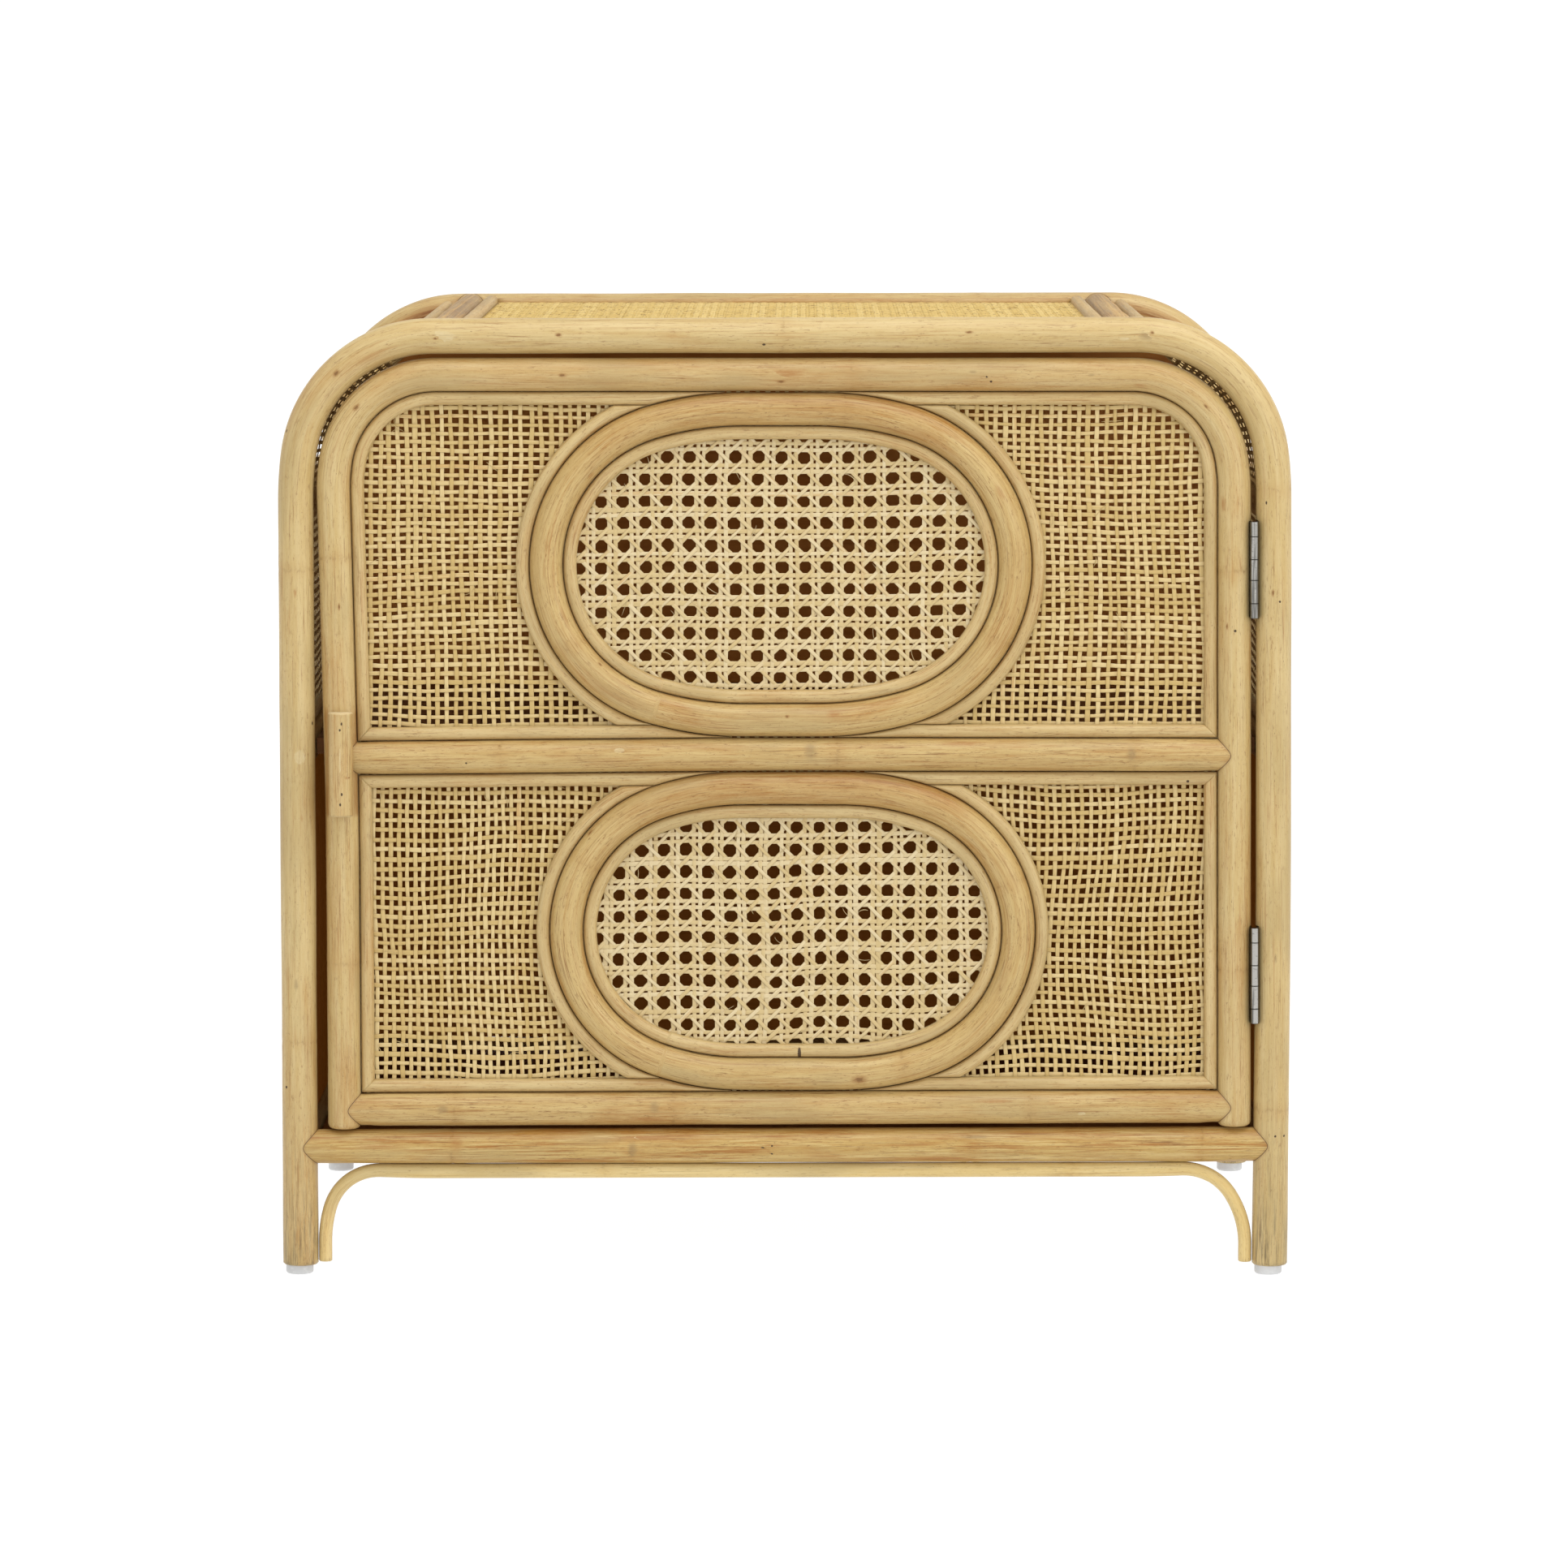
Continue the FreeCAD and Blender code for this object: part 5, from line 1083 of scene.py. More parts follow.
SPOTS["lower_ring"] = marks([
    (1060, 1330, 5.0, 3.0, 2), (727, 1025, 2.4, 1.2, 2), (985, 954, 3.0, 1.0, 3), (870, 1335, 2.0, 1.0, 5), (984, 951, 0.7, 0.7, 1)],
    Y_FRONT, R_DRAIL, dist2(oval_segs(RING_L)))
SPOTS["door_mid_rail"] = marks([
    (1180, 917, 14, 2.2, 3), (576, 941, 0.6, 0.6, 1), (760, 924, 3.0, 1.6, 4), (1395, 930, 3.0, 5.0, 5), (1000, 925, 4.0, 6.0, 5),
    (560, 912, 10, 1.6, 3)], Y_FRONT, R_DRAIL, dist2(mid_segs))
SPOTS["door_bottom_rail"] = marks([
    (800, 1378, 16, 1.8, 3), (1332, 1370, 2.4, 1.2, 4), (806, 1362, 3.0, 4.0, 5), (545, 1366, 3.4, 3.0, 5), (1228, 1356, 12, 1.6, 3)],
    Y_FRONT, R_DBOT, dist2(bot_segs))
SPOTS["front_bottom_rail"] = marks([
    (948, 1417, 1.8, 1.5, 3), (949, 1411, 0.6, 0.55, 1), (950, 1422, 0.6, 0.55, 1), (940, 1414, 1.3, 0.45, 1), (560, 1409, 4.0, 4.6, 3), (470, 1413, 14, 1.8, 3), (800, 1402, 16, 1.8, 3), (780, 1416, 3.0, 5.0, 5),
    (560, 1396, 26, 2.2, 3), (700, 1394, 20, 2.0, 3), (1010, 1394, 16, 1.8, 3), (1200, 1400, 10, 1.2, 5)], Y_FRONT, R_RAIL, dist2(rail_segs))

# ------------------------------------------------------------------ cabinet poles
P_A, T_A, S_A = sample(arch_segs, 1.0)


def leg_grime(co):
    return ramp(co[:, 2], 60, 8) * 1.0 + 0.35 * ramp(co[:, 2], 120, 60) * ramp(co[:, 2], 20, 60)


def joints(segs, zs, half=13.0):
    """Spans along an arch or the door frame where rails meet it, both sides."""
    out = []
    for side in (-1, 1):
        out += [(c - half, c + half) for c in s_at(segs, zs, side)]
    return out


# Front arch tone: the top of the arch is paler, a painted highlight from above; the right leg is paler, the left leg
# warmer, most of all low down, and the legs are paler at mid height.
pole("front_arch", arch_segs, Y_FRONT, R_ARCH, "cabinet", ["front_arch"], M_POLE, dense=joints(arch_segs, [Z_BOT_L + 0.8, Z_SHELF_RAIL, CORNER_RAIL_L[1]]), neigh=[(L_RAIL_F, RAE), (y_line(*CORNER_RAIL_L), RAE),
     (y_line(*CORNER_RAIL_R), RAE), (y_line(-280.1, Z_SHELF_RAIL), RAE), (y_line(280.0, Z_SHELF_RAIL), RAE),
     (y_line(*TOP_RAIL_L), R_TOPRAIL), (y_line(*TOP_RAIL_R), R_TOPRAIL)],
     knots=[130.0, 402.0, 780.0, S_A[-1] - 448.0, S_A[-1] - 90.0], insert=s_at(arch_segs, MZ, 1), shape=mortise(1),
     grime_fn=leg_grime, tone_fn=lambda c: np.stack([0.06 * ramp(c[:, 0], 0, -280) - 0.18 * ramp(c[:, 0], 0, 280) - 0.14 * ramp(c[:, 2], 500, 535) + 0.18 * ramp(c[:, 2], 260, 60) * ramp(c[:, 0], 0, -280)
     - 0.24 * ramp(c[:, 2], 60, 200) * ramp(c[:, 2], 500, 420), 0 * c[:, 0], 0 * c[:, 0]], 1),
     bevel=0.8, wob=0.10)
# Painted shade on the back arch near the top: its lower, inner side is darker and warmer, and a dark painted shadow
# wedge lies where it passes the top corners, half as strong on the right; the top is a little warmer.
def back_tone(c):
    top = ramp(c[:, 2], 440, 530)
    deep = np.zeros(len(c))
    N_A = np.stack([-T_A[:, 1], T_A[:, 0]], 1)
    for i in range(0, len(c), 4000):
        b = c[i:i + 4000]
        k = ((b[:, None, 0] - P_A[None, :, 0]) ** 2 + (b[:, None, 2] - P_A[None, :, 1]) ** 2).argmin(1)
        deep[i:i + 4000] = -((b[:, 0] - P_A[k, 0]) * N_A[k, 0] + (b[:, 2] - P_A[k, 1]) * N_A[k, 1])
    shade_band = ramp(deep, -7.0, -3.0) * ramp(c[:, 2], 470, 520)
    shadow_wedge = ramp(deep, -3.4, -1.0) * ramp(np.abs(c[:, 0]), 262, 236) * ramp(np.abs(c[:, 0]), 190, 200)
    low = ramp(deep, -6.5, -1.5) * ramp(c[:, 2], 440, 480)
    shadow_wedge = shadow_wedge * np.where(c[:, 0] > 0, 0.5, 1.0)
    return np.stack([0.10 * top + 0.25 * shade_band + 0.22 * low, 0.16 * shade_band + 0.14 * low + 1.3 * shadow_wedge, 0 * top], 1)


pole("back_arch", arch_segs, Y_BACK, R_ARCH, "cabinet", ["back_arch"], M_POLE, dense=joints(arch_segs, [Z_BOT_L + 0.8, Z_SHELF_RAIL, CORNER_RAIL_L[1]]), neigh=[(L_RAIL_B, RAE), (y_line(*CORNER_RAIL_L), RAE),
     (y_line(*CORNER_RAIL_R), RAE), (y_line(-280.1, Z_SHELF_RAIL), RAE), (y_line(280.0, Z_SHELF_RAIL), RAE),
     (y_line(*TOP_RAIL_L), R_TOPRAIL), (y_line(*TOP_RAIL_R), R_TOPRAIL)],
     knots=[210.0, 560.0, 900.0, 1230.0], grime_fn=leg_grime, bevel=0.8, wob=0.10,
     tone_fn=back_tone)
warm_top = lambda amt: (lambda c: np.stack([amt * ramp(c[:, 2], 74, 84), 0.34 * ramp(c[:, 2], 77, 84) * ramp(np.abs(c[:, 1]), 180, 200), 0 * c[:, 0]], 1))
pole("front_bottom_rail", rail_segs, Y_FRONT, R_RAIL, "cabinet", ["front_bottom_rail"], M_FRAIL, dense=[(0, 26), (534, 562)], ends=RAE, neigh=[(L_ARCH_F, RA), (line_points(fillet_path(BRACE), Y_FRONT), R_BRACE)],
     knots=[88.0, 192.0, 386.0, 520.0], tone=(0.60, 0, 0), tone_fn=warm_top(0.24), wob=0.10)
pole("back_bottom_rail", rail_segs, Y_BACK, R_RAIL, "cabinet", ["back_bottom_rail"], M_RAIL, dense=[(0, 26), (534, 562)], ends=RAE, neigh=[(L_ARCH_B, RA)], knots=[150.0, 420.0], tone=(0.55, 0, 0), wob=0.10)
for nm, x, z, nb in (("left_bottom_rail", -280.1, Z_BOT_L, 1), ("right_bottom_rail", 279.8, Z_BOT_R, 1), ("left_mid_rail", -280.1, Z_SHELF_RAIL, 0),
                     ("right_mid_rail", 280.0, Z_SHELF_RAIL, 0), ("left_corner_rail", *CORNER_RAIL_L, 0), ("right_corner_rail", *CORNER_RAIL_R, 0)):
    pole(nm, (x, z), 0, R_RAIL, "cabinet", [nm], M_RAIL, axis="y", y_span=(Y_FRONT, Y_BACK), dense=[(0, 26), (353, 380)], ends=RAE,
         neigh=[(L_ARCH_F, RA), (L_ARCH_B, RA)] + ([(L_RAIL_F, RAE), (L_RAIL_B, RAE)] if nb else []),
         knots=[120.0 + 10 * (x > 0), 300.0], tone=(0.52, 0, 0), wob=0.10)
for nm, (x, z) in (("left_top_rail", TOP_RAIL_L), ("right_top_rail", TOP_RAIL_R)):
    pole(nm, (x, z), 0, R_TOPRAIL, "cabinet", [nm], M_WORN, slot="weathered_rattan", axis="y", y_span=(Y_FRONT, Y_BACK),
         neigh=[(L_ARCH_F, RA), (L_ARCH_B, RA)], knots=[90.0, 250.0], wob=0.3)
def brace_shape(co):
    """The level part of the brace is a little stouter than its bent ends."""
    co = co.copy()
    zc = np.interp(co[:, 0], [-257.2, 247.7], [59.65, 61.0])
    w = ramp(np.abs(co[:, 0]), 254, 205) * (co[:, 2] > zc - 8)
    co[:, 2] = co[:, 2] + w * (0.13 * (co[:, 2] - zc) - 0.30) + (1 - w) * 0.34
    return co


# the braces use the paler rattan, painted light over the shade under the rail
for nm, y in (("front_brace", Y_FRONT), ("back_brace", Y_BACK)):
    pole(nm, fillet_path(BRACE), y, R_BRACE, "cabinet", [nm], M_BRACE_LIT, ring=24, step=2.4, slack=-0.15, shape=brace_shape, neigh=[(L_ARCH_F if y < 0 else L_ARCH_B, R_ARCH)],
         knots=[200.0, 470.0], wob=0.03, bevel=0.5, tone=(0.42, 0, 0))

# ------------------------------------------------------------------ door poles
def door_tone(c):
    top = ramp(c[:, 2], 495, 515)
    by_handle = ramp(np.abs(np.abs(c[:, 0] - HANDLE_X) - 8.2), 2.0, 0.4) * ramp(c[:, 2], HANDLE_Z[0] - 2, HANDLE_Z[0] + 1) * ramp(c[:, 2], HANDLE_Z[1] + 2, HANDLE_Z[1] - 1)
    return np.stack([0.30 * top + 0.4 * by_handle, 0.10 * top * ramp(np.abs(c[:, 0] + 1), 90, 10) + 0.5 * by_handle, 0 * top], 1)


def ring_tone(ring):
    """Browner where the ring meets the pole above, paler at its right side."""
    cx, cz, a, b = ring[:4]
    return lambda c: np.stack([0.34 * ramp(c[:, 2], cz + b * 0.55, cz + b) - 0.10 * ramp(c[:, 2], cz - b * 0.6, cz - b) - 0.14 * ramp(c[:, 0], cx + a * 0.6, cx + a),
                               0.22 * ramp(c[:, 2], cz + b - 6, cz + b + 6), 0 * c[:, 0]], 1)


DOOR_NEAR = [(L_MID, RDE), (L_BOT, RDE), (L_RU, R_DRAIL)]
pole("door_frame", door_segs, Y_FRONT, R_DOOR, "door", ["door_frame"], M_POLE, dense=joints(door_segs, [96.4, 300.0]), neigh=DOOR_NEAR, knots=[96.0, 330.0, 705.0, 1010.0, 1240.0], tone_fn=door_tone,
     insert=s_at(door_segs, MZ, 1), shape=mortise(-1), round_end=3.0, wob=0.10)
pole("door_mid_rail", mid_segs, Y_FRONT, R_DRAIL, "door", ["door_mid_rail"], M_RAIL, dense=[(0, 26), (488, 513)], ends=RDE, neigh=[(L_DOOR, RD), (L_RU, R_DRAIL), (L_RL, R_DRAIL)],
     knots=[92.0, 285.0, 455.0], tone=(0.46, 0, 0), wob=0.10)
pole("door_bottom_rail", bot_segs, Y_FRONT, R_DBOT, "door", ["door_bottom_rail"], M_RAIL, dense=[(0, 26), (488, 513)], ends=RDE, neigh=[(L_DOOR, RD), (L_RL, R_DRAIL)],
     knots=[64.0, 190.0, 395.0], tone=(0.46, 0, 0), wob=0.10)
pole("upper_ring", oval_segs(RING_U), Y_FRONT, R_DRAIL, "door", ["upper_ring"], M_RAIL, closed=True, neigh=[(L_DOOR, R_DOOR), (L_MID, R_DRAIL)],
     knots=[60.0, 330.0, 520.0], tone=(0.44, 0, 0), tone_fn=ring_tone(RING_U), wob=0.10)
pole("lower_ring", oval_segs(RING_L), Y_FRONT, R_DRAIL, "door", ["lower_ring"], M_RAIL, closed=True, neigh=[(L_BOT, R_DBOT), (L_MID, R_DRAIL)],
     knots=[140.0, 420.0, 560.0], tone=(0.42, 0, 0), tone_fn=ring_tone(RING_L), wob=0.10)


# handle: a short rod whose back is cut flat to sit on the stile
def handle_shape(co):
    co = co.copy()
    back = Y_FRONT - R_DOOR + 0.6
    co[:, 1] = np.minimum(co[:, 1], back + 1.0)
    return co


HY = Y_FRONT - HANDLE_OFF - R_HANDLE
NAILS = (273.6, 280.2, 316.5, 320.3)
SPOTS["handle"] = [(HANDLE_X + dx, HY, z, la, lw, 1) for z, dx, la, lw in ((NAILS[0], 0.4, 0.9, 0.6), (NAILS[1], 0.5, 0.9, 0.6), (NAILS[2], 0.3, 0.8, 0.6), (NAILS[3], 1.2, 0.9, 0.5))]
SPOTS["handle"] += [(HANDLE_X - 0.2, HY, 298.0, 13.0, 0.42, 4), (HANDLE_X + 4.6, HY + 2.0, 289.0, 1.2, 2.4, 3), (HANDLE_X + 5.2, HY + 2.2, 289.6, 0.5, 0.9, 2)]


def handle_tone(c):
    """The rod is browner along both sides where it sits on the stile; its ends are cut and paler."""
    edge = ramp(np.abs(c[:, 0] - HANDLE_X), 5.2, 7.1)
    top = ramp(c[:, 2], HANDLE_Z[1] - 1.6, HANDLE_Z[1] - 0.3) + ramp(c[:, 2], HANDLE_Z[0] + 1.2, HANDLE_Z[0] + 0.2)
    return np.stack([0.3 * edge, 0.35 * edge, 0.62 * top], 1)


pole("handle", (HANDLE_X, *HANDLE_Z), Y_FRONT - HANDLE_OFF, R_HANDLE, "door", ["handle", "handle_nails"], M_POLE, axis="z", step=1.2, ring=48,
     neigh=[(L_DOOR, R_DOOR)], bevel=0.4, shape=handle_shape, wob=0.06, tone=(0.52, 0, 0), tone_fn=handle_tone)

# ------------------------------------------------------------------ door trims
D0 = R_DOOR + 0.03
FY = Y_FRONT + SHEET_Y0 - 0.05            # front of the sheets
BY = Y_FRONT + SHEET_Y0 + SHEET + 0.05    # back of the sheets


def limit(P, T, side, w, test, gap=0.08):
    """How wide a strip may be at each point before it runs into something: test(x, z) is the free distance."""
    nrm = np.stack([T[:, 1], -T[:, 0]], 1) * side
    d = np.linspace(0, w, 96)
    px = P[:, 0, None] + nrm[:, 0, None] * d[None]
    pz = P[:, 1, None] + nrm[:, 1, None] * d[None]
    free = test(px, pz) > gap
    first = np.where(free.all(1), len(d) - 1, np.argmin(free, 1))
    return d[first]


def poly_sd(closed_pts, d, x, z):
    """Free distance inside a closed line moved inwards by d, by its sample points."""
    P, _, _ = sample(fillet_path(offset_pts(closed_pts, d, True), True), 1.0)
    ins = inside_poly(P, x, z)
    sh = x.shape
    q = np.stack([x.ravel(), z.ravel()], 1).astype(np.float32)
    out = np.zeros(len(q), np.float32)
    for i in range(0, len(q), 4000):
        b = q[i:i + 4000]
        out[i:i + 4000] = np.sqrt(((b[:, None] - P[None].astype(np.float32)) ** 2).sum(2).min(1))
    return np.where(ins, out.reshape(sh), -out.reshape(sh))


def sub_path(pts, closed, d, a, b, step=2.0):
    """Samples of an offset path between corner numbers a and b, in order."""
    off = offset_pts(pts, d, closed)
    n = len(off)
    seq = [off[(a + k) % n] for k in range(((b - a) % n) + 1)]
    seq[0] = (seq[0][0], seq[0][1], 0)
    seq[-1] = (seq[-1][0], seq[-1][1], 0)
    return sample(fillet_path(seq), step)


def split_by(P, T, S, width, least=0.5):
    """Runs where the strip keeps some width."""
    ok = width > least
    runs, k = [], 0
    while k < len(ok):
        if ok[k]:
            e = k
            while e + 1 < len(ok) and ok[e + 1]:
                e += 1
            if e - k > 2:
                runs.append((max(k - 1, 0), min(e + 1, len(ok) - 1)))
            k = e + 1
        else:
            k += 1
    return runs


def frame_trims(key, pts, order, ring, mitres, d0):
    """Trims inside a field of the door, cut away where the ring comes close."""
    front, rear = [], []
    for i, (a, b) in enumerate(order):
        P, T, S = sub_path(pts, True, d0, a, b, 1.5)
        free = lambda x, z: oval_sd(ring, x, z) - R_DRAIL
        wv = limit(P, T, 1, TRIM_W, free, 0.05)
        runs = split_by(P, T, S, wv)
        for r, (k, e) in enumerate(runs):
            m0 = 1.0 if (k == 0 and mitres[i][0]) else 0.0
            m1 = 1.0 if (e == len(P) - 1 and mitres[i][1]) else 0.0
            w_ = wv[k:e + 1].copy()
            sl = slice(k, e + 1)
            front.append(strip(key, P[sl], T[sl], S[sl] - S[k], 1, TRIM_W, 0, FY, TRIM_T, m0, m1, w_, -1.0, seed=i * 10 + r))
            rear.append(strip(key, P[sl], T[sl], S[sl] - S[k], 1, TRIM_W, 0, BY, TRIM_T - 0.9, m0, m1, w_, 1.0, seed=i * 10 + r + 500))
    return front, rear


nbs = [(L_DOOR, R_DOOR), (L_MID, R_DRAIL), (L_BOT, R_DBOT), (L_RU, R_DRAIL), (L_RL, R_DRAIL)]
# upper field: bottom left part, left + corners + right in one bent strip, bottom right part
fr, re = frame_trims("upper_trims", UPPER, [(0, 5), (5, 0)], RING_U, [(1, 1), (1, 1)], D0)
strips_piece("upper_panel_trims", fr + re, "door", ["upper_panel_trims"], M_STRIP, neigh=nbs, tone=(0.50, 0, 0))
fr, re = frame_trims("lower_trims", LOWER, [(0, 2), (2, 4), (4, 5), (5, 0)], RING_L, [(1, 1)] * 4, D0 + 0.12)
strips_piece("lower_panel_trims", fr + re, "door", ["lower_panel_trims"], M_STRIP, neigh=nbs, tone=(0.50, 0, 0),
             spots=[(X(1462), FY - TRIM_T, Z(958), 0.9, 0.9, 1)])

inner, outer = [], []
for k, (ring, pts, d0) in enumerate(((RING_U, UPPER, D0), (RING_L, LOWER, D0 + 0.12))):
    P, T, S = sample(oval_segs(ring, -R_DRAIL - 0.05), 1.6)
    P, T, S = P[:-1], T[:-1], S[:-1]
    inner.append(strip("ring_in%d" % k, P, T, S, 1, TRIM_W, 0, FY, TRIM_T, y_dir=-1.0, closed=True, seed=k))
    inner.append(strip("ring_in%d" % k, P, T, S, 1, TRIM_W, 0, BY, TRIM_T - 0.9, y_dir=1.0, closed=True, seed=k + 9))
    P, T, S = sample(oval_segs(ring, R_DRAIL + 0.05), 1.5)
    P, T, S = np.vstack([P, P[1:]]), np.vstack([T, T[1:]]), np.concatenate([S, S[1:] + S[-1]])
    wv = limit(P, T, -1, TRIM_W, lambda x, z: poly_sd(pts, d0 + TRIM_W, x, z), 0.1)
    low = wv < 0.5
    for r, (a, b) in enumerate(split_by(P, T, S, wv)):
        if a == 0 or b >= len(P) - 1:
            continue
        if r > 2:
            continue
        sl = slice(a, b + 1)
        outer.append(strip("ring_out%d" % k, P[sl], T[sl], S[sl] - S[a], -1, TRIM_W, 0, FY, TRIM_T, wvar=wv[sl], y_dir=-1.0, seed=r))
        outer.append(strip("ring_out%d" % k, P[sl], T[sl], S[sl] - S[a], -1, TRIM_W, 0, BY, TRIM_T - 0.9, wvar=wv[sl], y_dir=1.0, seed=r + 7))
strips_piece("ring_inner_trims", inner, "door", ["ring_inner_trims"], M_STRIP, neigh=[(L_RU, R_DRAIL), (L_RL, R_DRAIL)], tone=(0.50, 0, 0),
             spots=[(X(985), FY - TRIM_T * 0.8, Z(1297), 1.0, 4.0, 1)])
strips_piece("ring_outer_trims", outer, "door", ["ring_outer_trims"], M_STRIP, neigh=[(L_RU, R_DRAIL), (L_RL, R_DRAIL)], tone=(0.48, 0, 0))


# ------------------------------------------------------------------ door webbing
def door_place(u, v, h):
    return np.stack([u, Y_FRONT + SHEET_Y0 + SHEET / 2 - h, v], -1)


def field(pts, ring, d=5.0):
    P, _, _ = sample(fillet_path(offset_pts(pts, d, True), True), 3.0)
    return lambda u, v: inside_poly(P, u, v) & (oval_sd(ring, u, v) > 4.0)


def make_warp(seed, amp, scale, slant=0.0, x0=0.0):
    rg = rng_for("warp", seed)
    ks = [(rg.uniform(0, 6.28), rg.uniform(0, 6.28), rg.uniform(0.6, 1.5), rg.uniform(0.6, 1.5)) for _ in range(5)]

    def f(u, v):
        du, dv = np.zeros_like(u), np.zeros_like(v)
        for a, b, k, l in ks:
            du = du + amp * 0.45 * np.sin(2 * math.pi * (k * u * math.cos(a) + l * v * math.sin(a)) / scale + b)
            dv = dv + amp * 0.45 * np.sin(2 * math.pi * (l * u * math.sin(b) + k * v * math.cos(b)) / scale + a)
        return du, dv + slant * (u - x0)
    return f


rg = rng_for("mesh")
weave("upper_webbing", grid(-256, 256, 5.42, rg, 0.13), grid(302, 516, 4.62, rg, 0.12), field(UPPER, RING_U), door_place, "door",
      ["upper_mesh_panel"], M_MESH, w=(2.52, 2.26), warp=make_warp(3, 1.5, 150), jit=0.22)
weave("lower_webbing", grid(-256, 258, 4.66, rg, 0.13), grid(98, 300, 5.25, rg, 0.12), field(LOWER, RING_L), door_place, "door",
      ["lower_mesh_panel"], M_MESH, w=(2.28, 2.38), warp=make_warp(8, 1.8, 140), jit=0.22)


def cane(name, ring, x0, px, z0, pz, skew, body, replaced, seed=0):
    """Six-way cane: pairs of uprights and level strands and two diagonals, holes at x0 + i px, z0 + j pz."""
    rg = rng_for(name, seed)
    cx, cz, a, b = ring[:4]
    place0 = door_place
    ni = int(a / px) + 3
    nj = int(b / pz) + 3
    dd = 1.71
    wv = make_warp(21 + seed, 0.8, 110)

    def ins(u, v):
        return oval_sd(ring, u, v) < -5.0

    def rib(C, H, A, w, t):
        du, dv = wv(C[..., 0], C[..., 1])
        C = C + np.stack([du, dv + skew * (C[..., 0] - cx)], -1)
        ns = C.shape[0]
        wid = w * (1 + 0.10 * rg.standard_normal((ns, 1))) * np.ones(C.shape[:2])
        return ribbons(C, H, A, ins(C[..., 0], C[..., 1]), np.clip(wid, 0.72 * w, 1.3 * w), t, place0, rg.permutation(ns).astype(float) + 1, rg)
    res = []
    # uprights and level strands
    for fam in (0, 1):
        p, o, m = (px, x0, ni) if fam == 0 else (pz, z0, nj)
        q, oo, mm = (pz, z0, nj) if fam == 0 else (px, x0, ni)
        k = np.arange(-m, m + 1)
        pos = (o + (k + 0.5) * p)[:, None] + np.array([-dd, dd])[None] * (1.0 if fam == 0 else 1.0)
        sgn = np.tile([1.0, -1.0], len(k))
        pos = pos.ravel() + rg.normal(0, 0.21, pos.size)
        kk = np.arange(-mm, mm + 1)
        frac = np.array([0.0, 0.2, 0.5 - dd / q, 0.5, 0.5 + dd / q, 0.8])
        s = (oo + (kk[:, None] + frac[None]) * q).ravel()
        hh = np.tile([0.0, 0.1, 1.0, 0.0, -1.0, -0.1], len(kk))
        H = 0.16 * sgn[:, None] * hh[None] * (1 if fam == 0 else -1)
        H = H + (-0.06 if fam == 0 else 0.02)
        wob = np.stack([wander(s, rg, 60.0, 0.14, 4) for _ in pos])
        own, al = pos[:, None] + wob, np.broadcast_to(s[None], (len(pos), len(s)))
        C = np.stack([own, al], -1) if fam == 0 else np.stack([al, own], -1)
        res.append((rib(C, H, (1.0, 0.0) if fam == 0 else (0.0, 1.0), 2.36 if fam == 0 else 2.42, 0.42), fam == 1))
    # diagonals through the middles between neighbouring holes
    for fam in (0, 1):
        k = np.arange(-(ni + nj), ni + nj + 1)
        tt = np.arange(-8 * (ni + nj), 8 * (ni + nj) + 1) / 8.0          # along x in units of the pitch
        xs = x0 + tt * px
        sl = 1.0 if fam else -1.0                                         # fam 0 falls to the right
        zc = z0 + sl * (tt[None] * pz) + (k[:, None] + 0.5) * pz
        zc = zc + np.stack([wander(tt * px, rg, 60.0, 0.16, 4) for _ in k]) + rg.normal(0, 0.28, (len(k), 1))
        C = np.stack([np.broadcast_to(xs[None], zc.shape), zc], -1)
        # over the uprights at half pitches for fam 0, under them for fam 1
        hgt = -np.cos(2 * math.pi * tt) * (1.0 if fam == 0 else -1.0)
        H = np.broadcast_to((0.52 * hgt + 0.10)[None], zc.shape)
        A = (math.sqrt(0.5), -sl * math.sqrt(0.5))
        res.append((rib(C, H, A, 2.02, 0.40), False))
    co, q, fl, g_, tn = [], [], [], [], []
    k = 0
    for (c, qq, f, gg, t), flip in res:
        co.append(c)
        q.append((qq[:, ::-1] if flip else qq) + k)
        fl.append(f)
        g_.append(gg)
        tn.append(t)
        k += len(c)
    return make(name, np.concatenate(co), np.concatenate(q), body, replaced, "six_way_cane", M_CANE, flat=np.concatenate(fl),
                gco=np.concatenate(g_), tone=np.concatenate(tn))


cane("upper_cane_weave", RING_U, X(962), 27.63 * 0.4663, Z(695.5), 27.1 * 0.4663, 0.003, "door", ["upper_cane"], 1)
cane("lower_cane_weave", RING_L, X(982.5), 27.5 * 0.4663, Z(1152), 27.2 * 0.4663, 0.010, "door", ["lower_cane"], 2)

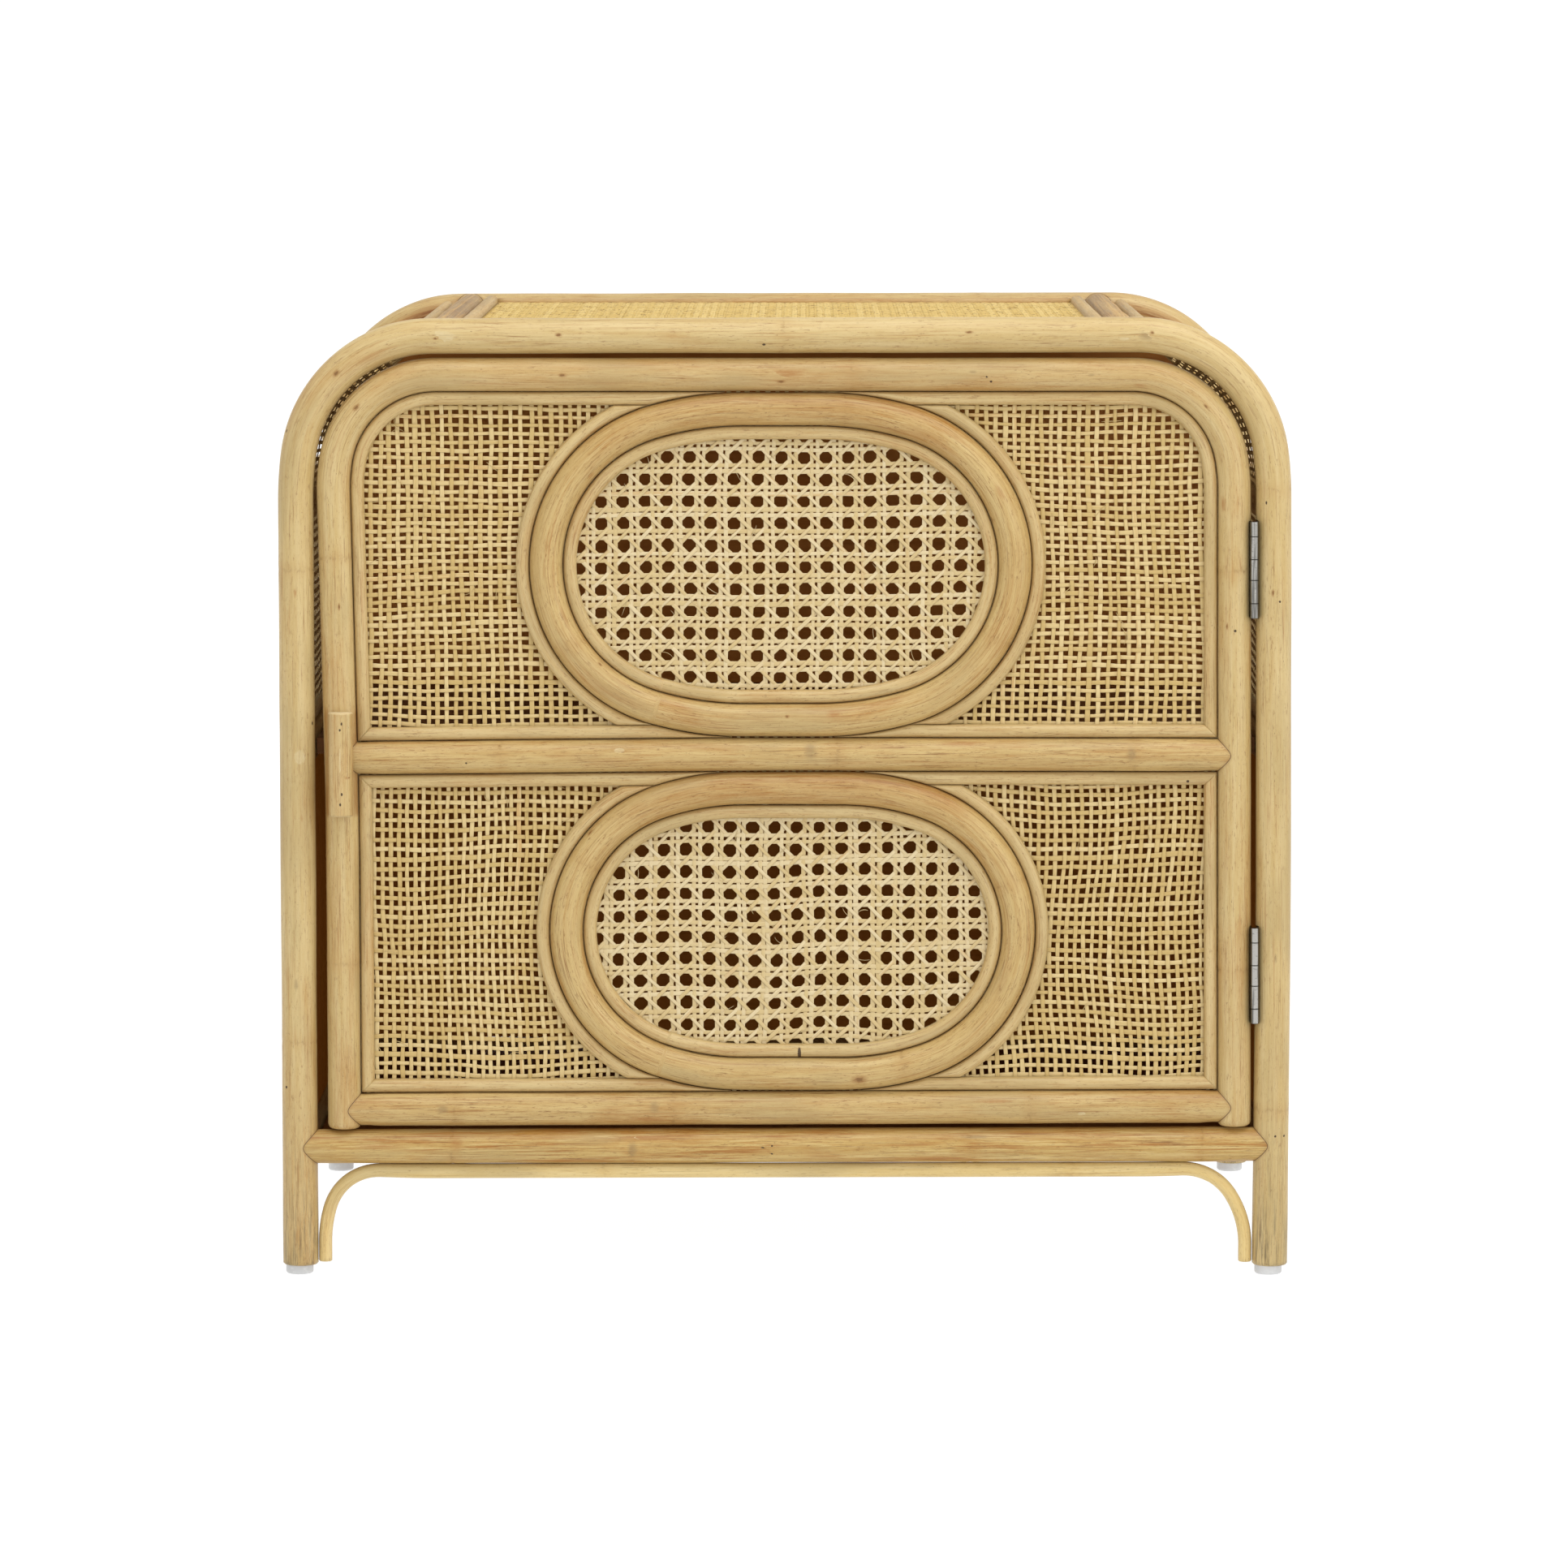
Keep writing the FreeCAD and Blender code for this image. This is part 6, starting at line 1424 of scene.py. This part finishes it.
def hairs(name, spots, replaced, mat, seed):
    """Short loose fibres lying on the webbing: x, z, length, heading in degrees, curl."""
    rg = rng_for(name, seed)
    V_, Q_, G_, T_ = [], [], [], []
    k = 0
    for i, (x, z, ln, hd, curl) in enumerate(spots):
        n = 12
        s_ = np.linspace(0, 1, n)
        th = np.radians(hd) + curl * s_
        dx, dz = np.cumsum(np.cos(th)) * ln / n, np.cumsum(np.sin(th)) * ln / n
        px, pz = x + dx - dx.mean(), z + dz - dz.mean()
        y = Y_FRONT + SHEET_Y0 - 0.10 - 0.55 * np.sin(math.pi * s_) * rg.uniform(0.2, 1.0)
        w = 0.17 * np.sin(math.pi * np.clip(s_ * 0.9 + 0.05, 0, 1)) ** 0.5 * rg.uniform(0.7, 1.35)
        nx, nz = -np.sin(th), np.cos(th)
        a = np.stack([px + nx * w, y, pz + nz * w], 1)
        b = np.stack([px - nx * w, y, pz - nz * w], 1)
        c = np.stack([px, y - w * 0.9, pz], 1)
        V_ += [a, c, b]
        for j in range(n - 1):
            Q_ += [(k + j, k + j + 1, k + n + j + 1, k + n + j), (k + n + j, k + n + j + 1, k + 2 * n + j + 1, k + 2 * n + j),
                   (k + 2 * n + j, k + 2 * n + j + 1, k + j + 1, k + j)]
        G_.append(np.stack([np.tile(s_ * ln, 3) + 40.0 * i, np.repeat([0, 0.2, 0.4], n), np.full(3 * n, 1.0 * i)], 1))
        T_.append(np.stack([np.full(3 * n, rg.uniform(0.2, 0.9)), np.zeros(3 * n), np.full(3 * n, 0.3)], 1))
        k += 3 * n
    return make(name, np.concatenate(V_), Q_, "door", replaced, "square_webbing", mat, gco=np.concatenate(G_), tone=np.concatenate(T_))


def hair_spots(seed, n, ok, x0, x1, z0, z1, lo=4.0, hi=13.0):
    rg = rng_for("hairs", seed)
    out = []
    while len(out) < n:
        x, z = rg.uniform(x0, x1), rg.uniform(z0, z1)
        if ok(np.array([x]), np.array([z]))[0]:
            out.append((x, z, rg.uniform(lo, hi), rg.uniform(0, 360), rg.normal(0, 0.9)))
    return out


hairs("upper_webbing_fibres", [(X(488), Z(524), 13.0, 40, -2.4), (X(493), Z(528), 10.0, 120, 2.0), (X(592), Z(566), 6.0, 75, 0.6), (X(536), Z(600), 7.0, 60, 1.4)] +
      hair_spots(1, 26, field(UPPER, RING_U, 12.0), -250, 250, 312, 506), ["upper_mesh_panel"], M_MESH, 1)
hairs("lower_webbing_fibres", [(X(625), Z(985), 8.0, 80, 0.5), (X(1203), Z(968), 9.0, 20, 1.2)] +
      hair_spots(2, 26, field(LOWER, RING_L, 12.0), -250, 250, 112, 288), ["lower_mesh_panel"], M_MESH, 2)
hairs("upper_cane_fibres", [(X(860), Z(742), 16.0, -55, 0.5), (X(800), Z(568), 9.0, 70, 0.8)] +
      hair_spots(3, 14, lambda u, v: oval_sd(RING_U, u, v) < -22.0, -110, 110, 340, 480, 5, 15), ["upper_cane"], M_CANE, 3)
hairs("lower_cane_fibres", [(X(880), Z(1160), 18.0, 10, 0.5), (X(1010), Z(1197), 18.0, 5, 0.4)] +
      hair_spots(4, 14, lambda u, v: oval_sd(RING_L, u, v) < -22.0, -100, 105, 135, 262, 5, 15), ["lower_cane"], M_CANE, 4)

# ------------------------------------------------------------------ table top
top_h = Z_TOP_SKIN - SHEET
TX0, TX1 = TOP_RAIL_L[0] + R_TOPRAIL + 0.05, TOP_RAIL_R[0] - R_TOPRAIL - 0.05
wx0, wx1, wy0, wy1 = TX0 + 8.1, TX1 - 8.1, YI0 + 6.3, YI1 - 6.3
weave("top_webbing", grid(wx0 - 3, wx1 + 3, 4.9, rg, 0.15), grid(wy0 - 3, wy1 + 3, 4.9, rg, 0.15),
      lambda u, v: (u > wx0 - 2) & (u < wx1 + 2) & (v > wy0 - 2) & (v < wy1 + 2),
      lambda u, v, h: np.stack([u, v, top_h + SHEET / 2 + h], -1), "cabinet", ["top_webbing"], M_TOPWEB, w=(3.3, 2.9), fine=False, flip=False)


def flat_strip(key, x0, y0, x1, y1, w, h, z, seed=0, wob=0.25):
    """Half-round strip lying on the top, from (x0, y0) to (x1, y1); its width goes to the right of the travel."""
    L = math.hypot(x1 - x0, y1 - y0)
    n = int(L / 4) + 1
    s = np.linspace(0, L, n)
    P = np.stack([x0 + (x1 - x0) * s / L, y0 + (y1 - y0) * s / L], 1)
    T = np.tile(((x1 - x0) / L, (y1 - y0) / L), (n, 1))
    co, q, t, g_, f, fl = strip(key, P, T, s, 1, w, 0, 0.0, h, y_dir=1.0, seed=seed)
    out = np.stack([co[:, 0], co[:, 2], z + co[:, 1]], 1)
    return out, q[:, ::-1], t[:, ::-1], g_, f, fl


strips_piece("top_edge_trims", [flat_strip("te", wx0, YI0 + 6.2, wx1, YI0 + 6.2, 3.0, 3.3, top_h, 1), flat_strip("te", wx0, YI0 + 3.1, wx1, YI0 + 3.1, 3.0, 3.5, top_h, 2),
             flat_strip("te", wx0, YI1, wx1, YI1, 3.0, 3.5, top_h, 3), flat_strip("te", wx0, YI1 - 3.1, wx1, YI1 - 3.1, 3.0, 3.3, top_h, 4)],
             "cabinet", ["top_edge_trims"], M_STRIP, tone=(0.85, 0.1, 0))
strips_piece("top_end_strips", [flat_strip("ts", TX0, YI0, TX0, YI1, 8.0, 5.0, top_h, 1)[:6], flat_strip("ts", TX1, YI1, TX1, YI0, 8.0, 5.0, top_h, 2),
             flat_strip("ts", -214.6, YI0, -214.6, YI1, 8.4, 7.5, 539.3, 3), flat_strip("ts", 211.1, YI1, 211.1, YI0, 8.4, 7.5, 540.3, 4)],
             "cabinet", ["top_end_strips"], M_WORNPALE, slot="weathered_rattan",
             neigh=[(y_line(*TOP_RAIL_L), R_TOPRAIL), (y_line(*TOP_RAIL_R), R_TOPRAIL)])


# ------------------------------------------------------------------ corner, side and back webbing
def corner_web(side):
    """Webbing over the rounded corner; u runs along the arch, v along Y."""
    left = side < 0
    off = offset_pts(ARCH, SKIN_IN + SHEET / 2)
    P, T, S = sample(fillet_path(off), 1.0)
    (cx, cz), (tx, tz) = (CORNER_RAIL_L, TOP_RAIL_L) if left else (CORNER_RAIL_R, TOP_RAIL_R)
    free = (np.hypot(P[:, 0] - cx, P[:, 1] - cz) > R_RAIL - 3) & (np.hypot(P[:, 0] - tx, P[:, 1] - tz) > R_TOPRAIL - 3)
    zone = (P[:, 1] > cz) & ((P[:, 0] < tx) if left else (P[:, 0] > tx)) & free
    s0, s1 = S[zone].min(), S[zone].max()
    N = np.stack([-T[:, 1], T[:, 0]], 1)

    su0, su1 = (s0 + 6.0, s1 - 20.0) if left else (s0 + 18.0, s1 - 6.0)

    def place(u, v, h):
        sag = 8.0 * ramp(v, YI0 + 7.0, YI0 + 42.0) * ramp(v, YI1 - 7.0, YI1 - 42.0) * ramp(u, su0, su0 + 24.0) * ramp(u, su1, su1 - 24.0)
        h = h - sag
        x = np.interp(u, S, P[:, 0]) + h * np.interp(u, S, N[:, 0])
        z = np.interp(u, S, P[:, 1]) + h * np.interp(u, S, N[:, 1])
        return np.stack([x, v, z], -1)
    nm = "left_corner" if left else "right_corner"
    weave(nm + "_web", grid(s0, s1, 4.8, rg, 0.15), grid(YI0, YI1, 5.0, rg, 0.15), lambda u, v: (u > s0) & (u < s1) & (v > YI0 - 3) & (v < YI1 + 3),
          place, "cabinet", [nm + "_webbing"], M_SKIN_SHADED, w=(2.6, 2.6), t=0.24, amp=0.13, fine=False, flip=True)


def side_x(z):
    z = np.asarray(z, float)
    return np.where(z < 220, 279.3 + 0.8 * (z - LEG_FOOT) / (220 - LEG_FOOT), 280.1 - 1.5 * (z - 220) / 241.4)


def bay_x(side, z0, z1):
    return 280.1 if side < 0 else float((side_x(z0) + side_x(z1)) / 2)


for side in (-1, 1):
    corner_web(side)
    nm = "left" if side < 0 else "right"
    for tag, (z0, z1) in (("lower", LOW), ("upper", UPP)):
        a = bay_x(side, z0, z1)
        weave("%s_%s_web" % (nm, tag), grid(YI0, YI1, 5.1, rg, 0.15), grid(z0, z1, 5.0, rg, 0.15),
              lambda u, v, z0=z0, z1=z1: (u > YI0 - 4) & (u < YI1 + 4) & (v > z0 - 4) & (v < z1 + 4),
              lambda u, v, h, a=a, side=side: np.stack([side * (a + h), u, v], -1), "cabinet", [nm + "_side_webbing"], M_MESH,
              w=(2.7, 2.7), fine=False, flip=side < 0, warp=make_warp(30 + side + (tag == "upper") * 5, 0.7, 180))

back_in = offset_pts(ARCH, 4.0)
Pb, _, _ = sample(fillet_path(back_in), 4.0)
zb = Z_BOT_R + R_RAIL + 0.1
weave("back_web", grid(-272, 272, 5.2, rg, 0.15), grid(zb - 4, 536, 5.0, rg, 0.15), lambda u, v: inside_poly(Pb, u, v) & (v > zb - 3),
      lambda u, v, h: np.stack([u, BK + 4.65 + h, v], -1), "cabinet", ["back_webbing"], M_MESH, w=(2.7, 2.7), fine=False, flip=True,
      warp=make_warp(44, 0.9, 210))


# side and back trims
def yz_strip(key, y0, z0, y1, z1, w, h, x, out, seed, mitre=1.0):
    L = math.hypot(y1 - y0, z1 - z0)
    n = int(L / 4) + 2
    s = np.linspace(0, L, n)
    P = np.stack([y0 + (y1 - y0) * s / L, z0 + (z1 - z0) * s / L], 1)
    T = np.tile(((y1 - y0) / L, (z1 - z0) / L), (n, 1))
    co, q, t, g_, f, fl = strip(key, P, T, s, -1, w, 0, 0.0, h, mitre, mitre, y_dir=1.0, seed=seed)
    res = np.stack([x + out * co[:, 1], co[:, 0], co[:, 2]], 1)
    if out > 0:
        return res, q, t, g_, f, fl
    return res, q[:, ::-1], t[:, ::-1], g_, f, fl


def rect_trims(key, y0, y1, z0, z1, w, h, x, out):
    """Four mitred strips laid inside the rectangle, anticlockwise so that each lies on its left."""
    c = [(y0, z0), (y1, z0), (y1, z1), (y0, z1)]
    return [yz_strip(key, *c[k], *c[(k + 1) % 4], w, h, x, out, k) for k in range(4)]


TRIM_S = TRIM_T - 0.9
for side in (-1, 1):
    nm = "left" if side < 0 else "right"
    parts_ = []
    for k, (z0, z1) in enumerate((LOW, UPP)):
        a = bay_x(side, z0, z1)
        parts_ += rect_trims(nm + str(k), YI0, YI1, z0, z1, TRIM_W, TRIM_S, side * (a + SHEET / 2 + 0.05), side)
        if k:
            parts_ += rect_trims(nm + "in", YI0, YI1, z0, z1, TRIM_W, TRIM_S, side * (a - SHEET / 2 - 0.05), -side)
    # bent trims along the arches over the corner
    left = side < 0
    off = offset_pts(ARCH, SKIN_IN - 0.05)
    P, T, S = sample(fillet_path(off), 2.0)
    (cx, cz), (tx, tz) = (CORNER_RAIL_L, TOP_RAIL_L) if left else (CORNER_RAIL_R, TOP_RAIL_R)
    ok = (P[:, 1] > cz) & (np.hypot(P[:, 0] - cx, P[:, 1] - cz) > R_RAIL) & ((P[:, 0] < -249.0) if left else (P[:, 0] > 245.5))
    idx = np.where(ok)[0]
    P, T, S = P[idx], T[idx], S[idx] - S[idx[0]]
    N = np.stack([-T[:, 1], T[:, 0]], 1)
    for e, (ya, yb) in enumerate(((YI0, YI0 + TRIM_W), (YI1, YI1 - TRIM_W))):
        sec_n, sec_d = d_section(1.0, 1.0)
        m = len(sec_n)
        yy = ya + (yb - ya) * sec_n
        hh = TRIM_S * sec_d
        co = np.stack([P[:, None, 0] + N[:, None, 0] * hh[None], np.broadcast_to(yy[None], (len(P), m)), P[:, None, 1] + N[:, None, 1] * hh[None]], -1)
        rgx = rng_for("cornertrim", side, e)
        g_ = np.stack([np.broadcast_to(S[:, None], (len(P), m)) + rgx.uniform(0, 900), np.broadcast_to(sec_n[None] * TRIM_W, (len(P), m)) + 17.0 * e,
                       np.broadcast_to(hh[None], (len(P), m)) + 29.0 * (side + 2)], -1)
        i0 = np.arange(len(P) - 1)
        j0, j1 = np.arange(m), (np.arange(m) + 1) % m
        q = np.stack([i0[:, None] * m + j0, (i0[:, None] + 1) * m + j0, (i0[:, None] + 1) * m + j1, i0[:, None] * m + j1], -1).reshape(-1, 4)
        fl = np.tile((j0 == m - 1) | (j0 == m - 2) | (j0 == 0), len(i0))
        t = []
        for row, rev in ((0, False), (len(P) - 1, True)):
            for j in range(1, m - 1):
                f3 = (row * m, row * m + j, row * m + j + 1)
                t.append(f3[::-1] if rev else f3)
        t = np.array(t, np.int32)
        if e == 0:
            q, t = q[:, ::-1], t[:, ::-1]
        f = np.stack([np.full(len(P) * m, 99.0), np.full(len(P) * m, 99.0), np.zeros(len(P) * m)], 1)
        parts_.append((co.reshape(-1, 3), q, t, g_.reshape(-1, 3), f, fl))
    strips_piece(nm + "_side_trims", parts_, "cabinet", [nm + "_side_trims"], M_STRIP, neigh=[(L_ARCH_F, R_ARCH), (L_ARCH_B, R_ARCH),
                 (y_line((-280.1 if left else 280.0), Z_SHELF_RAIL), R_RAIL), (y_line(cx, cz), R_RAIL)], tone=(0.50, 0, 0))

# back trims: one bent strip inside the arch and one along the bottom rail
off = offset_pts(ARCH, 10.5)
P, T, S = sample(fillet_path(off), 2.0)
ok = np.where(P[:, 1] > zb)[0]
P, T, S = P[ok], T[ok], S[ok] - S[ok[0]]
P[0, 1] = P[-1, 1] = zb
tb = [strip("back_trim", P, T, S, 1, TRIM_W, 0, BK + 5.3, TRIM_S, 1.0, 1.0, y_dir=1.0, seed=1)]
n = 140
xs = np.linspace(P[-1, 0], P[0, 0], n)
Pn = np.stack([xs, np.full(n, zb)], 1)
tb.append(strip("back_trim", Pn, np.tile((-1.0, 0.0), (n, 1)), xs[0] - xs, 1, TRIM_W, 0, BK + 5.3, TRIM_S, 1.0, 1.0, y_dir=1.0, seed=2))
strips_piece("back_trims", tb, "cabinet", ["back_trims"], M_STRIP, neigh=[(L_ARCH_B, R_ARCH)], tone=(0.5, 0, 0))


# ------------------------------------------------------------------ stage, light and camera
def stage_mesh():
    """Round pale floor that curves up into a wall far outside every camera."""
    prof = [(0.0, 0.0), (1.0, 0.0), (3.0, 0.0), (8.0, 0.0), (12.0, 0.0)] + [(12.0 + 3.0 * math.sin(a), 3.0 - 3.0 * math.cos(a)) for a in np.linspace(0.15, math.pi / 2, 12)] + [(15.0, 7.0)]
    m = 64
    co, q, t = [(0.0, 0.0, 0.0)], [], []
    for r, z in prof[1:]:
        co += [(r * math.cos(2 * math.pi * k / m), r * math.sin(2 * math.pi * k / m), z) for k in range(m)]
    for k in range(m):
        q.append((0, 1 + k, 1 + (k + 1) % m))
    for i in range(len(prof) - 2):
        for k in range(m):
            n = (k + 1) % m
            q.append((1 + i * m + k, 1 + (i + 1) * m + k, 1 + (i + 1) * m + n, 1 + i * m + n))
    me = bpy.data.meshes.new("studio_floor")
    me.from_pydata(co, [], q)
    for p in me.polygons:
        p.use_smooth = True
    o = bpy.data.objects.new("studio_floor", me)
    scene.collection.objects.link(o)
    m, nt, b = new_mat("studio_paper")
    g = G(nt)
    tc = g.n("ShaderNodeTexCoord").outputs["Object"]
    nn = g.noise(g.vmul(tc, (30.0, 30.0, 30.0)), 1.0, 3.0, 0.5)
    g.put(b.inputs["Base Color"], g.mix(nn, (0.10, 0.10, 0.10), (0.12, 0.12, 0.12)))
    b.inputs["Roughness"].default_value = 0.9
    b.inputs["Specular IOR Level"].default_value = 0.1
    b.inputs["Emission Color"].default_value = (1.0, 1.0, 1.0, 1.0)
    b.inputs["Emission Strength"].default_value = 0.98
    me.materials.append(m)


stage_mesh()
world = bpy.data.worlds.new("studio")
scene.world = world
world.use_nodes = True
bg = world.node_tree.nodes["Background"]
bg.inputs[0].default_value = (1.0, 1.0, 1.0, 1.0)
bg.inputs[1].default_value = 0.74


def area(name, loc, target, size, power, color=(1, 1, 1)):
    d = bpy.data.lights.new(name, "AREA")
    d.shape = "RECTANGLE"
    d.size, d.size_y = size
    d.energy = power
    d.color = color
    o = bpy.data.objects.new(name, d)
    scene.collection.objects.link(o)
    o.visible_camera = False
    o.location = loc
    o.rotation_mode = "QUATERNION"
    o.rotation_quaternion = (Vector(target) - Vector(loc)).to_track_quat("-Z", "Y")
    return o


area("top_soft", (0.5, -0.9, 2.6), (0.0, 0.0, 0.3), (2.4, 1.8), 43.0)
area("front_right", (2.3, -3.2, 1.5), (0.0, -0.1, 0.3), (1.6, 1.6), 21.0)

cam_d = bpy.data.cameras.new("camera")
cam_d.sensor_width = 36.0
cam_d.lens = 166.7
cam = bpy.data.objects.new("camera", cam_d)
scene.collection.objects.link(cam)
cam.location = (0.0080, (Y_FRONT - 4143.0) / 1000.0, 0.7179)
aim = Vector((-0.00107, Y_FRONT / 1000.0, 0.2839))
cam.rotation_mode = "QUATERNION"
cam.rotation_quaternion = (aim - cam.location).to_track_quat("-Z", "Y")
cam_d.clip_start, cam_d.clip_end = 0.1, 60.0
scene.camera = cam
scene.view_settings.view_transform = "Standard"
scene.view_settings.look = "None"
